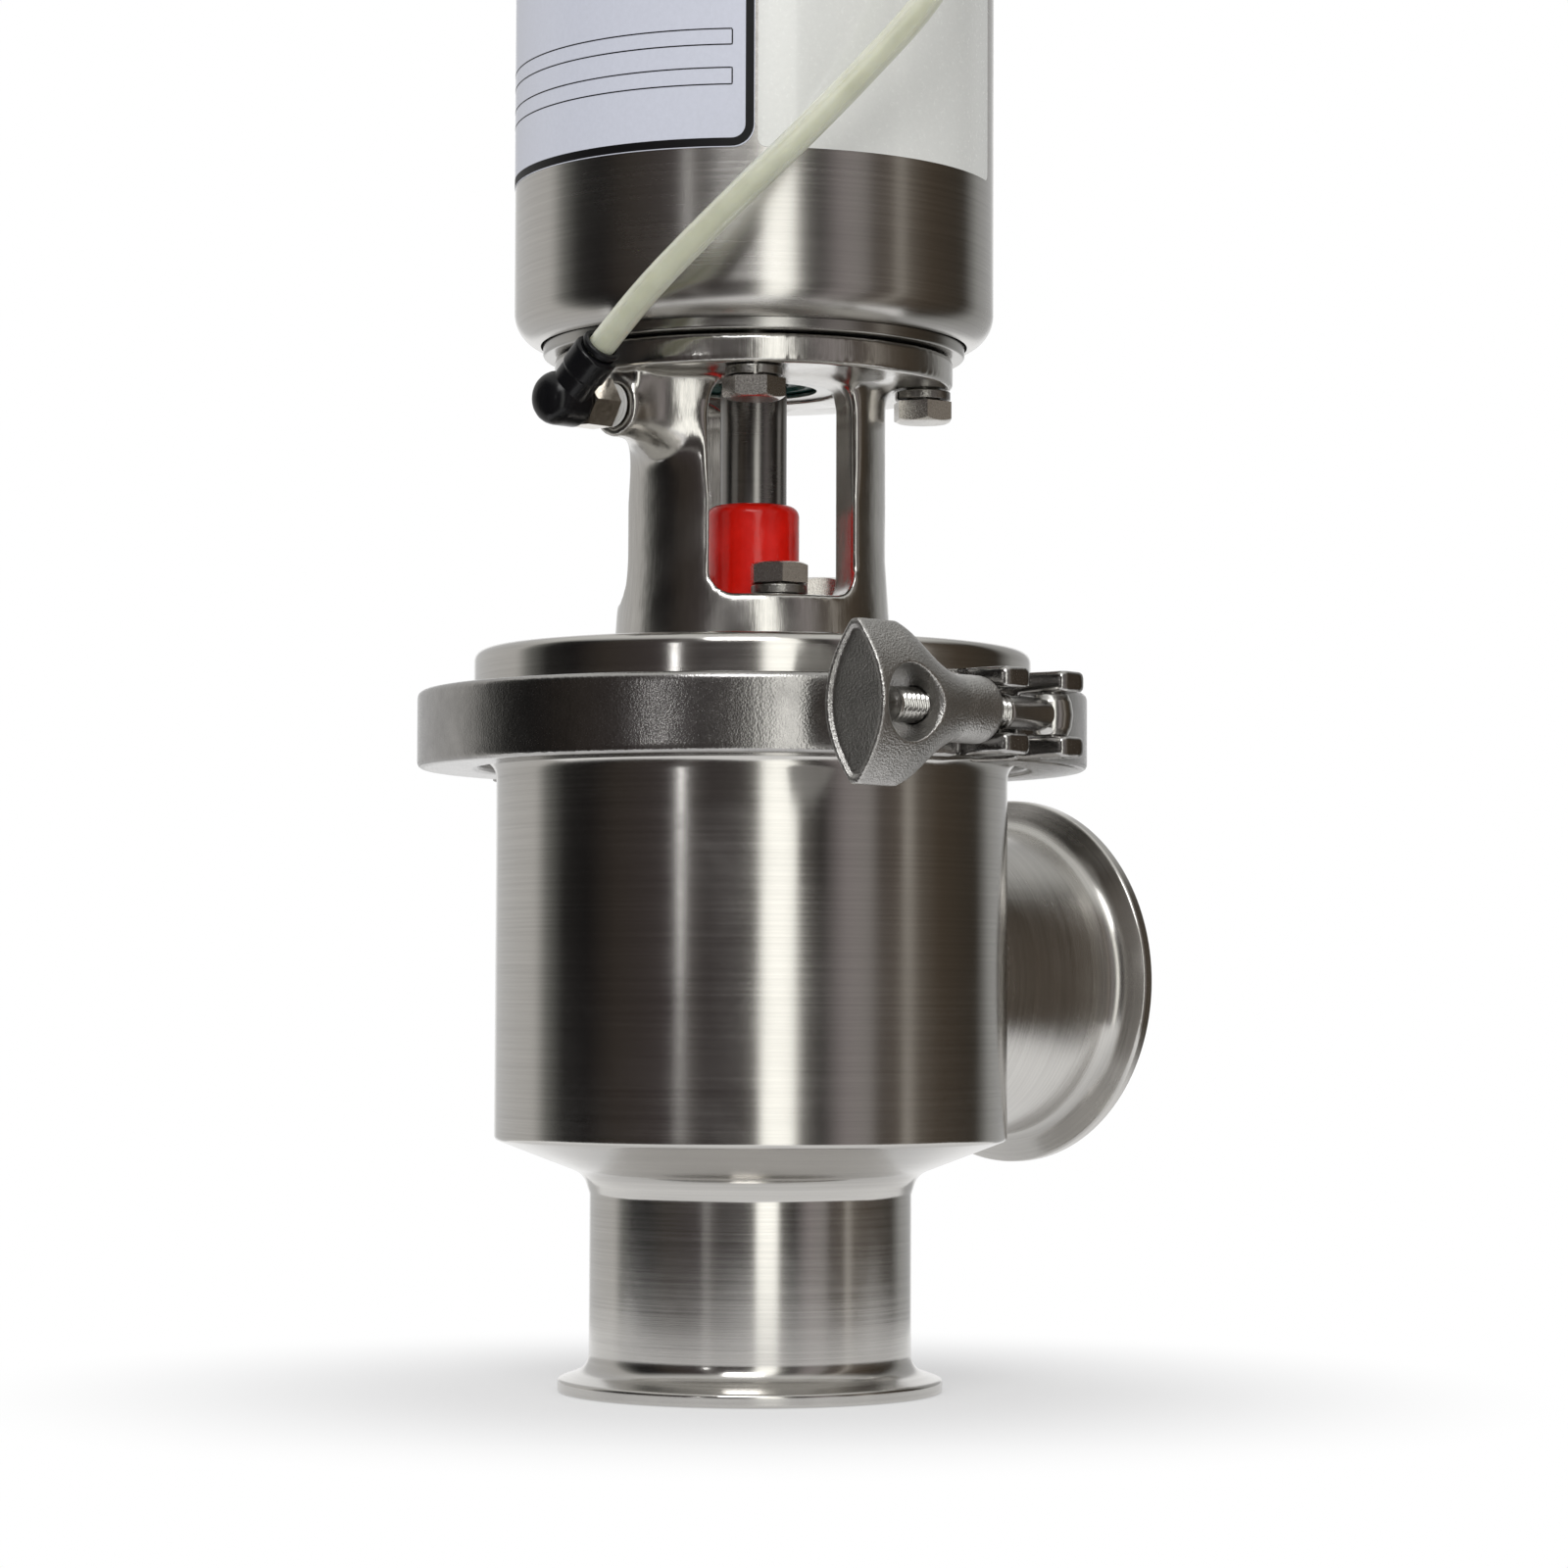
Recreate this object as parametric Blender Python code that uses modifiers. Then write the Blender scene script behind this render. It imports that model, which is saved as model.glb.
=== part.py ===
"""Air-operated sanitary seat valve, L pattern: a port below, a port at the side, a clamped bonnet,
a yoke with three windows and a spring-return air cylinder.

Metres, +Z up. The origin is on the valve's axis in the face of the bottom ferrule. The side port
points along +X, the air port along -X, and the clamp's bolt lies on the -Y side.
"""

import math

import bmesh
import bpy
from mathutils import Matrix, Vector

MM = 0.001

# Facets round a turned piece, and along a rounded corner
LARGE = 24
MEDIUM = 20
SMALL = 12
THREAD = 10
SHANK = 8
CORNER = 1
# Holes are turned by this much, so that their facets don't line up with those round them
HOLE_TURN = math.radians(7)

# Clearances
SEAT_GAP = 0.3 * MM
THREAD_GAP = 0.3 * MM

# Line ports, for 3 inch tube
TUBE_RADIUS = 38.1 * MM
TUBE_WALL = 1.65 * MM
FERRULE_FLANGE = 7.35 * MM
FERRULE_RIM = 2.85 * MM
FERRULE_SLOPE = math.radians(20)
PORT_GROOVE_INSET = 3.7 * MM
GROOVE_HALF_WIDTH = 1.6 * MM
GROOVE_DEPTH = 1.4 * MM

# Body
BOWL_RADIUS = 60.7 * MM
BOWL_WALL = 3.2 * MM
CONE_FOOT_STEP = 1.4 * MM
CONE_FOOT_Z = 51.0 * MM
BOWL_FOOT_Z = 59.1 * MM
BOWL_CORNER = 1.5 * MM
SIDE_PORT_SINK = 0.2 * MM
SIDE_PORT_REACH = 93.8 * MM
SEAT_Z = 53.0 * MM
SEAT_WIDTH = 3.05 * MM

# Clamped joint between body and bonnet
JOINT_RISE = 20.4 * MM
JOINT_FLANGE = 11.7 * MM
JOINT_GROOVE_INSET = 4.4 * MM
GASKET_THICKNESS = 1.8 * MM
CLAMP_WALL = 7.1 * MM
CLAMP_HEIGHT = 18.2 * MM
CLAMP_TOP_GAP = 1.1 * MM
CLAMP_BOTTOM_GAP = 4.3 * MM
CLAMP_EDGE = 1.0 * MM
CLAMP_SPLIT = 10.0 * MM
CLAMP_HINGE_SPLIT = 2.0 * MM

# Clamp lugs, bolt and wing nut
LUG_LIFT = 1.0 * MM
LUG_GAP = 10.0 * MM
LUG_THICKNESS = 4.7 * MM
LUG_END = 6.7 * MM
LUG_CORNER = 1.2 * MM
LUG_ROOT_DEPTH = 3.0 * MM
NUT_LUG_ROOT = 12.0 * MM
BOLT_STANDOFF = 6.8 * MM
BOLT_RADIUS = 3.97 * MM
BOLT_TIP = 55.0 * MM
PIVOT_X = 9.0 * MM
PIVOT_PIN_RADIUS = 2.4 * MM
EYE_RADIUS = 4.9 * MM
LUG_ARC_RADIUS = 23.3 * MM
RIGHT_LUG_WIDTH = 8.9 * MM
HINGE_STANDOFF = 5.0 * MM
HINGE_KNUCKLE_RADIUS = 5.5 * MM
HINGE_PIN_RADIUS = 2.5 * MM
HINGE_KNUCKLE_HEIGHT = 6.6 * MM
NUT_BARREL_RADIUS = 7.6 * MM
NUT_HALF_HEIGHT = 18.0 * MM
NUT_HALF_WIDTH = 9.0 * MM
NUT_TIP_HALF_WIDTH = 1.4 * MM
NUT_LENGTH = 41.0 * MM
NUT_WING_LENGTH = 12.2 * MM
NUT_TAPER_LENGTH = 17.4 * MM
NUT_HOLE_RADIUS = 8.5 * MM
NUT_HOLE_FROM_END = 11.0 * MM
NUT_RIM = 0.8 * MM
NUT_SECTIONS = 6

# Bonnet
BONNET_SHOULDER = 5.5 * MM
BONNET_HEIGHT = 17.8 * MM
BONNET_CORNER = 2.0 * MM
BONNET_BOSS_RADIUS = 19.0 * MM
BONNET_BOSS_DROP = 12.7 * MM
BONNET_BOSS_FLARE = 6.0 * MM
BONNET_SPIGOT = 3.5 * MM
STEM_RADIUS = 7.95 * MM
BUSHING_WALL = 4.25 * MM
BUSHING_LENGTH = 21.4 * MM
SEAL_WALL = 3.2 * MM
SEAL_HEIGHT = 4.8 * MM

# Yoke
YOKE_RADIUS = 31.5 * MM
YOKE_FOOT_RADIUS = 33.0 * MM
YOKE_BORE = 20.0 * MM
YOKE_HEIGHT = 69.7 * MM
YOKE_FLOOR = 11.4 * MM
YOKE_FOOT_TAPER = 8.0 * MM
YOKE_FLANGE_RADIUS = 47.5 * MM
YOKE_FLANGE = 7.0 * MM
WINDOW_WIDTH = 36.0 * MM
WINDOW_CORNER = 5.0 * MM
WINDOW_STEP = 0.6 * MM
WINDOW_ANGLES = (0, 120, 240)
BONNET_SCREW_CIRCLE = 23.5 * MM
FLANGE_SCREW_CIRCLE = 40.4 * MM
FLANGE_SCREW_ANGLES = (45, 135, 225, 315)
BOSS_DROP = 15.2 * MM
BOSS_RADIUS = 7.1 * MM
BOSS_REACH = 46.0 * MM
PASSAGE_RADIUS = 2.2 * MM
PASSAGE_REACH = 27.5 * MM

# Hexagon screws, 5/16 inch
SCREW_RADIUS = 3.97 * MM
SCREW_ACROSS_FLATS = 12.7 * MM
SCREW_HEAD = 5.1 * MM
WASHER_RADIUS = 6.6 * MM
WASHER_THICKNESS = 2.0 * MM
BONNET_SCREW_LENGTH = 26.0 * MM
FLANGE_SCREW_LENGTH = 25.0 * MM

# Valve plug and stem
PLUG_SEAL_LAP = 2.55 * MM
PLUG_SEAL_HEIGHT = 7.0 * MM
PLUG_SEAL_WIDTH = 4.5 * MM
PLUG_DISC = 6.7 * MM
PLUG_HUB_RADIUS = 12.0 * MM
PLUG_HUB = 10.5 * MM
PLUG_CAP_INSET = 0.95 * MM
PLUG_CAP = 4.7 * MM
STEM_RISE = 15.5 * MM
STUD_RADIUS = 4.8 * MM
STUD_LENGTH = 16.5 * MM
CAP_RADIUS = 11.0 * MM
CAP_RISE = 19.6 * MM
CAP_LENGTH = 22.8 * MM
CAP_WALL = 1.4 * MM
CAP_CORNER = 5.0 * MM
COUPLING_HEIGHT = 7.4 * MM
COUPLING_ACROSS_FLATS = 15.9 * MM

# Air cylinder
CYLINDER_RADIUS = 57.15 * MM
CYLINDER_WALL = 3.0 * MM
CYLINDER_LIFT = 2.5 * MM
CYLINDER_LENGTH = 212.7 * MM
ROLL_RADIUS = 8.0 * MM
HEAD_RIM_INSET = 6.85 * MM
HEAD_HEIGHT = 23.2 * MM
SPIGOT_DEPTH = 3.3 * MM
WIPER_THICKNESS = 2.7 * MM
RING_THICKNESS = 0.9 * MM
HEAD_SEAL_DEPTH = 3.4 * MM
HEAD_SEAL_HEIGHT = 3.4 * MM
ROD_BUSHING_LENGTH = 17.4 * MM
PISTON_LIFT = 4.5 * MM
PISTON_HEIGHT = 16.0 * MM
PISTON_HUB_RADIUS = 33.5 * MM
PISTON_HUB = 5.0 * MM
ROD_STUD_RADIUS = 6.1 * MM
PISTON_NUT_HEIGHT = 8.2 * MM
PISTON_NUT_ACROSS_FLATS = 19.0 * MM
SPRING_RADIUS = 38.5 * MM
SPRING_WIRE_RADIUS = 3.1 * MM
SPRING_TURNS = 5
SPRING_POINTS = 12
TOP_HEAD_DEPTH = 22.0 * MM
TOP_HEAD_HEIGHT = 16.0 * MM
TOP_BOSS_INSET = 6.15 * MM
TOP_BOSS_RISE = 4.0 * MM
SNAP_RING_THICKNESS = 1.8 * MM
SNAP_RING_DEPTH = 1.2 * MM
GUIDE_THICKNESS = 3.0 * MM
SUPPLY_CIRCLE = 31.0 * MM
SUPPLY_ANGLE = 25
VENT_ANGLE = 150
BREATHER_RADIUS = 5.5 * MM
BREATHER_HEIGHT = 7.0 * MM
TOP_FITTING_ANGLE = -65
TOP_FITTING_CIRCLE = 20.0 * MM
PORT_THREAD_RADIUS = 4.6 * MM
PORT_DEPTH = 12.0 * MM

# Push-in fittings and air tube
FITTING_THREAD = 11.0 * MM
FITTING_NECK = 2.8 * MM
TAPE_THICKNESS = 0.8 * MM
FITTING_HEX = 6.2 * MM
FITTING_ACROSS_FLATS = 11.1 * MM
ELBOW_RADIUS = 6.2 * MM
ELBOW_HEIGHT = 13.0 * MM
ELBOW_BARREL_RADIUS = 5.4 * MM
ELBOW_BARREL = 15.4 * MM
ELBOW_TURN = 40
COLLAR_RADIUS = 4.6 * MM
COLLAR_THICKNESS = 1.8 * MM
AIR_TUBE_RADIUS = 3.175 * MM
AIR_TUBE_INSERT = 9.0 * MM
# Where the tube runs round the front of the cylinder, between its two elbows
AIR_TUBE_ROUTE = (
    (-0.0615, -0.0270, 0.2510),
    (-0.0580, -0.0370, 0.2605),
    (-0.0510, -0.0490, 0.2735),
    (-0.0415, -0.0580, 0.2865),
    (-0.0295, -0.0655, 0.3015),
    (-0.0170, -0.0710, 0.3170),
    (-0.0050, -0.0730, 0.3350),
    (0.0080, -0.0715, 0.3580),
    (0.0190, -0.0670, 0.3860),
    (0.0260, -0.0620, 0.4150),
)
AIR_TUBE_BEND = 28.0 * MM

# Levels and radii that follow from the sizes above
TUBE_BORE = TUBE_RADIUS - TUBE_WALL
FERRULE_RADIUS = TUBE_RADIUS + FERRULE_FLANGE
PORT_GROOVE_RADIUS = FERRULE_RADIUS - PORT_GROOVE_INSET
CONE_FOOT_RADIUS = TUBE_RADIUS + CONE_FOOT_STEP
SIDE_PORT_Z = BOWL_FOOT_Z + TUBE_RADIUS - SIDE_PORT_SINK
JOINT_Z = SIDE_PORT_Z + TUBE_RADIUS + JOINT_RISE
BOWL_BORE = BOWL_RADIUS - BOWL_WALL
CONE_RISE = (BOWL_FOOT_Z - CONE_FOOT_Z) / (BOWL_RADIUS - CONE_FOOT_RADIUS)
SEAT_TOP_Z = SEAT_Z + SEAT_WIDTH
SEAT_OUTER = TUBE_BORE + SEAT_WIDTH
FACE_OFFSET = GASKET_THICKNESS / 2 + SEAT_GAP
BODY_FACE_Z = JOINT_Z - FACE_OFFSET
JOINT_RADIUS = BOWL_RADIUS + JOINT_FLANGE
JOINT_GROOVE_RADIUS = JOINT_RADIUS - JOINT_GROOVE_INSET
BONNET_FACE_Z = JOINT_Z + FACE_OFFSET
BONNET_TOP_Z = BONNET_FACE_Z + BONNET_HEIGHT
BONNET_RADIUS = BOWL_RADIUS + BONNET_SHOULDER
BONNET_BOSS_Z = BONNET_FACE_Z - BONNET_BOSS_DROP
CLAMP_RADIUS = JOINT_RADIUS + CLAMP_WALL
CLAMP_TOP_LIP = BONNET_RADIUS + CLAMP_TOP_GAP
CLAMP_BOTTOM_LIP = BOWL_RADIUS + CLAMP_BOTTOM_GAP
LUG_Z = JOINT_Z + LUG_LIFT
CLAMP_BOTTOM_Z = JOINT_Z - CLAMP_HEIGHT / 2
CLAMP_TOP_Z = JOINT_Z + CLAMP_HEIGHT / 2
BOLT_REACH = CLAMP_RADIUS + BOLT_STANDOFF
LUG_REACH = BOLT_REACH + LUG_END
HINGE_REACH = CLAMP_RADIUS + HINGE_STANDOFF
GROOVE_SLACK = SEAT_GAP / math.cos(FERRULE_SLOPE)
STEM_HOLE = STEM_RADIUS + SEAT_GAP
BUSHING_RADIUS = STEM_HOLE + BUSHING_WALL
BUSHING_BORE = BUSHING_RADIUS + SEAT_GAP
SEAL_RADIUS = STEM_HOLE + SEAL_WALL
SEAL_BORE = SEAL_RADIUS + SEAT_GAP
STEM_LIP = STEM_HOLE + 0.45 * MM
BUSHING_FOOT_Z = BONNET_TOP_Z - SEAT_GAP - BUSHING_LENGTH
YOKE_FOOT_Z = BONNET_TOP_Z + SEAT_GAP
YOKE_TOP_Z = YOKE_FOOT_Z + YOKE_HEIGHT
YOKE_FLOOR_Z = YOKE_FOOT_Z + YOKE_FLOOR
FLANGE_Z = YOKE_TOP_Z - YOKE_FLANGE
BOSS_Z = YOKE_TOP_Z - BOSS_DROP
SCREW_HOLE = SCREW_RADIUS + THREAD_GAP
PLUG_SEAL_Z = SEAT_Z + SEAT_GAP * math.sqrt(2)
PLUG_SEAL_RADIUS = TUBE_BORE + PLUG_SEAL_LAP
PLUG_CAP_RADIUS = TUBE_BORE - PLUG_CAP_INSET
PLUG_SEAL_BORE = PLUG_SEAL_RADIUS - PLUG_SEAL_WIDTH
PLUG_SEAL_TOP_Z = PLUG_SEAL_Z + PLUG_SEAL_HEIGHT
PLUG_DISC_Z = PLUG_SEAL_TOP_Z + SEAT_GAP
PLUG_HUB_Z = PLUG_DISC_Z + PLUG_DISC
PLUG_TOP_Z = PLUG_HUB_Z + PLUG_HUB
PLUG_CAP_Z = PLUG_SEAL_Z - SEAT_GAP - PLUG_CAP
STEM_TOP_Z = BONNET_TOP_Z + STEM_RISE
CAP_TOP_Z = STEM_TOP_Z + CAP_RISE
CAP_FOOT_Z = CAP_TOP_Z - CAP_LENGTH
COUPLING_Z = STEM_TOP_Z + SEAT_GAP
ROD_FOOT_Z = COUPLING_Z + COUPLING_HEIGHT + SEAT_GAP
HEAD_Z = YOKE_TOP_Z + SEAT_GAP
HEAD_TOP_Z = HEAD_Z + HEAD_HEIGHT
CYLINDER_Z = HEAD_Z + CYLINDER_LIFT
CYLINDER_TOP_Z = CYLINDER_Z + CYLINDER_LENGTH
CYLINDER_BORE = CYLINDER_RADIUS - CYLINDER_WALL
TOP_BOSS_RADIUS = CYLINDER_BORE - TOP_BOSS_INSET
ROLL_CENTRE_Z = CYLINDER_Z + ROLL_RADIUS
ROLL_CENTRE = CYLINDER_RADIUS - ROLL_RADIUS
HEAD_RIM_RADIUS = CYLINDER_RADIUS - HEAD_RIM_INSET
HEAD_RADIUS = CYLINDER_BORE - SEAT_GAP
SEAL_GROOVE = HEAD_RADIUS - HEAD_SEAL_DEPTH
SPIGOT_Z = HEAD_Z - SPIGOT_DEPTH
SPIGOT_RADIUS = YOKE_BORE - SEAT_GAP
WIPER_Z = SPIGOT_Z - SEAT_GAP - WIPER_THICKNESS
PISTON_Z = HEAD_TOP_Z + PISTON_LIFT
PISTON_TOP_Z = PISTON_Z + PISTON_HEIGHT
PISTON_HUB_Z = PISTON_TOP_Z + PISTON_HUB
TOP_HEAD_Z = CYLINDER_TOP_Z - TOP_HEAD_DEPTH
TOP_HEAD_TOP_Z = TOP_HEAD_Z + TOP_HEAD_HEIGHT
TOP_FACE_Z = CYLINDER_TOP_Z + TOP_BOSS_RISE
GUIDE_Z = TOP_HEAD_Z - SEAT_GAP - GUIDE_THICKNESS

part_collection = bpy.data.collections.new("sanitary_valve")
cutter_collection = bpy.data.collections.new("cutters")


def clear_scene():
    for obj in list(bpy.data.objects):
        bpy.data.objects.remove(obj, do_unlink=True)
    bpy.context.scene.collection.children.link(part_collection)
    bpy.context.scene.collection.children.link(cutter_collection)


def finish(name, colour, roughness, metallic):
    """A plain material with one colour."""
    material = bpy.data.materials.new(name)
    material.use_nodes = True
    shader = material.node_tree.nodes["Principled BSDF"]
    shader.inputs["Base Color"].default_value = (*colour, 1)
    shader.inputs["Roughness"].default_value = roughness
    shader.inputs["Metallic"].default_value = metallic
    return material


def polished_steel():
    return finish("polished_steel", (0.62, 0.61, 0.59), 0.22, 1)


def cast_steel():
    return finish("cast_steel", (0.45, 0.44, 0.43), 0.42, 1)


def screw_steel():
    return finish("screw_steel", (0.58, 0.58, 0.58), 0.32, 1)


def nickel_brass():
    return finish("nickel_brass", (0.66, 0.61, 0.53), 0.2, 1)


def black_plastic():
    return finish("black_plastic", (0.012, 0.012, 0.014), 0.35, 0)


def red_vinyl():
    return finish("red_vinyl", (0.55, 0.02, 0.02), 0.28, 0)


def green_plastic():
    return finish("green_plastic", (0.02, 0.1, 0.085), 0.45, 0)


def white_plastic():
    return finish("white_plastic", (0.82, 0.82, 0.8), 0.5, 0)


def nylon():
    return finish("nylon", (0.72, 0.68, 0.5), 0.35, 0)


def black_rubber():
    return finish("black_rubber", (0.02, 0.02, 0.02), 0.7, 0)


def spring_steel():
    return finish("spring_steel", (0.3, 0.31, 0.33), 0.4, 1)


def rounded(corners, closed=False, steps=CORNER):
    """The outline through the corners, where a third number rounds a corner with that radius."""
    outline = []
    count = len(corners)
    for i, corner in enumerate(corners):
        here = Vector(corner[:2])
        at_end = not closed and i in (0, count - 1)
        if len(corner) < 3 or at_end:
            outline.append(here)
            continue
        before = (Vector(corners[i - 1][:2]) - here).normalized()
        after = (Vector(corners[(i + 1) % count][:2]) - here).normalized()
        half = before.angle(after) / 2
        inwards = (before + after).normalized()
        centre = here + inwards * corner[2] / math.sin(half)
        first = here + before * corner[2] / math.tan(half) - centre
        last = here + after * corner[2] / math.tan(half) - centre
        sweep = first.angle_signed(last)
        for k in range(steps + 1):
            outline.append(centre + Matrix.Rotation(-sweep * k / steps, 2) @ first)
    return outline


def place(obj, location=(0, 0, 0), along="Z"):
    """Puts an object in its place with its local Z axis along the given direction."""
    directions = {"Z": (0, 0, 1), "X": (1, 0, 0), "-X": (-1, 0, 0), "Y": (0, 1, 0), "-Z": (0, 0, -1)}
    direction = Vector(directions.get(along, along) if isinstance(along, str) else along)
    turn = direction.to_track_quat("Z", "Y")
    obj.matrix_world = Matrix.Translation(location) @ turn.to_matrix().to_4x4()
    return obj


def new_object(name, mesh, material=None):
    obj = bpy.data.objects.new(name, mesh)
    if material:
        mesh.materials.append(material)
        part_collection.objects.link(obj)
    else:
        cutter_collection.objects.link(obj)
        obj.hide_render = True
        obj.display_type = "WIRE"
    return obj


def turned(name, corners, material=None, steps=SMALL, ring=False):
    """A solid of revolution through (radius, z) corners, down its outer side and up a ring's bore."""
    outline = rounded(corners, closed=ring)
    mesh = bpy.data.meshes.new(name)
    edges = [(i, i + 1) for i in range(len(outline) - 1)]
    if ring:
        edges.append((len(outline) - 1, 0))
    mesh.from_pydata([(p.x, 0, p.y) for p in outline], edges, [])
    obj = new_object(name, mesh, material)
    screw = obj.modifiers.new("turn", "SCREW")
    screw.steps = steps
    screw.render_steps = steps
    screw.use_merge_vertices = True
    screw.merge_threshold = 1e-6
    screw.use_smooth_shade = True
    return obj


def prism(name, outline, low, high, material=None):
    """A flat outline in X and Y, counter-clockwise, extruded from one level to another."""
    mesh = bpy.data.meshes.new(name)
    build = bmesh.new()
    bottom = build.faces.new([build.verts.new((p[0], p[1], low)) for p in outline])
    raised = bmesh.ops.extrude_face_region(build, geom=[bottom])
    moved = [v for v in raised["geom"] if isinstance(v, bmesh.types.BMVert)]
    bmesh.ops.translate(build, vec=(0, 0, high - low), verts=moved)
    bmesh.ops.recalc_face_normals(build, faces=build.faces)
    build.to_mesh(mesh)
    build.free()
    return new_object(name, mesh, material)


def box(name, low, high, material=None, round_x_edges=0):
    """A box between two corners, with the edges that run along X rounded if a radius is given."""
    mesh = bpy.data.meshes.new(name)
    build = bmesh.new()
    bmesh.ops.create_cube(build, size=1)
    size = Vector(high) - Vector(low)
    middle = (Vector(high) + Vector(low)) / 2
    for vert in build.verts:
        vert.co = Vector((vert.co.x * size.x, vert.co.y * size.y, vert.co.z * size.z)) + middle
    if round_x_edges:
        long_edges = [
            e for e in build.edges if abs(e.verts[0].co.x - e.verts[1].co.x) > size.x / 2
        ]
        bmesh.ops.bevel(
            build, geom=long_edges, offset=round_x_edges, segments=3, profile=0.5, affect="EDGES"
        )
    build.to_mesh(mesh)
    build.free()
    return new_object(name, mesh, material)


def hexagon(across_flats):
    radius = across_flats / math.sqrt(3)
    return [
        (radius * math.cos(math.radians(60 * k)), radius * math.sin(math.radians(60 * k)))
        for k in range(6)
    ]


def boolean(obj, other, operation):
    modifier = obj.modifiers.new(other.name, "BOOLEAN")
    modifier.operation = operation
    modifier.object = other
    modifier.solver = "EXACT"
    return obj


def cut(obj, cutter):
    return boolean(obj, cutter, "DIFFERENCE")


def join(obj, other):
    return boolean(obj, other, "UNION")


def keep(obj, limit):
    return boolean(obj, limit, "INTERSECT")


def drill(obj, name, radius, start, end, steps=THREAD):
    """A straight round hole between two points."""
    start = Vector(start)
    end = Vector(end)
    depth = (end - start).length
    cutter = turned(name, [(0, depth), (radius, depth), (radius, 0), (0, 0)], steps=steps)
    place(cutter, start, end - start)
    cutter.matrix_world = cutter.matrix_world @ Matrix.Rotation(HOLE_TURN, 4, "Z")
    return cut(obj, cutter)


def on_circle(radius, degrees, z):
    angle = math.radians(degrees)
    return Vector((radius * math.cos(angle), radius * math.sin(angle), z))


def ferrule(face, end):
    """Corners of a clamp ferrule's outer side, from its face at one level down to its tube at another."""
    slope = (FERRULE_RADIUS - TUBE_RADIUS) * math.tan(FERRULE_SLOPE)
    down = -1 if end < face else 1
    return [
        (FERRULE_RADIUS, face),
        (FERRULE_RADIUS, face + down * FERRULE_RIM),
        (TUBE_RADIUS, face + down * (FERRULE_RIM + slope), 1.5 * MM),
    ]


def face_groove(radius, face, depth):
    """Corners of the gasket groove in a ferrule's face, from its outer side to its inner one."""
    return [
        (radius + GROOVE_HALF_WIDTH, face),
        (radius + GROOVE_HALF_WIDTH / 2, face + depth),
        (radius - GROOVE_HALF_WIDTH / 2, face + depth),
        (radius - GROOVE_HALF_WIDTH, face),
    ]


def body_shell():
    """The bowl with its cone, the tube and ferrule below it and the ferrule that the clamp grips."""
    steel = polished_steel()
    joint_slope = (JOINT_RADIUS - BOWL_RADIUS) * math.tan(FERRULE_SLOPE)
    body = turned(
        "body_shell",
        [
            (0, BODY_FACE_Z),
            *reversed(face_groove(JOINT_GROOVE_RADIUS, BODY_FACE_Z, -GROOVE_DEPTH)),
            (JOINT_RADIUS, BODY_FACE_Z),
            (JOINT_RADIUS, BODY_FACE_Z - FERRULE_RIM),
            (BOWL_RADIUS, BODY_FACE_Z - FERRULE_RIM - joint_slope, 4 * MM),
            (BOWL_RADIUS, BOWL_FOOT_Z, BOWL_CORNER),
            (CONE_FOOT_RADIUS, CONE_FOOT_Z),
            (TUBE_RADIUS, CONE_FOOT_Z - (CONE_FOOT_RADIUS - TUBE_RADIUS) * 2),
            *reversed(ferrule(0, TUBE_RADIUS)),
            *face_groove(PORT_GROOVE_RADIUS, 0, GROOVE_DEPTH),
            (0, 0),
        ],
        steel,
        steps=LARGE,
    )
    side = turned(
        "side_port_tube",
        [
            (0, SIDE_PORT_REACH),
            *reversed(face_groove(PORT_GROOVE_RADIUS, SIDE_PORT_REACH, -GROOVE_DEPTH)),
            *ferrule(SIDE_PORT_REACH, 0),
            (TUBE_RADIUS, BOWL_BORE / 2),
            (0, BOWL_BORE / 2),
        ],
        steps=LARGE,
    )
    join(body, place(side, (0, 0, SIDE_PORT_Z), "X"))
    floor_z = SEAT_TOP_Z + (BOWL_BORE - SEAT_OUTER) * CONE_RISE
    inside = turned(
        "bowl_inside",
        [
            (0, BODY_FACE_Z + MM),
            (BOWL_BORE, BODY_FACE_Z + MM),
            (BOWL_BORE, floor_z, 2 * MM),
            (SEAT_OUTER, SEAT_TOP_Z),
            (TUBE_BORE, SEAT_Z),
            (TUBE_BORE, -MM),
            (0, -MM),
        ],
        steps=LARGE,
    )
    cut(body, inside)
    bore = turned(
        "side_port_bore",
        [
            (0, SIDE_PORT_REACH + MM),
            (TUBE_BORE, SIDE_PORT_REACH + MM),
            (TUBE_BORE, BOWL_BORE / 3),
            (0, BOWL_BORE / 3),
        ],
        steps=LARGE,
    )
    cut(body, place(bore, (0, 0, SIDE_PORT_Z), "X"))


def body_gasket():
    """A flat ring with a bead on each side that lies in the two ferrules' grooves."""
    half = GASKET_THICKNESS / 2
    bead = GROOVE_HALF_WIDTH - SEAT_GAP
    top = JOINT_Z + half
    bottom = JOINT_Z - half
    crown = GROOVE_DEPTH - SEAT_GAP
    radius = JOINT_GROOVE_RADIUS
    turned(
        "body_gasket",
        [
            (radius + bead, top),
            (JOINT_RADIUS - MM, top),
            (JOINT_RADIUS - MM, bottom),
            (radius + bead, bottom),
            (radius + bead / 2, bottom - crown),
            (radius - bead / 2, bottom - crown),
            (radius - bead, bottom),
            (BOWL_BORE + SEAT_GAP, bottom),
            (BOWL_BORE + SEAT_GAP, top),
            (radius - bead, top),
            (radius - bead / 2, top + crown),
            (radius + bead / 2, top + crown),
        ],
        black_rubber(),
        steps=LARGE,
        ring=True,
    )


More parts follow.
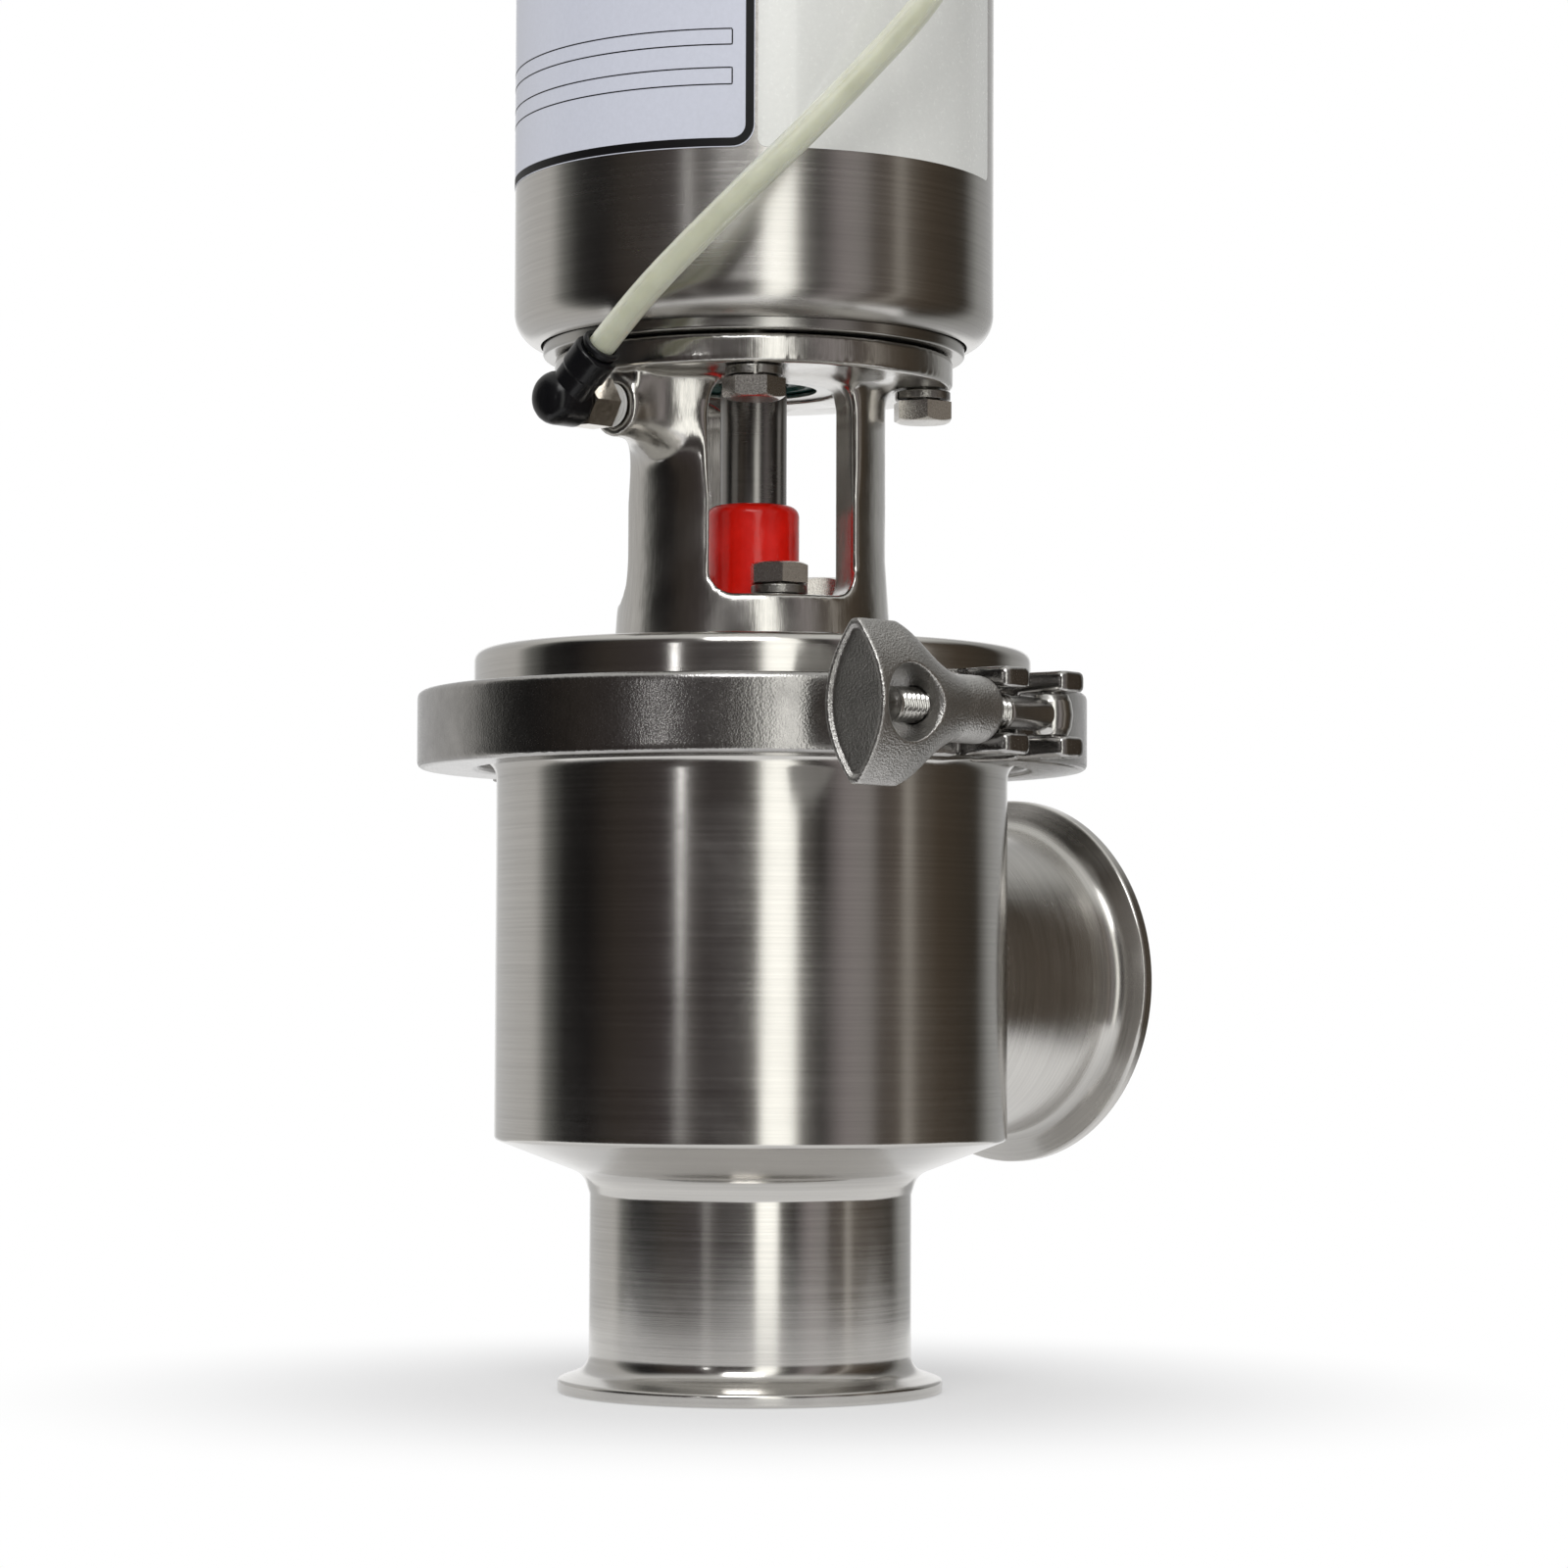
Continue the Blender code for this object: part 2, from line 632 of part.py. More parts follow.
def bonnet():
    """The cover: a ferrule, a plate above it, a spigot in the bowl and a boss for the stem's seal."""
    joint_slope = (JOINT_RADIUS - BONNET_RADIUS) * math.tan(FERRULE_SLOPE)
    spigot = BOWL_BORE - 2 * SEAT_GAP
    seal_top_z = BUSHING_FOOT_Z - SEAT_GAP
    seal_foot_z = seal_top_z - SEAL_HEIGHT - 2 * SEAT_GAP
    cover = turned(
        "bonnet",
        [
            (BONNET_RADIUS, BONNET_TOP_Z, BONNET_CORNER),
            (BONNET_RADIUS, BONNET_FACE_Z + FERRULE_RIM + joint_slope, 0.6 * MM),
            (JOINT_RADIUS, BONNET_FACE_Z + FERRULE_RIM),
            (JOINT_RADIUS, BONNET_FACE_Z),
            *face_groove(JOINT_GROOVE_RADIUS, BONNET_FACE_Z, GROOVE_DEPTH),
            (spigot, BONNET_FACE_Z),
            (spigot, BONNET_FACE_Z - BONNET_SPIGOT, MM),
            (BONNET_BOSS_RADIUS + BONNET_BOSS_FLARE, BONNET_FACE_Z - BONNET_SPIGOT - MM, 4 * MM),
            (BONNET_BOSS_RADIUS, BONNET_BOSS_Z, MM),
            (STEM_LIP, BONNET_BOSS_Z),
            (STEM_LIP, seal_foot_z),
            (SEAL_BORE, seal_foot_z),
            (SEAL_BORE, seal_top_z),
            (BUSHING_BORE, seal_top_z),
            (BUSHING_BORE, BONNET_TOP_Z),
        ],
        polished_steel(),
        steps=LARGE,
        ring=True,
    )
    for k, angle in enumerate(WINDOW_ANGLES):
        foot = on_circle(BONNET_SCREW_CIRCLE, angle, YOKE_FLOOR_Z - BONNET_SCREW_LENGTH)
        top = on_circle(BONNET_SCREW_CIRCLE, angle, BONNET_TOP_Z + MM)
        drill(cover, f"bonnet_thread_{k + 1}", SCREW_HOLE, foot, top)


def sleeve(name, bore, radius, low, high, material, steps=SMALL):
    """A plain ring or bushing."""
    return turned(
        name, [(radius, high), (radius, low), (bore, low), (bore, high)], material, steps, ring=True
    )


def stem_guides():
    """The bushing and the lip seal round the stem in the bonnet."""
    top_z = BONNET_TOP_Z - SEAT_GAP
    sleeve("stem_bushing", STEM_HOLE, BUSHING_RADIUS, BUSHING_FOOT_Z, top_z, white_plastic())
    seal_z = BUSHING_FOOT_Z - 2 * SEAT_GAP - SEAL_HEIGHT
    sleeve("stem_seal", STEM_HOLE, SEAL_RADIUS, seal_z, seal_z + SEAL_HEIGHT, black_rubber())


def clamp_ring(name, side):
    """Half of the clamp's ring, with its V groove; side is -1 for the half at -X and 1 for the other."""
    rim = BONNET_FACE_Z + FERRULE_RIM - JOINT_Z
    rise = math.tan(FERRULE_SLOPE)
    floor_radius = JOINT_RADIUS + 1.5 * MM
    floor_rise = rim + GROOVE_SLACK - (floor_radius - JOINT_RADIUS) * rise
    top_rise = rim + GROOVE_SLACK + (JOINT_RADIUS - CLAMP_TOP_LIP) * rise
    bottom_rise = rim + GROOVE_SLACK + (JOINT_RADIUS - CLAMP_BOTTOM_LIP) * rise
    half = turned(
        name,
        [
            (CLAMP_RADIUS, CLAMP_TOP_Z, CLAMP_EDGE),
            (CLAMP_RADIUS, CLAMP_BOTTOM_Z, CLAMP_EDGE),
            (CLAMP_BOTTOM_LIP, CLAMP_BOTTOM_Z, CLAMP_EDGE),
            (CLAMP_BOTTOM_LIP, JOINT_Z - bottom_rise),
            (floor_radius, JOINT_Z - floor_rise),
            (floor_radius, JOINT_Z + floor_rise),
            (CLAMP_TOP_LIP, JOINT_Z + top_rise),
            (CLAMP_TOP_LIP, CLAMP_TOP_Z, CLAMP_EDGE),
        ],
        cast_steel(),
        steps=LARGE,
        ring=True,
    )
    far = CLAMP_RADIUS + LUG_REACH
    outline = [
        (side * CLAMP_SPLIT / 2, -CLAMP_RADIUS),
        (side * CLAMP_HINGE_SPLIT / 2, CLAMP_RADIUS),
        (side * CLAMP_HINGE_SPLIT / 2, far),
        (-side * far, far),
        (-side * far, -far),
        (side * CLAMP_SPLIT / 2, -far),
    ]
    other_half = prism(f"{name}_split", outline, CLAMP_BOTTOM_Z - MM, CLAMP_TOP_Z + MM)
    return cut(half, other_half)


def lug_levels():
    """The low and high level of the lower and of the upper lug."""
    low = LUG_Z - LUG_GAP / 2
    high = LUG_Z + LUG_GAP / 2
    return ((low - LUG_THICKNESS, low), (high, high + LUG_THICKNESS))


def knuckle_levels():
    """The levels of the middle hinge knuckle and the two that lie beside it."""
    low = JOINT_Z - HINGE_KNUCKLE_HEIGHT / 2
    high = JOINT_Z + HINGE_KNUCKLE_HEIGHT / 2
    outer = ((CLAMP_BOTTOM_Z, low - SEAT_GAP), (high + SEAT_GAP, CLAMP_TOP_Z))
    return (low, high), outer


def disc_outline(x, y, radius, steps=SMALL):
    return [
        (x + radius * math.cos(2 * math.pi * k / steps), y + radius * math.sin(2 * math.pi * k / steps))
        for k in range(steps)
    ]


def clamp_halves():
    """Both clamp halves with their lugs on the -Y side and their hinge knuckles on the +Y side."""
    middle, outer = knuckle_levels()
    root = CLAMP_RADIUS - LUG_ROOT_DEPTH
    nut_half = clamp_ring("clamp_half_nut_side", -1)
    arc = [
        (
            PIVOT_X - LUG_ARC_RADIUS * math.cos(math.radians(degrees)),
            -BOLT_REACH + LUG_ARC_RADIUS * math.sin(math.radians(degrees)),
        )
        for degrees in (18, 11, 4, -4, -11)
    ]
    nut_lug = rounded(
        [
            (-CLAMP_SPLIT / 2, -root),
            (-CLAMP_SPLIT / 2 - NUT_LUG_ROOT, -root + 2 * MM),
            *arc,
            (arc[-1][0], -LUG_REACH, LUG_CORNER),
            (-CLAMP_SPLIT / 2, -LUG_REACH, LUG_CORNER),
        ],
        closed=True,
    )
    for k, (low, high) in enumerate(lug_levels()):
        join(nut_half, prism(f"nut_lug_{k + 1}", nut_lug, low, high))
    bolt_half = clamp_ring("clamp_half_bolt_side", 1)
    outside = CLAMP_SPLIT / 2 + RIGHT_LUG_WIDTH
    bolt_lug = rounded(
        [
            (CLAMP_SPLIT / 2, -root),
            (CLAMP_SPLIT / 2, -LUG_REACH, LUG_CORNER),
            (outside, -LUG_REACH, 2 * LUG_CORNER),
            (outside + 2 * MM, -root + MM),
        ],
        closed=True,
    )
    for k, (low, high) in enumerate(lug_levels()):
        join(bolt_half, prism(f"bolt_lug_{k + 1}", bolt_lug, low, high))
    knuckle = disc_outline(0, HINGE_REACH, HINGE_KNUCKLE_RADIUS)
    relief = disc_outline(0, HINGE_REACH, HINGE_KNUCKLE_RADIUS + 2 * SEAT_GAP)
    cut(nut_half, prism("middle_relief", relief, middle[0] - SEAT_GAP, middle[1] + SEAT_GAP))
    for k, (low, high) in enumerate(outer):
        join(nut_half, prism(f"outer_knuckle_{k + 1}", knuckle, low, high))
        past = (low - MM, high) if k == 0 else (low, high + MM)
        cut(bolt_half, prism(f"outer_relief_{k + 1}", relief, past[0], past[1]))
    join(bolt_half, prism("middle_knuckle", knuckle, *middle))
    hinge_low = (0, HINGE_REACH, CLAMP_BOTTOM_Z - MM)
    hinge_high = (0, HINGE_REACH, CLAMP_TOP_Z + MM)
    for half, name in ((nut_half, "nut_hinge_hole"), (bolt_half, "bolt_hinge_hole")):
        drill(half, name, HINGE_PIN_RADIUS + SEAT_GAP, hinge_low, hinge_high)
    pivot_low = (PIVOT_X, -BOLT_REACH, CLAMP_BOTTOM_Z - MM)
    pivot_high = (PIVOT_X, -BOLT_REACH, lug_levels()[1][1] + MM)
    drill(bolt_half, "pivot_hole", PIVOT_PIN_RADIUS + SEAT_GAP, pivot_low, pivot_high)


def headed_pin(name, radius, x, y, low, high):
    """A pin with a slightly domed end at each side."""
    pin = turned(
        name,
        [(0, high), (radius, high, 0.5 * MM), (radius, low, 0.5 * MM), (0, low)],
        screw_steel(),
        steps=SMALL,
    )
    place(pin, (x, y, 0))


def clamp_pins():
    lower, upper = lug_levels()
    headed_pin("clamp_bolt_pin", PIVOT_PIN_RADIUS, PIVOT_X, -BOLT_REACH, lower[0], upper[1])
    headed_pin("clamp_hinge_pin", HINGE_PIN_RADIUS, 0, HINGE_REACH, CLAMP_BOTTOM_Z, CLAMP_TOP_Z)


def clamp_eyebolt():
    """The swing bolt: an eye round its pin and a shank that points along -X."""
    eye_height = LUG_GAP - 2 * SEAT_GAP
    eye = turned(
        "clamp_eyebolt",
        [
            (0, eye_height / 2),
            (EYE_RADIUS, eye_height / 2, 1.5 * MM),
            (EYE_RADIUS, -eye_height / 2, 1.5 * MM),
            (0, -eye_height / 2),
        ],
        screw_steel(),
        steps=SMALL,
    )
    place(eye, (PIVOT_X, -BOLT_REACH, LUG_Z))
    shank = turned(
        "eyebolt_shank",
        [
            (0, BOLT_TIP),
            (BOLT_RADIUS, BOLT_TIP, 0.8 * MM),
            (BOLT_RADIUS, 0),
            (0, 0),
        ],
        steps=SMALL,
    )
    join(eye, place(shank, (PIVOT_X, -BOLT_REACH, LUG_Z), "-X"))
    low = (PIVOT_X, -BOLT_REACH, LUG_Z - eye_height)
    high = (PIVOT_X, -BOLT_REACH, LUG_Z + eye_height)
    drill(eye, "eye_hole", PIVOT_PIN_RADIUS + SEAT_GAP, low, high)


def wing_section(half_height, half_width, tip, roundness, steps=MEDIUM):
    """A closed outline between a pointed lens, at roundness 0, and an ellipse, at 1, as (width, height)."""
    outline = []
    for k in range(steps):
        angle = 2 * math.pi * (k + 0.5) / steps
        across = math.cos(angle)
        up = math.sin(angle) / math.sin(math.pi / 2 - math.pi / steps)
        lens = math.copysign(tip + (half_width - tip) * (1 - up * up), across)
        round_width = half_width * across
        outline.append(
            (lens * (1 - roundness) + round_width * roundness, half_height * up)
        )
    return outline


def wing_nut():
    """A cast nut: a round barrel that widens into two wings, a lens-shaped end and a cross hole."""
    nose_x = PIVOT_X - LUG_ARC_RADIUS - SEAT_GAP
    barrel = NUT_LENGTH - NUT_WING_LENGTH - NUT_TAPER_LENGTH
    sections = [
        (0, NUT_BARREL_RADIUS - 1.6 * MM, NUT_BARREL_RADIUS - 1.6 * MM, 1),
        (0.5 * MM, NUT_BARREL_RADIUS - 0.6 * MM, NUT_BARREL_RADIUS - 0.6 * MM, 1),
        (1.8 * MM, NUT_BARREL_RADIUS, NUT_BARREL_RADIUS, 1),
        (barrel, NUT_BARREL_RADIUS, NUT_BARREL_RADIUS, 1),
    ]
    growth = NUT_HALF_HEIGHT - NUT_BARREL_RADIUS
    width_growth = NUT_HALF_WIDTH - NUT_BARREL_RADIUS
    for k in range(1, NUT_SECTIONS):
        share = k / NUT_SECTIONS
        swell = share + 0.06 * math.sin(2 * math.pi * share - math.pi)
        sections.append(
            (
                barrel + NUT_TAPER_LENGTH * share,
                NUT_BARREL_RADIUS + growth * swell,
                NUT_BARREL_RADIUS + width_growth * share,
                (1 - share) ** 1.2,
            )
        )
    sections.append((NUT_LENGTH - NUT_WING_LENGTH, NUT_HALF_HEIGHT, NUT_HALF_WIDTH, 0))
    sections.append((NUT_LENGTH, NUT_HALF_HEIGHT, NUT_HALF_WIDTH, 0))
    mesh = bpy.data.meshes.new("wing_nut")
    build = bmesh.new()
    loops = []
    for along, half_height, half_width, roundness in sections:
        outline = wing_section(half_height, half_width, NUT_TIP_HALF_WIDTH, roundness)
        loops.append([build.verts.new((nose_x - along, -BOLT_REACH + w, LUG_Z + h)) for w, h in outline])
    inner = wing_section(
        NUT_HALF_HEIGHT - 2.5 * NUT_RIM, NUT_HALF_WIDTH - NUT_RIM, NUT_TIP_HALF_WIDTH / 2, 0
    )
    for along in (NUT_LENGTH, NUT_LENGTH - NUT_RIM):
        loops.append([build.verts.new((nose_x - along, -BOLT_REACH + w, LUG_Z + h)) for w, h in inner])
    for first, second in zip(loops, loops[1:]):
        for k in range(len(first)):
            n = (k + 1) % len(first)
            build.faces.new((first[k], first[n], second[n], second[k]))
    build.faces.new(loops[0])
    build.faces.new(loops[-1])
    bmesh.ops.recalc_face_normals(build, faces=build.faces)
    build.to_mesh(mesh)
    build.free()
    nut = new_object("wing_nut", mesh, cast_steel())
    thread_end = nose_x - NUT_LENGTH + NUT_HOLE_FROM_END
    drill(
        nut,
        "nut_thread",
        BOLT_RADIUS + THREAD_GAP,
        (thread_end, -BOLT_REACH, LUG_Z),
        (nose_x + MM, -BOLT_REACH, LUG_Z),
    )
    reach = NUT_HALF_WIDTH + MM
    cross = turned(
        "nut_cross_hole",
        [
            (0, reach),
            (NUT_HOLE_RADIUS + 1.2 * MM, reach),
            (NUT_HOLE_RADIUS, NUT_HALF_WIDTH - 1.6 * MM),
            (NUT_HOLE_RADIUS, 1.6 * MM - NUT_HALF_WIDTH),
            (NUT_HOLE_RADIUS + 1.2 * MM, -reach),
            (0, -reach),
        ],
        steps=MEDIUM,
    )
    cut(nut, place(cross, (thread_end, -BOLT_REACH, LUG_Z), "Y"))


def yoke():
    """The tube under the cylinder, with a floor, three windows, a top flange and the air port's boss."""
    frame = turned(
        "yoke",
        [
            (YOKE_FLANGE_RADIUS, YOKE_TOP_Z, 0.8 * MM),
            (YOKE_FLANGE_RADIUS, FLANGE_Z, 0.8 * MM),
            (YOKE_RADIUS, FLANGE_Z, 2 * MM),
            (YOKE_RADIUS, YOKE_FLOOR_Z + YOKE_FOOT_TAPER),
            (YOKE_FOOT_RADIUS, YOKE_FOOT_Z, 0.8 * MM),
            (STEM_LIP, YOKE_FOOT_Z),
            (STEM_LIP, YOKE_FLOOR_Z + WINDOW_STEP),
            (YOKE_BORE, YOKE_FLOOR_Z + WINDOW_STEP),
            (YOKE_BORE, YOKE_TOP_Z),
        ],
        polished_steel(),
        steps=LARGE,
        ring=True,
    )
    boss = turned(
        "air_boss",
        [
            (0, BOSS_REACH),
            (BOSS_RADIUS, BOSS_REACH, 0.8 * MM),
            (BOSS_RADIUS + 0.8 * MM, YOKE_RADIUS - 4 * MM),
            (0, YOKE_RADIUS - 4 * MM),
        ],
        steps=MEDIUM,
    )
    join(frame, place(boss, (0, 0, BOSS_Z), "-X"))
    web = box(
        "boss_web",
        (-BOSS_REACH + MM, -BOSS_RADIUS * 0.8, BOSS_Z),
        (-YOKE_RADIUS + 3 * MM, BOSS_RADIUS * 0.8, FLANGE_Z + MM),
    )
    join(frame, web)
    for k, angle in enumerate(WINDOW_ANGLES):
        window = box(
            f"window_{k + 1}",
            (YOKE_BORE / 3, -WINDOW_WIDTH / 2, YOKE_FLOOR_Z),
            (YOKE_FLANGE_RADIUS + 5 * MM, WINDOW_WIDTH / 2, FLANGE_Z - WINDOW_STEP),
            round_x_edges=WINDOW_CORNER,
        )
        window.rotation_euler.z = math.radians(angle)
        cut(frame, window)
        low = on_circle(BONNET_SCREW_CIRCLE, angle, YOKE_FOOT_Z - MM)
        high = on_circle(BONNET_SCREW_CIRCLE, angle, YOKE_FLOOR_Z + MM)
        drill(frame, f"floor_hole_{k + 1}", SCREW_HOLE, low, high)
    for k, angle in enumerate(FLANGE_SCREW_ANGLES):
        low = on_circle(FLANGE_SCREW_CIRCLE, angle, FLANGE_Z - MM)
        high = on_circle(FLANGE_SCREW_CIRCLE, angle, YOKE_TOP_Z + MM)
        drill(frame, f"flange_hole_{k + 1}", SCREW_HOLE, low, high)
    port_end = -PASSAGE_REACH + PASSAGE_RADIUS
    drill(
        frame,
        "air_port",
        PORT_THREAD_RADIUS,
        (port_end, 0, BOSS_Z),
        (-BOSS_REACH - MM, 0, BOSS_Z),
        SMALL,
    )
    drill(
        frame,
        "air_passage",
        PASSAGE_RADIUS,
        (-PASSAGE_REACH, 0, BOSS_Z),
        (-PASSAGE_REACH, 0, YOKE_TOP_Z + MM),
    )


def hex_screw(name, length, place_at, direction):
    """A hexagon screw whose head stands above its own origin and whose shank goes down to -length."""
    head_from = WASHER_THICKNESS + 2 * SEAT_GAP
    head = prism(
        name, hexagon(SCREW_ACROSS_FLATS), head_from, head_from + SCREW_HEAD, screw_steel()
    )
    corner = SCREW_ACROSS_FLATS / math.sqrt(3)
    chamfer = turned(
        f"{name}_chamfer",
        [
            (0, head_from + SCREW_HEAD + MM),
            (corner - 1.9 * MM - MM, head_from + SCREW_HEAD + 0.05 * MM),
            (corner + 0.3 * MM, head_from + SCREW_HEAD - 0.95 * MM),
            (corner + 0.3 * MM, head_from - MM),
            (0, head_from - MM),
        ],
        steps=SMALL,
    )
    keep(head, chamfer)
    shank = turned(
        f"{name}_shank",
        [
            (0, head_from + MM),
            (SCREW_RADIUS, head_from + MM),
            (SCREW_RADIUS, -length, 0.6 * MM),
            (0, -length),
        ],
        steps=SHANK,
    )
    join(head, shank)
    for obj in (head, chamfer, shank):
        place(obj, place_at, direction)


def lock_washer(name, place_at, direction):
    """A split spring washer."""
    ring = sleeve(
        name, SCREW_HOLE, WASHER_RADIUS, SEAT_GAP, SEAT_GAP + WASHER_THICKNESS, screw_steel(), THREAD
    )
    split = box(
        f"{name}_split",
        (SCREW_HOLE - MM, -0.5 * MM, -MM),
        (WASHER_RADIUS + MM, 0.5 * MM, WASHER_THICKNESS + 2 * MM),
    )
    cut(ring, split)
    for obj in (ring, split):
        place(obj, place_at, direction)


def screws():
    """Three screws hold the yoke to the bonnet, and four hold the cylinder's head to the yoke."""
    for k, angle in enumerate(WINDOW_ANGLES):
        seat = on_circle(BONNET_SCREW_CIRCLE, angle, YOKE_FLOOR_Z)
        hex_screw(f"bonnet_screw_{k + 1}", BONNET_SCREW_LENGTH - 2 * MM, seat, "Z")
        lock_washer(f"bonnet_lock_washer_{k + 1}", seat, "Z")
    for k, angle in enumerate(FLANGE_SCREW_ANGLES):
        seat = on_circle(FLANGE_SCREW_CIRCLE, angle, FLANGE_Z)
        hex_screw(f"flange_screw_{k + 1}", FLANGE_SCREW_LENGTH - 2 * MM, seat, "-Z")
        lock_washer(f"flange_lock_washer_{k + 1}", seat, "-Z")


def plug_and_stem():
    """The moving valve parts: plug, seat ring, the cap that clamps it, and the stem."""
    stud_hole = STUD_RADIUS + THREAD_GAP
    stud_foot_z = PLUG_SEAL_Z + PLUG_SEAL_HEIGHT
    cap_stud_z = PLUG_SEAL_Z + 4 * MM
    hub = PLUG_SEAL_BORE - SEAT_GAP
    plug = turned(
        "valve_plug",
        [
            (0, PLUG_TOP_Z),
            (PLUG_HUB_RADIUS, PLUG_TOP_Z, MM),
            (PLUG_HUB_RADIUS, PLUG_HUB_Z, 4 * MM),
            (PLUG_SEAL_RADIUS - 0.5 * MM, PLUG_HUB_Z - 2 * MM, 0.8 * MM),
            (PLUG_SEAL_RADIUS - 0.5 * MM, PLUG_DISC_Z),
            (hub, PLUG_DISC_Z),
            (hub, PLUG_SEAL_Z),
            (ROD_STUD_RADIUS + THREAD_GAP, PLUG_SEAL_Z),
            (ROD_STUD_RADIUS + THREAD_GAP, cap_stud_z + SEAT_GAP),
            (0, cap_stud_z + SEAT_GAP),
        ],
        polished_steel(),
        steps=LARGE,
    )
    drill(plug, "plug_thread", stud_hole, (0, 0, stud_foot_z - SEAT_GAP), (0, 0, PLUG_TOP_Z + MM), SMALL)
    seal_face = PLUG_SEAL_RADIUS - TUBE_BORE
    turned(
        "plug_seal",
        [
            (PLUG_SEAL_RADIUS, PLUG_SEAL_TOP_Z, 0.6 * MM),
            (PLUG_SEAL_RADIUS, PLUG_SEAL_Z + seal_face),
            (TUBE_BORE, PLUG_SEAL_Z),
            (PLUG_SEAL_BORE, PLUG_SEAL_Z),
            (PLUG_SEAL_BORE, PLUG_SEAL_TOP_Z),
        ],
        white_plastic(),
        steps=LARGE,
        ring=True,
    )
    turned(
        "plug_cap",
        [
            (0, cap_stud_z),
            (ROD_STUD_RADIUS, cap_stud_z),
            (ROD_STUD_RADIUS, PLUG_CAP_Z + PLUG_CAP),
            (PLUG_CAP_RADIUS, PLUG_CAP_Z + PLUG_CAP, 0.6 * MM),
            (PLUG_CAP_RADIUS, PLUG_CAP_Z + PLUG_CAP * 0.5, 1.2 * MM),
            (PLUG_CAP_RADIUS * 0.35, PLUG_CAP_Z),
            (0, PLUG_CAP_Z),
        ],
        polished_steel(),
        steps=LARGE,
    )
    stem_foot_z = PLUG_TOP_Z + SEAT_GAP
    turned(
        "valve_stem",
        [
            (0, STEM_TOP_Z + STUD_LENGTH),
            (STUD_RADIUS, STEM_TOP_Z + STUD_LENGTH, 0.6 * MM),
            (STUD_RADIUS, STEM_TOP_Z),
            (STEM_RADIUS, STEM_TOP_Z, 0.5 * MM),
            (STEM_RADIUS, stem_foot_z, 0.5 * MM),
            (STUD_RADIUS, stem_foot_z),
            (STUD_RADIUS, stud_foot_z),
            (0, stud_foot_z),
        ],
        polished_steel(),
        steps=SMALL,
    )


def coupling():
    """The lock nut between stem and rod, and the soft red cap that covers it."""
    nut = prism(
        "coupling_nut",
        hexagon(COUPLING_ACROSS_FLATS),
        COUPLING_Z,
        COUPLING_Z + COUPLING_HEIGHT,
        screw_steel(),
    )
    drill(
        nut,
        "coupling_thread",
        STUD_RADIUS + THREAD_GAP,
        (0, 0, COUPLING_Z - MM),
        (0, 0, COUPLING_Z + COUPLING_HEIGHT + MM),
        SMALL,
    )
    inside = CAP_RADIUS - CAP_WALL
    turned(
        "coupling_cap",
        [
            (STEM_HOLE, CAP_TOP_Z, 0.3 * MM),
            (CAP_RADIUS, CAP_TOP_Z, CAP_CORNER - 2.2 * MM),
            (CAP_RADIUS, CAP_FOOT_Z, 0.4 * MM),
            (inside, CAP_FOOT_Z),
            (inside, CAP_TOP_Z - 2 * CAP_WALL, CAP_WALL),
            (STEM_HOLE, CAP_TOP_Z - CAP_WALL),
        ],
        red_vinyl(),
        steps=MEDIUM,
        ring=True,
    )


def rod():
    """The cylinder's rod: a blind thread for the stem below and a stud for the piston above."""
    stud_hole = STUD_RADIUS + THREAD_GAP
    hole_top_z = STEM_TOP_Z + STUD_LENGTH + SEAT_GAP
    shoulder_z = PISTON_Z - SEAT_GAP
    stud_top_z = PISTON_HUB_Z + SEAT_GAP + PISTON_NUT_HEIGHT + 2 * MM
    turned(
        "actuator_rod",
        [
            (0, stud_top_z),
            (ROD_STUD_RADIUS, stud_top_z, 0.6 * MM),
            (ROD_STUD_RADIUS, shoulder_z),
            (STEM_RADIUS, shoulder_z, 0.5 * MM),
            (STEM_RADIUS, ROD_FOOT_Z, 0.5 * MM),
            (stud_hole, ROD_FOOT_Z),
            (stud_hole, hole_top_z),
            (0, hole_top_z),
        ],
        polished_steel(),
        steps=SMALL,
    )


def roll(radius, start, end, steps=3):
    """Points of the cylinder's rolled lower corner at a radius from its centre, between two angles."""
    points = []
    for k in range(steps + 1):
        angle = math.radians(start + (end - start) * k / steps)
        points.append(
            (ROLL_CENTRE + radius * math.cos(angle), ROLL_CENTRE_Z + radius * math.sin(angle))
        )
    return points


def cylinder_tube():
    """The cylinder's tube, rolled in at its lower end, with a snap ring groove inside its upper end."""
    lip = HEAD_RIM_RADIUS + 2 * SEAT_GAP
    inner_roll = ROLL_RADIUS - CYLINDER_WALL
    lip_angle = -math.degrees(math.acos((lip - ROLL_CENTRE) / inner_roll))
    outer_lip_angle = -math.degrees(math.acos((lip - ROLL_CENTRE) / ROLL_RADIUS))
    groove_z = TOP_HEAD_TOP_Z
    groove_top_z = groove_z + SNAP_RING_THICKNESS + 2 * SEAT_GAP
    groove = CYLINDER_BORE + SNAP_RING_DEPTH + SEAT_GAP
    turned(
        "actuator_cylinder",
        [
            (CYLINDER_RADIUS, CYLINDER_TOP_Z, 0.8 * MM),
            *roll(ROLL_RADIUS, 0, outer_lip_angle),
            *reversed(roll(inner_roll, 0, lip_angle)),
            (CYLINDER_BORE, groove_z),
            (groove, groove_z),
            (groove, groove_top_z),
            (CYLINDER_BORE, groove_top_z),
            (CYLINDER_BORE, CYLINDER_TOP_Z, 0.8 * MM),
        ],
        polished_steel(),
        steps=LARGE,
        ring=True,
    )


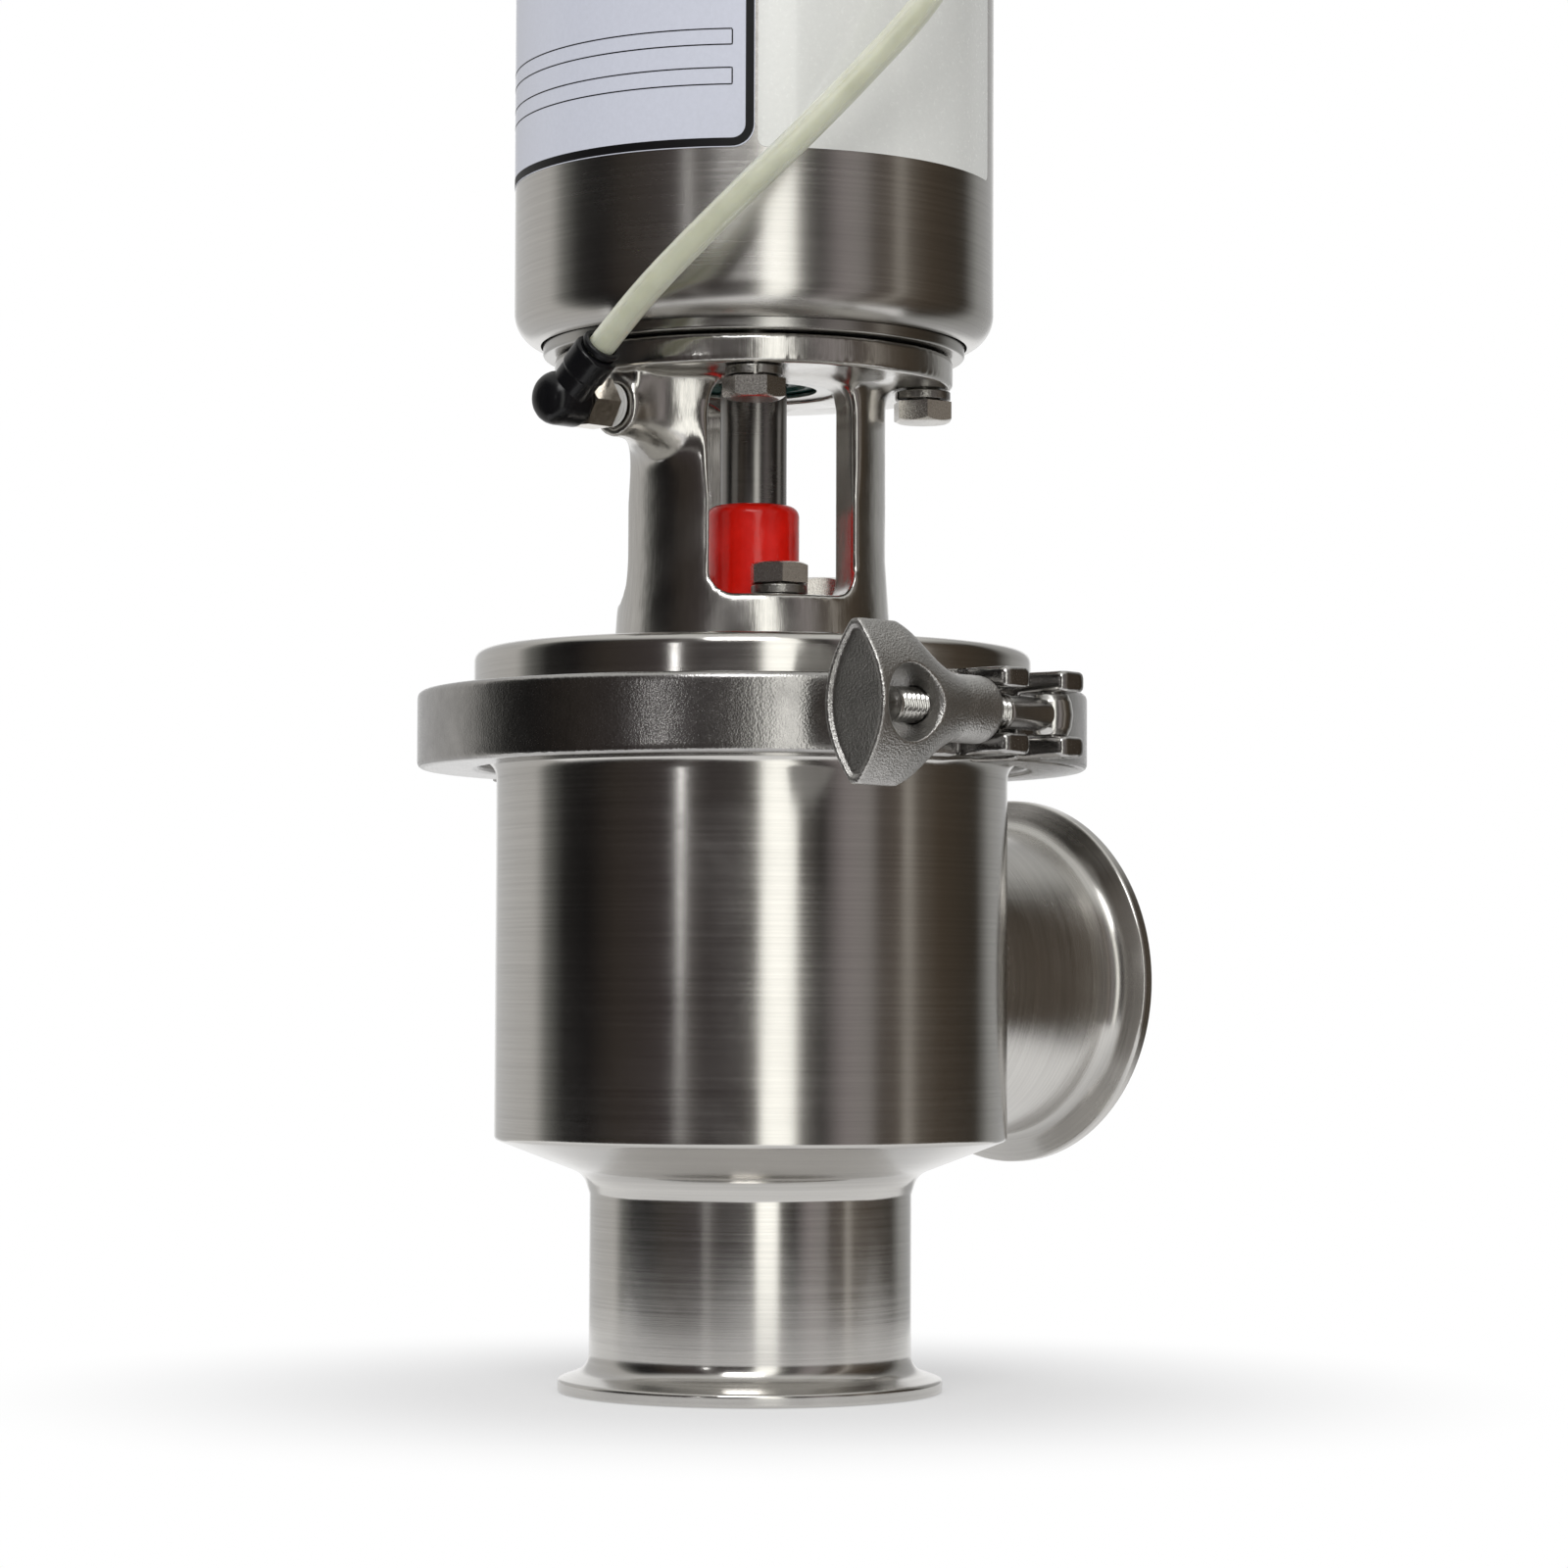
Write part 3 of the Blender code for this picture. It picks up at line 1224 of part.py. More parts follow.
def lower_head():
    """The head in the cylinder's lower end, which guides and seals the rod."""
    rim_gap_roll = ROLL_RADIUS - CYLINDER_WALL - SEAT_GAP
    rim_angle = -math.degrees(math.acos((HEAD_RIM_RADIUS - ROLL_CENTRE) / rim_gap_roll))
    groove_z = ROLL_CENTRE_Z + 3.7 * MM
    groove_top_z = groove_z + HEAD_SEAL_HEIGHT + 2 * SEAT_GAP
    bushing_z = HEAD_TOP_Z - ROD_BUSHING_LENGTH - 2 * SEAT_GAP
    seal_z = bushing_z - SEAL_HEIGHT - 2 * SEAT_GAP
    rod_bore = BUSHING_BORE - 1.2 * MM
    head = turned(
        "lower_head",
        [
            (HEAD_RADIUS, HEAD_TOP_Z, 0.6 * MM),
            (HEAD_RADIUS, groove_top_z),
            (SEAL_GROOVE, groove_top_z),
            (SEAL_GROOVE, groove_z),
            (HEAD_RADIUS, groove_z),
            *roll(rim_gap_roll, 0, rim_angle),
            (HEAD_RIM_RADIUS, HEAD_Z, 0.6 * MM),
            (SPIGOT_RADIUS, HEAD_Z),
            (SPIGOT_RADIUS, SPIGOT_Z, 0.4 * MM),
            (STEM_LIP, SPIGOT_Z),
            (STEM_LIP, seal_z),
            (SEAL_BORE, seal_z),
            (SEAL_BORE, bushing_z),
            (rod_bore, bushing_z),
            (rod_bore, HEAD_TOP_Z),
        ],
        screw_steel(),
        steps=LARGE,
        ring=True,
    )
    for k, angle in enumerate(FLANGE_SCREW_ANGLES):
        low = on_circle(FLANGE_SCREW_CIRCLE, angle, HEAD_Z - MM)
        high = on_circle(FLANGE_SCREW_CIRCLE, angle, FLANGE_Z + FLANGE_SCREW_LENGTH)
        drill(head, f"head_thread_{k + 1}", SCREW_HOLE, low, high)
    drill(
        head,
        "head_passage",
        PASSAGE_RADIUS,
        (-PASSAGE_REACH, 0, HEAD_Z - MM),
        (-PASSAGE_REACH, 0, HEAD_TOP_Z + MM),
    )
    sleeve(
        "rod_bushing",
        STEM_HOLE,
        rod_bore - SEAT_GAP,
        bushing_z + SEAT_GAP,
        HEAD_TOP_Z - SEAT_GAP,
        white_plastic(),
    )
    sleeve(
        "rod_seal",
        STEM_HOLE,
        SEAL_RADIUS,
        seal_z + SEAT_GAP,
        seal_z + SEAT_GAP + SEAL_HEIGHT,
        black_rubber(),
    )
    sleeve(
        "lower_head_seal",
        SEAL_GROOVE + SEAT_GAP,
        HEAD_RADIUS,
        groove_z + SEAT_GAP,
        groove_z + SEAT_GAP + HEAD_SEAL_HEIGHT,
        black_rubber(),
        LARGE,
    )
    sleeve(
        "rod_wiper",
        STEM_HOLE,
        YOKE_BORE - 2 * SEAT_GAP,
        WIPER_Z,
        WIPER_Z + WIPER_THICKNESS,
        green_plastic(),
        MEDIUM,
    )
    ring_z = WIPER_Z - SEAT_GAP
    sleeve(
        "wiper_ring",
        YOKE_BORE - 5 * MM,
        YOKE_BORE - SEAT_GAP,
        ring_z - RING_THICKNESS,
        ring_z,
        spring_steel(),
        MEDIUM,
    )


def piston():
    """The piston with its seal, guide ring and nut."""
    seal_z = PISTON_Z + 3 * MM
    guide_z = seal_z + HEAD_SEAL_HEIGHT + 2 * SEAT_GAP + 3 * MM
    guide_height = 3.4 * MM
    guide_groove = HEAD_RADIUS - 2 * MM - SEAT_GAP
    turned(
        "piston",
        [
            (PISTON_HUB_RADIUS, PISTON_HUB_Z, 0.6 * MM),
            (PISTON_HUB_RADIUS, PISTON_TOP_Z),
            (HEAD_RADIUS, PISTON_TOP_Z, 0.6 * MM),
            (HEAD_RADIUS, guide_z + guide_height + 2 * SEAT_GAP),
            (guide_groove, guide_z + guide_height + 2 * SEAT_GAP),
            (guide_groove, guide_z),
            (HEAD_RADIUS, guide_z),
            (HEAD_RADIUS, seal_z + HEAD_SEAL_HEIGHT + 2 * SEAT_GAP),
            (SEAL_GROOVE, seal_z + HEAD_SEAL_HEIGHT + 2 * SEAT_GAP),
            (SEAL_GROOVE, seal_z),
            (HEAD_RADIUS, seal_z),
            (HEAD_RADIUS, PISTON_Z, 0.6 * MM),
            (ROD_STUD_RADIUS + THREAD_GAP, PISTON_Z),
            (ROD_STUD_RADIUS + THREAD_GAP, PISTON_HUB_Z),
        ],
        screw_steel(),
        steps=LARGE,
        ring=True,
    )
    sleeve(
        "piston_seal",
        SEAL_GROOVE + SEAT_GAP,
        HEAD_RADIUS,
        seal_z + SEAT_GAP,
        seal_z + SEAT_GAP + HEAD_SEAL_HEIGHT,
        black_rubber(),
        LARGE,
    )
    sleeve(
        "piston_guide_ring",
        guide_groove + SEAT_GAP,
        HEAD_RADIUS,
        guide_z + SEAT_GAP,
        guide_z + SEAT_GAP + guide_height,
        white_plastic(),
        LARGE,
    )
    nut_z = PISTON_HUB_Z + SEAT_GAP
    nut = prism(
        "piston_nut",
        hexagon(PISTON_NUT_ACROSS_FLATS),
        nut_z,
        nut_z + PISTON_NUT_HEIGHT,
        screw_steel(),
    )
    drill(
        nut,
        "piston_nut_thread",
        ROD_STUD_RADIUS + THREAD_GAP,
        (0, 0, nut_z - MM),
        (0, 0, nut_z + PISTON_NUT_HEIGHT + MM),
        SMALL,
    )


def wire(name, points, radius, material, sides=2):
    """A round wire or tube through the points, with closed ends."""
    curve = bpy.data.curves.new(name, "CURVE")
    curve.dimensions = "3D"
    curve.bevel_depth = radius
    curve.bevel_resolution = sides
    curve.use_fill_caps = True
    spline = curve.splines.new("POLY")
    spline.points.add(len(points) - 1)
    for point, place_at in zip(spline.points, points):
        point.co = (*place_at, 1)
    curve.materials.append(material)
    obj = bpy.data.objects.new(name, curve)
    part_collection.objects.link(obj)
    return obj


def return_spring():
    """A coil spring from the piston up to its guide plate, with a closed turn at each end."""
    low = PISTON_TOP_Z + SEAT_GAP + SPRING_WIRE_RADIUS
    high = GUIDE_Z - SEAT_GAP - SPRING_WIRE_RADIUS
    closed = (2 * SPRING_WIRE_RADIUS + SEAT_GAP) * 1.05
    points = []
    for k in range(SPRING_TURNS * SPRING_POINTS + 1):
        turn = k / SPRING_POINTS
        from_end = min(turn, SPRING_TURNS - turn, 1)
        rise = closed * from_end
        middle = (high - low - 2 * closed) * max(0, min(1, (turn - 1) / (SPRING_TURNS - 2)))
        below = rise if turn < SPRING_TURNS / 2 else 2 * closed - rise
        angle = 2 * math.pi * turn
        points.append(
            (SPRING_RADIUS * math.cos(angle), SPRING_RADIUS * math.sin(angle), low + middle + below)
        )
    wire("return_spring", points, SPRING_WIRE_RADIUS, spring_steel())


def top_head():
    """The head at the cylinder's upper end, its seal, snap ring and spring guide."""
    groove_z = TOP_HEAD_Z + 5 * MM
    groove_top_z = groove_z + HEAD_SEAL_HEIGHT + 2 * SEAT_GAP
    head = turned(
        "top_head",
        [
            (0, TOP_FACE_Z),
            (TOP_BOSS_RADIUS, TOP_FACE_Z, 1.5 * MM),
            (TOP_BOSS_RADIUS, TOP_HEAD_TOP_Z),
            (HEAD_RADIUS, TOP_HEAD_TOP_Z, 0.6 * MM),
            (HEAD_RADIUS, groove_top_z),
            (SEAL_GROOVE, groove_top_z),
            (SEAL_GROOVE, groove_z),
            (HEAD_RADIUS, groove_z),
            (HEAD_RADIUS, TOP_HEAD_Z, 0.6 * MM),
            (0, TOP_HEAD_Z),
        ],
        screw_steel(),
        steps=LARGE,
    )
    fitting = on_circle(TOP_FITTING_CIRCLE, TOP_FITTING_ANGLE, TOP_FACE_Z)
    supply = on_circle(SUPPLY_CIRCLE, SUPPLY_ANGLE, TOP_FACE_Z)
    vent = on_circle(SUPPLY_CIRCLE, VENT_ANGLE, TOP_FACE_Z)
    for name, at in (("fitting_port", fitting), ("supply_port", supply), ("vent_port", vent)):
        down = at - Vector((0, 0, PORT_DEPTH))
        drill(head, name, PORT_THREAD_RADIUS, down, at + Vector((0, 0, MM)))
    passage_z = Vector((0, 0, PORT_DEPTH - PASSAGE_RADIUS - MM))
    drill(head, "supply_passage", PASSAGE_RADIUS, fitting - passage_z, supply - passage_z)
    drill(
        head,
        "vent_passage",
        PASSAGE_RADIUS,
        Vector((vent.x, vent.y, TOP_HEAD_Z - MM)),
        vent - Vector((0, 0, PORT_DEPTH - MM)),
    )
    sleeve(
        "top_head_seal",
        SEAL_GROOVE + SEAT_GAP,
        HEAD_RADIUS,
        groove_z + SEAT_GAP,
        groove_z + SEAT_GAP + HEAD_SEAL_HEIGHT,
        black_rubber(),
        LARGE,
    )
    ring_z = TOP_HEAD_TOP_Z + SEAT_GAP
    ring = sleeve(
        "snap_ring",
        TOP_BOSS_RADIUS + 2 * SEAT_GAP,
        CYLINDER_BORE + SNAP_RING_DEPTH,
        ring_z,
        ring_z + SNAP_RING_THICKNESS,
        spring_steel(),
        LARGE,
    )
    gap = box(
        "snap_ring_gap",
        (0, -5 * MM, ring_z - MM),
        (CYLINDER_RADIUS, 5 * MM, ring_z + SNAP_RING_THICKNESS + MM),
    )
    cut(ring, gap)
    guide = SPRING_RADIUS * math.cos(math.pi / SPRING_POINTS) - SPRING_WIRE_RADIUS - SEAT_GAP
    turned(
        "spring_guide",
        [
            (CYLINDER_BORE - 4 * MM, GUIDE_Z + GUIDE_THICKNESS),
            (CYLINDER_BORE - 4 * MM, GUIDE_Z, 0.5 * MM),
            (guide, GUIDE_Z),
            (guide, GUIDE_Z - 5 * MM, 1.5 * MM),
            (guide - 4 * MM, GUIDE_Z - 5 * MM),
            (guide - 4 * MM, GUIDE_Z + GUIDE_THICKNESS),
        ],
        screw_steel(),
        steps=MEDIUM,
        ring=True,
    )
    breather = turned(
        "vent_breather",
        [
            (0, BREATHER_HEIGHT),
            (BREATHER_RADIUS, BREATHER_HEIGHT, 2.5 * MM),
            (BREATHER_RADIUS, SEAT_GAP),
            (PORT_THREAD_RADIUS - THREAD_GAP, SEAT_GAP),
            (PORT_THREAD_RADIUS - THREAD_GAP, MM - PORT_DEPTH + MM),
            (0, MM - PORT_DEPTH + MM),
        ],
        nickel_brass(),
        steps=SMALL,
    )
    place(breather, vent)


def push_in_fitting(prefix, port, axis, outlet):
    """A threaded hexagon with sealing tape, and an elbow on it whose barrel points to the outlet."""
    port = Vector(port)
    axis = Vector(axis)
    outlet = Vector(outlet)
    hex_from = FITTING_NECK
    hex_to = hex_from + FITTING_HEX
    elbow_middle = hex_to + SEAT_GAP + ELBOW_HEIGHT / 2
    thread = PORT_THREAD_RADIUS - THREAD_GAP
    spindle = ELBOW_RADIUS - 3 * MM
    body = prism(f"{prefix}_connector", hexagon(FITTING_ACROSS_FLATS), hex_from, hex_to, nickel_brass())
    stem = turned(
        f"{prefix}_connector_stem",
        [
            (0, elbow_middle),
            (spindle, elbow_middle),
            (spindle, hex_from + MM),
            (thread, hex_from + MM),
            (thread, -FITTING_THREAD, 0.6 * MM),
            (0, -FITTING_THREAD),
        ],
        steps=SMALL,
    )
    join(body, stem)
    tape = sleeve(
        f"{prefix}_thread_tape",
        thread + SEAT_GAP,
        thread + SEAT_GAP + TAPE_THICKNESS,
        SEAT_GAP,
        hex_from - SEAT_GAP,
        white_plastic(),
        SMALL,
    )
    for obj in (body, stem, tape):
        place(obj, port, axis)
    elbow = turned(
        f"{prefix}_elbow",
        [
            (0, elbow_middle + ELBOW_HEIGHT / 2),
            (ELBOW_RADIUS, elbow_middle + ELBOW_HEIGHT / 2, 2 * MM),
            (ELBOW_RADIUS, hex_to + SEAT_GAP, 0.6 * MM),
            (0, hex_to + SEAT_GAP),
        ],
        black_plastic(),
        steps=SMALL,
    )
    place(elbow, port, axis)
    centre = port + axis * elbow_middle
    barrel = turned(
        f"{prefix}_elbow_barrel",
        [
            (0, ELBOW_BARREL),
            (ELBOW_BARREL_RADIUS, ELBOW_BARREL, 0.8 * MM),
            (ELBOW_BARREL_RADIUS, 0),
            (0, 0),
        ],
        steps=SMALL,
    )
    join(elbow, place(barrel, centre, outlet))
    hole_from = centre + outlet * (ELBOW_BARREL - AIR_TUBE_INSERT)
    drill(
        elbow,
        f"{prefix}_tube_hole",
        AIR_TUBE_RADIUS + SEAT_GAP,
        hole_from - outlet * MM,
        centre + outlet * (ELBOW_BARREL + MM),
    )
    drill(
        elbow,
        f"{prefix}_spindle_hole",
        spindle + SEAT_GAP,
        port + axis * (hex_to - MM),
        port + axis * (elbow_middle + SEAT_GAP),
        SMALL,
    )
    collar = sleeve(
        f"{prefix}_collar",
        AIR_TUBE_RADIUS + SEAT_GAP,
        COLLAR_RADIUS,
        ELBOW_BARREL + SEAT_GAP,
        ELBOW_BARREL + SEAT_GAP + COLLAR_THICKNESS,
        black_plastic(),
        SMALL,
    )
    place(collar, centre, outlet)
    return hole_from, centre + outlet * (ELBOW_BARREL + COLLAR_THICKNESS + MM)


def smooth_route(points, spacing):
    """Points at about the spacing along the smooth curve that passes through the given ones."""
    points = [Vector(p) for p in points]
    padded = [2 * points[0] - points[1], *points, 2 * points[-1] - points[-2]]
    route = []
    for before, start, end, after in zip(padded, padded[1:], padded[2:], padded[3:]):
        count = max(1, round((end - start).length / spacing))
        for k in range(count):
            t = k / count
            route.append(
                0.5
                * (
                    2 * start
                    + (end - before) * t
                    + (2 * before - 5 * start + 4 * end - after) * t * t
                    + (3 * start - before - 3 * end + after) * t * t * t
                )
            )
    route.append(points[-1])
    return route


def air_line():
    """The elbow on the yoke, the elbow on the top head and the nylon tube between them."""
    turn = math.radians(ELBOW_TURN)
    lower = push_in_fitting(
        "lower", (-BOSS_REACH, 0, BOSS_Z), (-1, 0, 0), (0, -math.cos(turn), math.sin(turn))
    )
    outwards = on_circle(1, TOP_FITTING_ANGLE, 0)
    upper = push_in_fitting(
        "upper",
        on_circle(TOP_FITTING_CIRCLE, TOP_FITTING_ANGLE, TOP_FACE_Z),
        (0, 0, 1),
        outwards,
    )
    bend_centre = upper[1] - Vector((0, 0, AIR_TUBE_BEND))
    bend = []
    for degrees in (0, 22.5, 45, 67.5):
        angle = math.radians(degrees)
        lift = Vector((0, 0, math.sin(angle)))
        bend.append(bend_centre + AIR_TUBE_BEND * (outwards * math.cos(angle) + lift))
    route = [lower[0], lower[1], *AIR_TUBE_ROUTE, *bend, upper[1], upper[0]]
    wire("air_tube", smooth_route(route, 4 * AIR_TUBE_RADIUS), AIR_TUBE_RADIUS, nylon())


def shade_round_pieces():
    """Smooth shading, with edges over 30 degrees kept sharp."""
    for obj in part_collection.objects:
        if obj.type == "MESH":
            obj.data.shade_smooth()
            obj.data.set_sharp_from_angle(angle=math.radians(30))


clear_scene()
body_shell()
body_gasket()
bonnet()
stem_guides()
clamp_halves()
clamp_pins()
clamp_eyebolt()
wing_nut()
yoke()
screws()
plug_and_stem()
coupling()
rod()
cylinder_tube()
lower_head()
piston()
return_spring()
top_head()
air_line()
shade_round_pieces()
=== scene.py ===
"""Looks of an air-operated sanitary seat valve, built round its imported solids.

Metres, +Z up, origin on the valve's axis in the face of the bottom ferrule. The side port points
along +X, the air port along -X, and the clamp's bolt lies on the -Y side.
"""

import math

import bmesh
import bpy
import numpy as np
from mathutils import Matrix, Vector


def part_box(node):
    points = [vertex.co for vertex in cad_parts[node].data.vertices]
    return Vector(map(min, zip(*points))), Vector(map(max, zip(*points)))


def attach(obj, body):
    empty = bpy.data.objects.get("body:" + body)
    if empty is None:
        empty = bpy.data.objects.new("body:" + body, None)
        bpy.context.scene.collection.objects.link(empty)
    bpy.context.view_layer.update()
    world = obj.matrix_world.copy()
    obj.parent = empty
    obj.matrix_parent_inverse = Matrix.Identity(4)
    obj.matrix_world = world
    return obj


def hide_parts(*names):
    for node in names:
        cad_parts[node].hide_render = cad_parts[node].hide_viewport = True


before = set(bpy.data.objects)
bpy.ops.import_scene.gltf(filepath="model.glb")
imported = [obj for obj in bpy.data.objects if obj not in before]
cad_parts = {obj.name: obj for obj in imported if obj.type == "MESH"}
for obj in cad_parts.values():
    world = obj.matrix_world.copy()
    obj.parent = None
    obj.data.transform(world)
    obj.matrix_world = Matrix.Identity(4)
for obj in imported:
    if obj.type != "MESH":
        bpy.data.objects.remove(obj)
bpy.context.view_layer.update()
MM = 0.001


# The photographer's studio: a camera a metre away, a little below the yoke and tilted up, on the
# side between the air port and the clamp's bolt. The valve stands on a pale floor.
camera = bpy.data.objects.new("camera", bpy.data.cameras.new("camera"))
bpy.context.scene.collection.objects.link(camera)
bpy.context.scene.camera = camera
bpy.context.scene.view_settings.view_transform = "Standard"
camera.data.sensor_width = 36
camera.data.lens = 99.2
camera.data.clip_start = 0.05
camera.data.clip_end = 50
CAMERA_SIDE = math.radians(-135.03)
CAMERA_DISTANCE = 1026.9 * MM
CAMERA_HEIGHT = 93.6 * MM
camera.matrix_world = (
    Matrix.Translation(
        (
            CAMERA_DISTANCE * math.cos(CAMERA_SIDE),
            CAMERA_DISTANCE * math.sin(CAMERA_SIDE),
            CAMERA_HEIGHT,
        )
    )
    @ Matrix.Rotation(CAMERA_SIDE + math.radians(90 - 0.423), 4, "Z")
    @ Matrix.Rotation(math.radians(90 + 2.776), 4, "X")
    @ Matrix.Rotation(math.radians(0.209), 4, "Z")
)

FLOOR_SIZE, FLOOR_DROP = 0.2, 0.0002
WHITE_FROM, WHITE_AT, NEAR_WHITE = 0.06, 0.195, 0.38
floor = bpy.data.objects.new("floor", bpy.data.meshes.new("floor"))
bpy.context.scene.collection.objects.link(floor)
floor.data.from_pydata(
    [
        (-FLOOR_SIZE, -FLOOR_SIZE, -FLOOR_DROP),
        (FLOOR_SIZE, -FLOOR_SIZE, -FLOOR_DROP),
        (FLOOR_SIZE, FLOOR_SIZE, -FLOOR_DROP),
        (-FLOOR_SIZE, FLOOR_SIZE, -FLOOR_DROP),
    ],
    [],
    [(0, 1, 2, 3)],
)


def add_node(tree, kind, inputs=(), **settings):
    """A node with its settings; inputs maps a socket's name or number to a value or a socket."""
    node = tree.nodes.new(kind)
    for key, value in settings.items():
        setattr(node, key, value)
    for key, value in dict(inputs).items():
        if isinstance(value, bpy.types.NodeSocket):
            tree.links.new(value, node.inputs[key])
        else:
            node.inputs[key].default_value = value
    return node


def colour_steps(tree, factor, steps):
    """A colour ramp through (position, colour) pairs."""
    ramp = add_node(tree, "ShaderNodeValToRGB", {0: factor})
    elements = ramp.color_ramp.elements
    elements[0].position, elements[0].color = steps[0][0], (*steps[0][1], 1)
    elements[-1].position, elements[-1].color = steps[-1][0], (*steps[-1][1], 1)
    for position, colour in steps[1:-1]:
        elements.new(position).color = (*colour, 1)
    return ramp.outputs["Color"]


# The floor is a pale sheet that takes the valve's shadow. Away from the valve it turns to the
# white of the backdrop, so that no edge shows.
floor_finish = bpy.data.materials.new("pale_floor")
floor_finish.use_nodes = True
tree = floor_finish.node_tree
tree.nodes.clear()
paper = add_node(tree, "ShaderNodeBsdfDiffuse", {"Color": (0.8, 0.8, 0.8, 1)})
white = add_node(tree, "ShaderNodeEmission", {"Color": (1, 1, 1, 1), "Strength": 1.0})
light_path = add_node(tree, "ShaderNodeLightPath")
mirrored = add_node(
    tree,
    "ShaderNodeMath",
    {0: light_path.outputs["Is Glossy Ray"], 1: light_path.outputs["Is Transmission Ray"]},
    operation="MAXIMUM",
)
seen = add_node(
    tree,
    "ShaderNodeMath",
    {0: light_path.outputs["Is Camera Ray"], 1: mirrored.outputs[0]},
    operation="MAXIMUM",
)
from_valve = add_node(
    tree,
    "ShaderNodeVectorMath",
    {0: add_node(tree, "ShaderNodeTexCoord").outputs["Object"]},
    operation="LENGTH",
)
whiteness = add_node(
    tree,
    "ShaderNodeMapRange",
    {0: from_valve.outputs["Value"], 1: WHITE_FROM, 2: WHITE_AT, 3: NEAR_WHITE, 4: 1.0},
    interpolation_type="SMOOTHSTEP",
)
seen_white = add_node(
    tree, "ShaderNodeMath", {0: seen.outputs[0], 1: whiteness.outputs[0]}, operation="MULTIPLY"
)
mixed = add_node(
    tree,
    "ShaderNodeMixShader",
    {0: seen_white.outputs[0], 1: paper.outputs[0], 2: white.outputs[0]},
)
add_node(tree, "ShaderNodeOutputMaterial", {0: mixed.outputs[0]})
floor.data.materials.append(floor_finish)

# The room round the valve: a white backdrop behind it, and in front of it a dark room with upright
# strip lights, whose reflections stand as bands in the steel. Each row is (degrees round from the
# camera's side, brightness), the same all the way up to the ceiling.
ROOM = [
    (-180, (1, 1, 1)),
    (-168, (1, 1, 1)),
    (-162, (0.6, 0.6, 0.6)),
    (-113, (0.58, 0.57, 0.55)),
    (-104, (0.18, 0.18, 0.17)),
    (-93, (0.022, 0.021, 0.02)),
    (-78, (0.014, 0.013, 0.013)),
    (-62, (0.045, 0.037, 0.031)),
    (-35, (0.06, 0.05, 0.05)),
    (-33.5, (0.2, 0.19, 0.185)),
    (-30, (0.2, 0.19, 0.185)),
    (-27, (0.1, 0.09, 0.085)),
    (-20, (0.05, 0.043, 0.042)),
    (-4, (0.065, 0.057, 0.055)),
    (2.5, (0.14, 0.13, 0.12)),
    (5.5, (1.75, 1.75, 1.67)),
    (18.5, (1.75, 1.75, 1.67)),
    (21, (0.16, 0.15, 0.14)),
    (31, (0.03, 0.027, 0.025)),
    (42, (0.3, 0.27, 0.27)),
    (53, (0.3, 0.28, 0.27)),
    (59, (0.1, 0.085, 0.075)),
    (69, (0.12, 0.1, 0.085)),
    (73, (0.45, 0.42, 0.38)),
    (79, (0.14, 0.12, 0.1)),
    (92, (0.075, 0.058, 0.042)),
    (120, (0.045, 0.038, 0.03)),
    (134, (0.36, 0.36, 0.35)),
    (162, (0.5, 0.5, 0.5)),
    (168, (1, 1, 1)),
    (179.9, (1, 1, 1)),
]
world = bpy.data.worlds.new("studio")
bpy.context.scene.world = world
world.use_nodes = True
tree = world.node_tree
tree.nodes.clear()
direction = add_node(tree, "ShaderNodeTexCoord").outputs["Generated"]
parts = add_node(tree, "ShaderNodeSeparateXYZ", {0: direction})
towards_camera = add_node(
    tree, "ShaderNodeVectorRotate", {"Vector": direction, "Angle": math.pi - CAMERA_SIDE},
    rotation_type="Z_AXIS",
)
turned_parts = add_node(tree, "ShaderNodeSeparateXYZ", {0: towards_camera.outputs[0]})
away = add_node(
    tree,
    "ShaderNodeMath",
    {0: turned_parts.outputs["X"], 1: -1},
    operation="MULTIPLY",
)
sideways = add_node(
    tree,
    "ShaderNodeMath",
    {0: turned_parts.outputs["Y"], 1: -1},
    operation="MULTIPLY",
)
round_angle = add_node(
    tree, "ShaderNodeMath", {0: sideways.outputs[0], 1: away.outputs[0]}, operation="ARCTAN2"
)
share = add_node(
    tree, "ShaderNodeMapRange", {0: round_angle.outputs[0], 1: -math.pi, 2: math.pi, 3: 0.0, 4: 1.0}
)
walls = colour_steps(
    tree, share.outputs[0], [((degrees + 180) / 360, colour) for degrees, colour in ROOM]
)
overhead = add_node(
    tree,
    "ShaderNodeMapRange",
    {0: parts.outputs["Z"], 1: 0.55, 2: 0.85, 3: 0.0, 4: 1.0},
    interpolation_type="SMOOTHSTEP",
)
ceiling = add_node(
    tree,
    "ShaderNodeMix",
    {0: overhead.outputs[0], 6: walls, 7: (0.75, 0.75, 0.73, 1)},
    data_type="RGBA",
)
rays = add_node(tree, "ShaderNodeLightPath")
seen = add_node(
    tree,
    "ShaderNodeMath",
    {0: rays.outputs["Is Camera Ray"], 1: rays.outputs["Is Transmission Ray"]},
    operation="MAXIMUM",
)
plain = add_node(
    tree,
    "ShaderNodeMix",
    {0: rays.outputs["Is Diffuse Ray"], 6: ceiling.outputs[2], 7: (0.72, 0.72, 0.73, 1)},
    data_type="RGBA",
)
shown = add_node(
    tree,
    "ShaderNodeMix",
    {0: seen.outputs[0], 6: plain.outputs[2], 7: (1, 1, 1, 1)},
    data_type="RGBA",
)
background = add_node(tree, "ShaderNodeBackground", {"Color": shown.outputs[2]})
add_node(tree, "ShaderNodeOutputWorld", {0: background.outputs[0]})


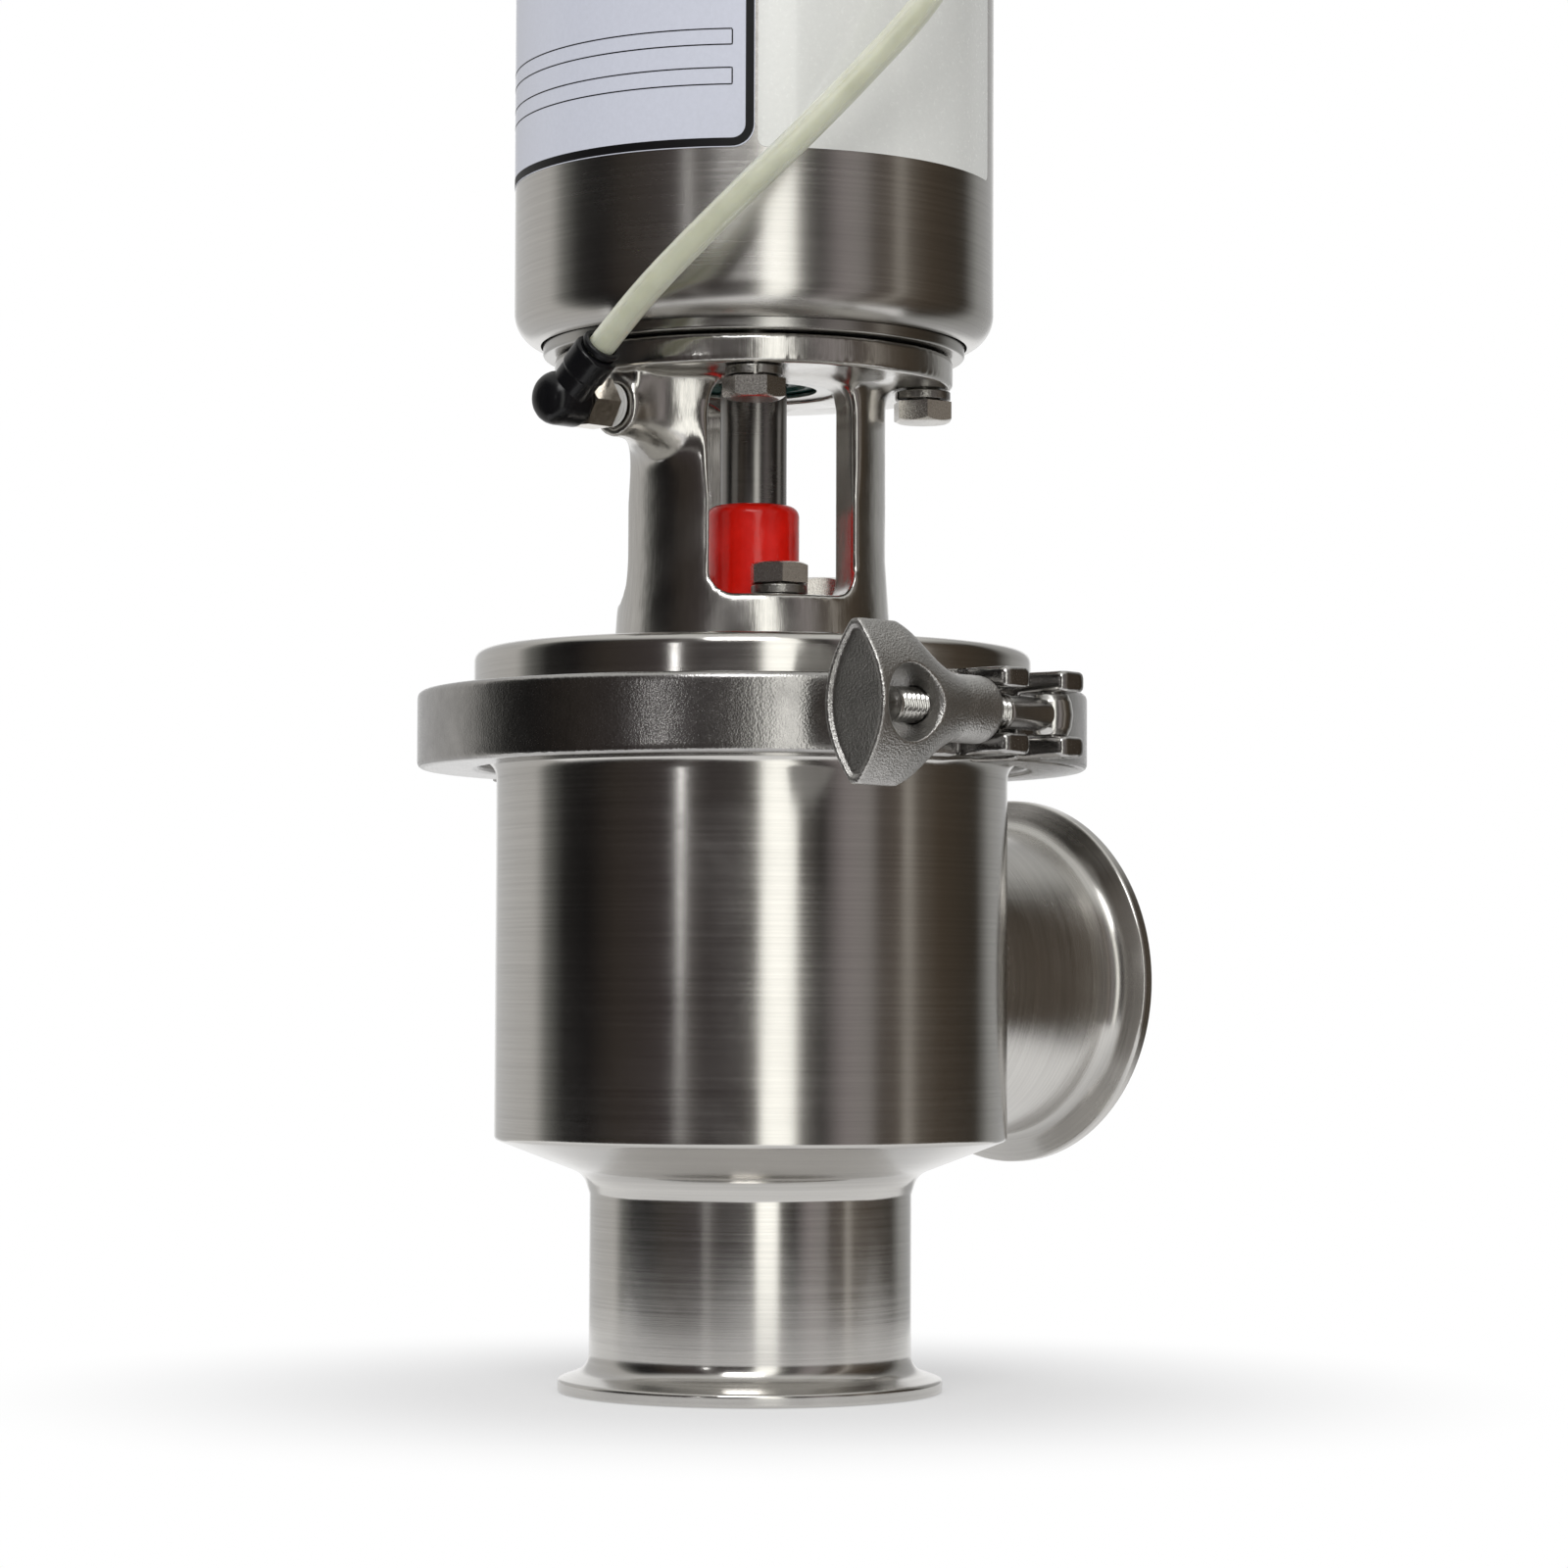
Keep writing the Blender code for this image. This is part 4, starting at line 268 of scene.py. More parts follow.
def soft_lamp(name, place, target, size, watts):
    """A lamp of a given width and height at a place, turned to a target."""
    lamp = bpy.data.objects.new(name, bpy.data.lights.new(name, "AREA"))
    lamp.data.shape = "RECTANGLE"
    lamp.data.size, lamp.data.size_y = size
    lamp.data.energy = watts
    lamp.location = place
    lamp.rotation_euler = (Vector(target) - Vector(place)).to_track_quat("-Z", "Y").to_euler()
    bpy.context.scene.collection.objects.link(lamp)


soft_lamp("key_lamp", (-1.35, -1.1, 1.5), (0, 0, 0.22), (0.9, 0.9), 14)
soft_lamp("upright_strip_lamp", (-1.55, -0.39, 0.28), (0, 0, 0.18), (0.07, 0.12), 0.17)


# The air tube is translucent nylon of 6.35 mm, pushed into the elbow on the yoke and into the one
# on the top head. It springs away from the lower elbow, crosses the cylinder and bends in over its
# top.
AIR_TUBE_RADIUS, AIR_TUBE_BORE = 3.175 * MM, 2.15 * MM
AIR_TUBE_BEND = 28 * MM
AIR_TUBE_ROUTE = [
    (-0.0615, -0.0270, 0.2510),
    (-0.0580, -0.0370, 0.2605),
    (-0.0510, -0.0490, 0.2735),
    (-0.0415, -0.0580, 0.2865),
    (-0.0295, -0.0655, 0.3015),
    (-0.0170, -0.0710, 0.3170),
    (-0.0050, -0.0730, 0.3350),
    (0.0080, -0.0715, 0.3580),
    (0.0190, -0.0670, 0.3860),
    (0.0260, -0.0620, 0.4150),
]
ELBOW_TURN = math.radians(40)
ELBOW_CENTRE = 15.8 * MM
AIR_BOSS_Z, AIR_BOSS_REACH = 229.3 * MM, 46 * MM
LOWER_OUTLET = Vector((0, -math.cos(ELBOW_TURN), math.sin(ELBOW_TURN)))
LOWER_ELBOW = Vector((-AIR_BOSS_REACH - ELBOW_CENTRE, 0, AIR_BOSS_Z))


def on_circle(radius, degrees, z):
    return (radius * math.cos(math.radians(degrees)), radius * math.sin(math.radians(degrees)), z)


TOP_FACE_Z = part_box("top_head")[1][2]
FITTING_PLACE = on_circle(20 * MM, -65, TOP_FACE_Z)
UPPER_OUTLET = Vector(on_circle(1, -65, 0))
UPPER_ELBOW = Vector(FITTING_PLACE) + Vector((0, 0, ELBOW_CENTRE))
lower_end, upper_end = (
    centre + outlet * 18.2 * MM
    for centre, outlet in ((LOWER_ELBOW, LOWER_OUTLET), (UPPER_ELBOW, UPPER_OUTLET))
)
over_the_top = [
    upper_end
    + AIR_TUBE_BEND
    * (
        UPPER_OUTLET * math.cos(math.radians(degrees))
        + Vector((0, 0, math.sin(math.radians(degrees)) - 1))
    )
    for degrees in (0, 22.5, 45, 67.5)
]
tube_stations = np.array(
    [
        LOWER_ELBOW + LOWER_OUTLET * 6.4 * MM,
        lower_end,
        *AIR_TUBE_ROUTE,
        *over_the_top,
        upper_end,
        UPPER_ELBOW + UPPER_OUTLET * 6.4 * MM,
    ]
)


def smooth_line(stations, spacing):
    """A curve through every station: between two of them it is the cubic

    (2 b + (c - a) t + (2 a - 5 b + 4 c - d) t^2 + (3 b - a - 3 c + d) t^3) / 2 of four neighbours,
    and the points are then laid again at even steps along it.
    """
    ends = np.stack([2 * stations[0] - stations[1], 2 * stations[-1] - stations[-2]])
    all_stations = np.concatenate([ends[:1], stations, ends[1:]])
    a, b, c, d = (all_stations[k : len(all_stations) - 3 + k, None] for k in range(4))
    reach = np.linalg.norm(stations[1:] - stations[:-1], axis=1)
    count = int(max(1, np.ceil(8 * reach.max() / spacing)))
    t = np.linspace(0, 1, count, endpoint=False)[None, :, None]
    line = 2 * b + (c - a) * t + (2 * a - 5 * b + 4 * c - d) * t**2 + (3 * b - a - 3 * c + d) * t**3
    line = line / 2
    line = np.concatenate([line.reshape(-1, 3), stations[-1:]])
    way = np.concatenate([[0], np.cumsum(np.linalg.norm(np.diff(line, axis=0), axis=1))])
    at = np.linspace(0, way[-1], int(way[-1] / spacing))
    return np.stack([np.interp(at, way, line[:, k]) for k in range(3)], -1)


def surface(name, points, ring=False, flip=False):
    """A mesh of quads on a grid of points[row, column].

    Quad (i, j) joins points (i, j), (i + 1, j), (i + 1, j + 1) and (i, j + 1). The columns close
    round, and the rows do when ring is set. The UV map has the length along the rows as U and the
    share of the way round as V.
    """
    rows, columns = points.shape[:2]
    i = np.arange(rows if ring else rows - 1)[:, None]
    j = np.arange(columns)[None, :]
    i, j = np.broadcast_arrays(i, j)
    quads = np.stack(
        [
            i * columns + j,
            (i + 1) % rows * columns + j,
            (i + 1) % rows * columns + (j + 1) % columns,
            i * columns + (j + 1) % columns,
        ],
        -1,
    ).reshape(-1, 4)
    steps = np.linalg.norm(np.diff(points[:, 0], axis=0, append=points[:1, 0]), axis=-1)
    length = np.concatenate([[0], np.cumsum(steps)]) * 10
    u = np.stack([length[i], length[i + 1], length[i + 1], length[i]], -1).reshape(-1)
    v = np.stack([j, j, j + 1, j + 1], -1).reshape(-1) / columns
    uv = np.stack([u, v], -1)
    if flip:
        quads = quads[:, ::-1]
        uv = uv.reshape(-1, 4, 2)[:, ::-1].reshape(-1, 2)
    mesh = bpy.data.meshes.new(name)
    mesh.from_pydata(points.reshape(-1, 3).tolist(), [], quads.tolist())
    uv = np.ascontiguousarray(uv, np.float32).ravel()
    mesh.uv_layers.new(name="UVMap").data.foreach_set("uv", uv)
    piece = bpy.data.objects.new(name, mesh)
    bpy.context.scene.collection.objects.link(piece)
    return piece


def weld_points(piece, distance=1e-6):
    """Merges points that lie on one another, as those of a pole do."""
    build = bmesh.new()
    build.from_mesh(piece.data)
    bmesh.ops.remove_doubles(build, verts=build.verts, dist=distance)
    bmesh.ops.dissolve_degenerate(build, edges=build.edges, dist=distance)
    build.to_mesh(piece.data)
    build.free()
    return piece


def dress(piece, finish, body, nodes=(), sharp=32):
    """Gives a piece its material, its shading, its body and the nodes that it stands for."""
    if finish is not None:
        piece.data.materials.clear()
        piece.data.materials.append(finish)
    piece.data.shade_smooth()
    piece.data.set_sharp_from_angle(angle=math.radians(sharp))
    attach(piece, body)
    if nodes:
        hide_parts(*nodes)
    return piece


def tube_round(name, line, radius, bore, facets=32):
    """A tube along a line: at each point, circles of the outer and inner radius square to the line.

    The circle's axes are the line's direction crossed with a fixed level direction, and that
    crossed with the direction again. The rows go out along the outer skin and back along the bore.
    """
    ahead = np.gradient(line, axis=0)
    ahead /= np.linalg.norm(ahead, axis=1, keepdims=True)
    level = np.array(on_circle(1, 25, 0))
    side = np.cross(ahead, level)
    side /= np.linalg.norm(side, axis=1, keepdims=True)
    up = np.cross(side, ahead)
    angle = np.linspace(0, 2 * math.pi, facets, endpoint=False)[None, :, None]
    circle = side[:, None] * np.cos(angle) + up[:, None] * np.sin(angle)
    outer = line[:, None] + radius * circle
    inner = line[:, None] + bore * circle
    return surface(name, np.concatenate([outer, inner[::-1]]), ring=True, flip=True)


def plain_finish(name, metallic=0.0):
    """A new material, its node tree, its shader, and the socket of a piece's own coordinates."""
    material = bpy.data.materials.new(name)
    material.use_nodes = True
    nodes = material.node_tree
    shader = nodes.nodes["Principled BSDF"]
    shader.inputs["Metallic"].default_value = metallic
    return material, nodes, shader, add_node(nodes, "ShaderNodeTexCoord").outputs["Object"]


def speckle(nodes, place, scale, detail, roughness=0.5, distortion=0.0):
    """Noise with so many grains to the metre, as a socket that goes from 0 to 1."""
    inputs = {"Vector": place, "Scale": scale, "Detail": detail, "Roughness": roughness}
    inputs["Distortion"] = distortion
    return add_node(nodes, "ShaderNodeTexNoise", inputs).outputs["Fac"]


def spread(nodes, share, low, high, start=0.3, end=0.7):
    """A value that goes from low to high while a share goes from start to end."""
    inputs = {0: share, 1: start, 2: end, 3: low, 4: high}
    return add_node(nodes, "ShaderNodeMapRange", inputs).outputs[0]


def shades(nodes, share, colour, dark, light):
    """A colour that goes from its dark shade to its light one as a share goes from 0.3 to 0.7."""
    ends = [tuple(min(1, factor * c) for c in colour) for factor in (dark, light)]
    return colour_steps(nodes, share, list(zip((0.3, 0.7), ends)))


def skin_of(nodes, shader, tone, rough, height, strength, depth):
    """Gives a shader its colour, its roughness and a fine relief."""
    inputs = {"Height": height, "Strength": strength, "Distance": depth}
    bump = add_node(nodes, "ShaderNodeBump", inputs).outputs[0]
    for name, socket in (("Base Color", tone), ("Roughness", rough), ("Normal", bump)):
        nodes.links.new(socket, shader.inputs[name])


def clear_nylon(name):
    """Natural nylon: a cloudy, faintly green cream that lets some light through."""
    material, nodes, shader, place = plain_finish(name)
    shader.inputs["Transmission Weight"].default_value = 0.3
    shader.inputs["IOR"].default_value = 1.5
    shader.inputs["Subsurface Weight"].default_value = 0.5
    shader.inputs["Subsurface Radius"].default_value = (1, 0.9, 0.6)
    shader.inputs["Subsurface Scale"].default_value = 0.002
    cloud = speckle(nodes, place, 120, 4, 0.6)
    tone = colour_steps(nodes, cloud, [(0.3, (0.6, 0.61, 0.47)), (0.7, (0.7, 0.71, 0.57))])
    skin_of(nodes, shader, tone, spread(nodes, cloud, 0.3, 0.4), cloud, 0.04, 0.0006)
    return material


tube_line = smooth_line(tube_stations, 1.5 * MM)
air_tube = tube_round("nylon_air_tube", tube_line, AIR_TUBE_RADIUS, AIR_TUBE_BORE)
dress(air_tube, clear_nylon("clear_nylon"), "valve", ["air_tube"], sharp=50)


# The valve's body is a turned bowl with a cone, a tube and a ferrule below it, and a side tube
# with its ferrule, all of polished stainless steel and welded into one piece. The welds are ground
# flush.
def filleted(corners, arc_steps=6, closed=False, shoulder=0.35 * MM):
    """The outline through (radius, z, fillet) corners as an array of points.

    A corner with a fillet f between unit directions b (to the corner before) and a (to the one
    after) becomes the arc of radius f round corner + f / sin(h) * (a + b) / |a + b|, with h half
    the angle between them. Where a straight part is long enough, a point lies at the shoulder's
    distance from each end of it, so that it shades flat.
    """
    corners = np.array([tuple(c) + (0,) * (3 - len(c)) for c in corners], float)
    place, fillet = corners[:, :2], corners[:, 2]
    if not closed:
        fillet[[0, -1]] = 0
    before = np.roll(place, 1, axis=0) - place
    after = np.roll(place, -1, axis=0) - place
    length = np.linalg.norm(after, axis=1)
    before = before / np.roll(length, 1)[:, None]
    after = after / length[:, None]
    half = np.arccos(np.clip(np.sum(before * after, axis=1), -1, 1)) / 2
    reach = np.where(fillet > 0, fillet / np.tan(half), 0)
    room = length - reach - np.roll(reach, -1)
    line = []
    for i, here in enumerate(place):
        if fillet[i] == 0:
            line.append(here)
            continue
        middle = before[i] + after[i]
        centre = here + middle * fillet[i] / (2 * math.sin(half[i]) * math.cos(half[i]))
        start, end = here + before[i] * reach[i] - centre, here + after[i] * reach[i] - centre
        sweep = math.atan2(start[0] * end[1] - start[1] * end[0], float(start @ end))
        angles = np.linspace(0, sweep, arc_steps + 1)
        arc = centre + np.stack(
            [
                start[0] * np.cos(angles) - start[1] * np.sin(angles),
                start[0] * np.sin(angles) + start[1] * np.cos(angles),
            ],
            -1,
        )
        if room[i - 1] > 3 * shoulder:
            line.append(here + before[i] * (reach[i] + shoulder))
        line.extend(arc)
        if room[i] > 3 * shoulder:
            line.append(here + after[i] * (reach[i] + shoulder))
    return np.array(line)


def turned(name, corners, facets=144, ring=False, arc_steps=6):
    """A turned solid: each outline point (r, z), down the outer side, at (r cos t, r sin t, z)."""
    line = filleted(corners, arc_steps, closed=ring)
    angle = np.linspace(0, 2 * math.pi, facets, endpoint=False)
    points = np.stack(
        [
            line[:, :1] * np.cos(angle),
            line[:, :1] * np.sin(angle),
            np.repeat(line[:, 1:], facets, axis=1),
        ],
        -1,
    )
    return weld_points(surface(name, points, ring=ring))


def set_down(piece, place=(0, 0, 0), along=(0, 0, 1)):
    """Moves a piece's mesh so that its own Z axis runs along a direction from a place."""
    turn = Vector(along).to_track_quat("Z", "Y").to_matrix().to_4x4()
    piece.data.transform(Matrix.Translation(place) @ turn)
    return piece


def settle(piece):
    """Makes what a piece's modifiers give its own mesh."""
    bpy.context.view_layer.update()
    graph = bpy.context.evaluated_depsgraph_get()
    made = bpy.data.meshes.new_from_object(piece.evaluated_get(graph))
    piece.modifiers.clear()
    piece.data = made
    return piece


def shape_with(piece, tools, operation="DIFFERENCE"):
    """Cuts tools out of a piece, or joins them to it, and removes them."""
    for tool in tools:
        modifier = piece.modifiers.new("shape", "BOOLEAN")
        modifier.operation = operation
        modifier.object = tool
        modifier.solver = "EXACT"
        modifier.material_mode = "TRANSFER"
    settle(piece)
    for tool in tools:
        bpy.data.objects.remove(tool)
    return piece


def turned_steel(name, colour, roughness, stretch=0.7, centre=(0, 0, 0), axis="Z"):
    """Fine-turned steel: thin lines round an axis, faint smudges and drawn-out highlights.

    The lines are noise in (distance along the axis + distance from it), nearly constant round it.
    """
    material, nodes, shader, place = plain_finish(name, 1.0)
    shader.inputs["Anisotropic"].default_value = stretch
    moved = add_node(nodes, "ShaderNodeVectorMath", {0: place, 1: centre}, operation="SUBTRACT")
    xyz = add_node(nodes, "ShaderNodeSeparateXYZ", {0: moved.outputs[0]}).outputs
    along, across, across_2 = {"Z": (2, 0, 1), "X": (0, 1, 2)}[axis]
    flat = add_node(nodes, "ShaderNodeCombineXYZ", {0: xyz[across], 1: xyz[across_2]})
    radius = add_node(nodes, "ShaderNodeVectorMath", {0: flat.outputs[0]}, operation="LENGTH")
    total = add_node(nodes, "ShaderNodeMath", {0: radius.outputs["Value"], 1: xyz[along]})
    slow = add_node(
        nodes, "ShaderNodeVectorMath", {0: flat.outputs[0], 3: 0.008}, operation="SCALE"
    )
    slow_xyz = add_node(nodes, "ShaderNodeSeparateXYZ", {0: slow.outputs[0]}).outputs
    line_place = add_node(
        nodes, "ShaderNodeCombineXYZ", {0: slow_xyz[0], 1: slow_xyz[1], 2: total.outputs[0]}
    )
    lines = speckle(nodes, line_place.outputs[0], 1500, 6, 0.65)
    smudge = speckle(nodes, place, 22, 5, 0.6, 0.6)
    line_rough = spread(nodes, lines, -0.02, 0.025, 0.25, 0.75)
    smudge_rough = spread(nodes, smudge, roughness - 0.03, roughness + 0.06, 0.35, 0.75)
    rough = add_node(nodes, "ShaderNodeMath", {0: line_rough, 1: smudge_rough}).outputs[0]
    tone = shades(nodes, lines, colour, 0.9, 1.06)
    skin_of(nodes, shader, tone, rough, lines, 0.07, 0.00012)
    tangent = add_node(nodes, "ShaderNodeTangent", direction_type="UV_MAP", uv_map="UVMap")
    nodes.links.new(tangent.outputs[0], shader.inputs["Tangent"])
    return material


STEEL = (0.6, 0.585, 0.56)
TUBE_RADIUS, TUBE_BORE = 38.1 * MM, 36.45 * MM
FERRULE_RADIUS = 45.45 * MM
BOWL_RADIUS, BOWL_BORE = 60.7 * MM, 57.5 * MM
SIDE_PORT_Z, SIDE_PORT_REACH = 97 * MM, 93.8 * MM
JOINT_RADIUS, JOINT_GROOVE = 72.4 * MM, 68 * MM
PORT_GROOVE, GROOVE_DEPTH, RIM_EDGE = 41.75 * MM, 1.4 * MM, 2.85 * MM
BODY_FACE_Z = 154.3 * MM


def gasket_groove(radius, face, depth):
    """Corners of the round-bottomed groove in a ferrule's face, outer side first."""
    return [
        (radius + 1.6 * MM, face, 0.2 * MM),
        (radius + 0.8 * MM, face + depth, 0.7 * MM),
        (radius - 0.8 * MM, face + depth, 0.7 * MM),
        (radius - 1.6 * MM, face, 0.2 * MM),
    ]


def port_ferrule(face, down):
    """Corners of a ferrule's rim, from its face to the tube; down is -1 or 1, off the face."""
    slope = (FERRULE_RADIUS - TUBE_RADIUS) * math.tan(math.radians(20))
    return [
        (FERRULE_RADIUS, face, 0.35 * MM),
        (FERRULE_RADIUS, face + down * RIM_EDGE, 0.9 * MM),
        (TUBE_RADIUS, face + down * (RIM_EDGE + slope), 4.5 * MM),
    ]


bowl_steel = turned_steel("turned_steel_bowl", STEEL, 0.18, stretch=0.6)
port_steel = turned_steel(
    "turned_steel_side_port", STEEL, 0.24, centre=(0, 0, SIDE_PORT_Z), axis="X"
)
body = turned(
    "valve_body",
    [
        (0, BODY_FACE_Z),
        *reversed(gasket_groove(JOINT_GROOVE, BODY_FACE_Z, -GROOVE_DEPTH)),
        (JOINT_RADIUS, BODY_FACE_Z, 0.35 * MM),
        (JOINT_RADIUS, BODY_FACE_Z - RIM_EDGE, 0.9 * MM),
        (BOWL_RADIUS, BODY_FACE_Z - 7.1 * MM, 4 * MM),
        (BOWL_RADIUS, 59.1 * MM, 1.3 * MM),
        (39.6 * MM, 51 * MM, 5 * MM),
        (TUBE_RADIUS, 46.2 * MM, 3 * MM),
        *reversed(port_ferrule(0, 1)),
        *gasket_groove(PORT_GROOVE, 0, GROOVE_DEPTH),
        (0, 0),
    ],
    facets=176,
)
body.data.materials.append(bowl_steel)
side_tube = turned(
    "side_tube",
    [
        (0, SIDE_PORT_REACH),
        *reversed(gasket_groove(PORT_GROOVE, SIDE_PORT_REACH, -GROOVE_DEPTH)),
        *port_ferrule(SIDE_PORT_REACH, -1),
        (TUBE_RADIUS + 0.2 * MM, 30 * MM),
        (0, 30 * MM),
    ],
    facets=152,
)
side_tube.data.materials.append(port_steel)
shape_with(body, [set_down(side_tube, (0, 0, SIDE_PORT_Z), (1, 0, 0))], "UNION")
bowl_inside = turned(
    "bowl_inside",
    [
        (0, BODY_FACE_Z + MM),
        (BOWL_BORE, BODY_FACE_Z + MM),
        (BOWL_BORE, 62.4 * MM, 3 * MM),
        (39.5 * MM, 56.05 * MM, 0.3 * MM),
        (TUBE_BORE, 53 * MM, 0.3 * MM),
        (TUBE_BORE, -MM),
        (0, -MM),
    ],
    facets=168,
)
bowl_inside.data.materials.append(bowl_steel)
bowl_inside.data.transform(Matrix.Rotation(math.radians(0.7), 4, "Z"))
port_inside = turned(
    "port_inside",
    [
        (0, SIDE_PORT_REACH + MM),
        (TUBE_BORE, SIDE_PORT_REACH + MM),
        (TUBE_BORE, 20 * MM),
        (0, 20 * MM),
    ],
    facets=148,
)
port_inside.data.materials.append(port_steel)
shape_with(body, [bowl_inside, set_down(port_inside, (0, 0, SIDE_PORT_Z), (1, 0, 0))])
dress(body, None, "valve", ["body_shell"])


# The bonnet is a turned cover plate with the upper ferrule of the clamped joint round it, in the
# same polished steel. A spigot and a boss below it carry the stem's bushing and seal.
BONNET_FACE_Z = 156.7 * MM
bonnet = turned(
    "bonnet_cover",
    [
        (66.2 * MM, 174.5 * MM, 2.6 * MM),
        (66.2 * MM, 161.8 * MM, 0.8 * MM),
        (JOINT_RADIUS, 159.55 * MM, 0.9 * MM),
        (JOINT_RADIUS, BONNET_FACE_Z, 0.35 * MM),
        *gasket_groove(JOINT_GROOVE, BONNET_FACE_Z, GROOVE_DEPTH),
        (56.9 * MM, BONNET_FACE_Z),
        (56.9 * MM, 153.2 * MM, MM),
        (25 * MM, 152.2 * MM, 4 * MM),
        (19 * MM, 144 * MM, MM),
        (8.7 * MM, 144 * MM, 0.3 * MM),
        (8.7 * MM, 147.1 * MM),
        (11.75 * MM, 147.1 * MM),
        (11.75 * MM, 152.5 * MM),
        (12.8 * MM, 152.5 * MM),
        (12.8 * MM, 174.5 * MM, 0.3 * MM),
    ],
    facets=176,
    ring=True,
)
dress(bonnet, turned_steel("turned_steel_bonnet", STEEL, 0.15), "valve", ["bonnet"])


# The clamp is two cast halves hinged at the back, blasted satin grey, with bright worn edges. Each
# has a V groove inside for the two ferrules, and a pair of lugs at the front: one takes the bolt's
# pin, and the other, with rounded cheeks, takes the wing nut.
CLAMP_RADIUS, CLAMP_LOW, CLAMP_HIGH = 79.5 * MM, 146.4 * MM, 164.6 * MM
CLAMP_BOLT_Y, CLAMP_BOLT_Z = -86.3 * MM, 156.5 * MM
CHEEK_RADIUS = 23.3 * MM
PIVOT_X = 9.0 * MM
LUG_FRONT = -93.0 * MM
LUG_LEVELS = ((146.8 * MM, 151.5 * MM), (161.5 * MM, 166.2 * MM))
HINGE_Y = 84.5 * MM
KNUCKLE_LEVELS = ((152.2 * MM, 158.8 * MM), ((CLAMP_LOW, 151.9 * MM), (159.1 * MM, CLAMP_HIGH)))


def prism(name, outline, low, high, ease=0.0):
    """A flat outline carried up from one level to another, its long edges eased by a bevel."""
    line = filleted(outline, closed=True)
    centre = line.mean(axis=0)
    inwards = (centre - line) / np.linalg.norm(centre - line, axis=1, keepdims=True)
    rows = [(line, high - ease), (line, low + ease)]
    if ease > 0:
        eased = line + inwards * ease
        rows = [(eased, high), *rows, (eased, low)]
    middle = np.broadcast_to(centre, line.shape)
    rows = [(middle, high), *rows, (middle, low)]
    points = np.stack(
        [np.concatenate([flat, np.full((len(flat), 1), level)], axis=1) for flat, level in rows]
    )
    x, y = line.T
    area = float(np.sum(x * np.roll(y, -1) - np.roll(x, -1) * y))
    return weld_points(surface(name, points, flip=area < 0))


def round_bar(name, radius, start, end, facets=48):
    """A plain round bar between two places."""
    start, end = Vector(start), Vector(end)
    length = (end - start).length
    bar = turned(name, [(0, length), (radius, length), (radius, 0), (0, 0)], facets)
    return set_down(bar, start, end - start)


def cast_skin(piece, others, grain, passes):
    """Gives overlapping solids one even skin with softened corners, as a casting has."""
    together = bmesh.new()
    for solid in (piece, *others):
        together.from_mesh(solid.data)
    together.to_mesh(piece.data)
    together.free()
    for solid in others:
        bpy.data.objects.remove(solid)
    skin = piece.modifiers.new("skin", "REMESH")
    skin.mode = "VOXEL"
    skin.voxel_size = grain
    soften = piece.modifiers.new("soften", "SMOOTH")
    soften.factor = 0.5
    soften.iterations = passes
    return settle(piece)


def cast_steel(name, colour, roughness, speck=1.0, wear=0.5):
    """Blasted and tumbled cast steel: fine glittering grain, and edges rubbed bright."""
    material, nodes, shader, place = plain_finish(name, 1.0)
    grain = speckle(nodes, place, 2600, 3, 0.7)
    clouds = speckle(nodes, place, 130, 6, 0.65)
    cells = add_node(nodes, "ShaderNodeTexVoronoi", {"Vector": place, "Scale": 1900})
    edge = add_node(nodes, "ShaderNodeNewGeometry").outputs["Pointiness"]
    rubbed = spread(nodes, edge, 0.0, wear, 0.512, 0.56)
    worn = (*(min(1, 1.45 * c) for c in colour), 1)
    bright = add_node(
        nodes,
        "ShaderNodeMix",
        {0: rubbed, 6: shades(nodes, clouds, colour, 0.82, 1.1), 7: worn},
        data_type="RGBA",
    )
    smoother = add_node(nodes, "ShaderNodeMath", {0: rubbed, 1: 0.12}, operation="MULTIPLY")
    rough = add_node(
        nodes,
        "ShaderNodeMath",
        {0: spread(nodes, grain, roughness - 0.06, roughness + 0.08), 1: smoother.outputs[0]},
        operation="SUBTRACT",
    )
    height = add_node(nodes, "ShaderNodeMath", {0: cells.outputs["Distance"], 1: grain})
    skin_of(
        nodes, shader, bright.outputs[2], rough.outputs[0], height.outputs[0], 0.3 * speck, 0.0003
    )
    return material


clamp_steel = cast_steel("blasted_clamp_steel", (0.42, 0.41, 0.4), 0.2, speck=0.3)


def clamp_half(name, side):
    """Half of the clamp's ring, cut on the bolt's side and at the hinge; side is -1 towards -X."""
    half = turned(
        name,
        [
            (CLAMP_RADIUS, CLAMP_HIGH, 1.5 * MM),
            (CLAMP_RADIUS, CLAMP_LOW, 1.5 * MM),
            (65.0 * MM, CLAMP_LOW, 1.2 * MM),
            (65.0 * MM, 148.6 * MM, 0.5 * MM),
            (73.9 * MM, 151.7 * MM, MM),
            (73.9 * MM, 159.3 * MM, MM),
            (67.3 * MM, 161.75 * MM, 0.5 * MM),
            (67.3 * MM, CLAMP_HIGH, 1.2 * MM),
        ],
        facets=200,
        ring=True,
    )
    far = 170 * MM
    other = prism(
        f"{name}_other_side",
        [
            (side * 5 * MM, -CLAMP_RADIUS),
            (side * MM, CLAMP_RADIUS),
            (side * MM, far),
            (-side * far, far),
            (-side * far, -far),
            (side * 5 * MM, -far),
        ],
        CLAMP_LOW - MM,
        CLAMP_HIGH + MM,
    )
    return shape_with(half, [other])


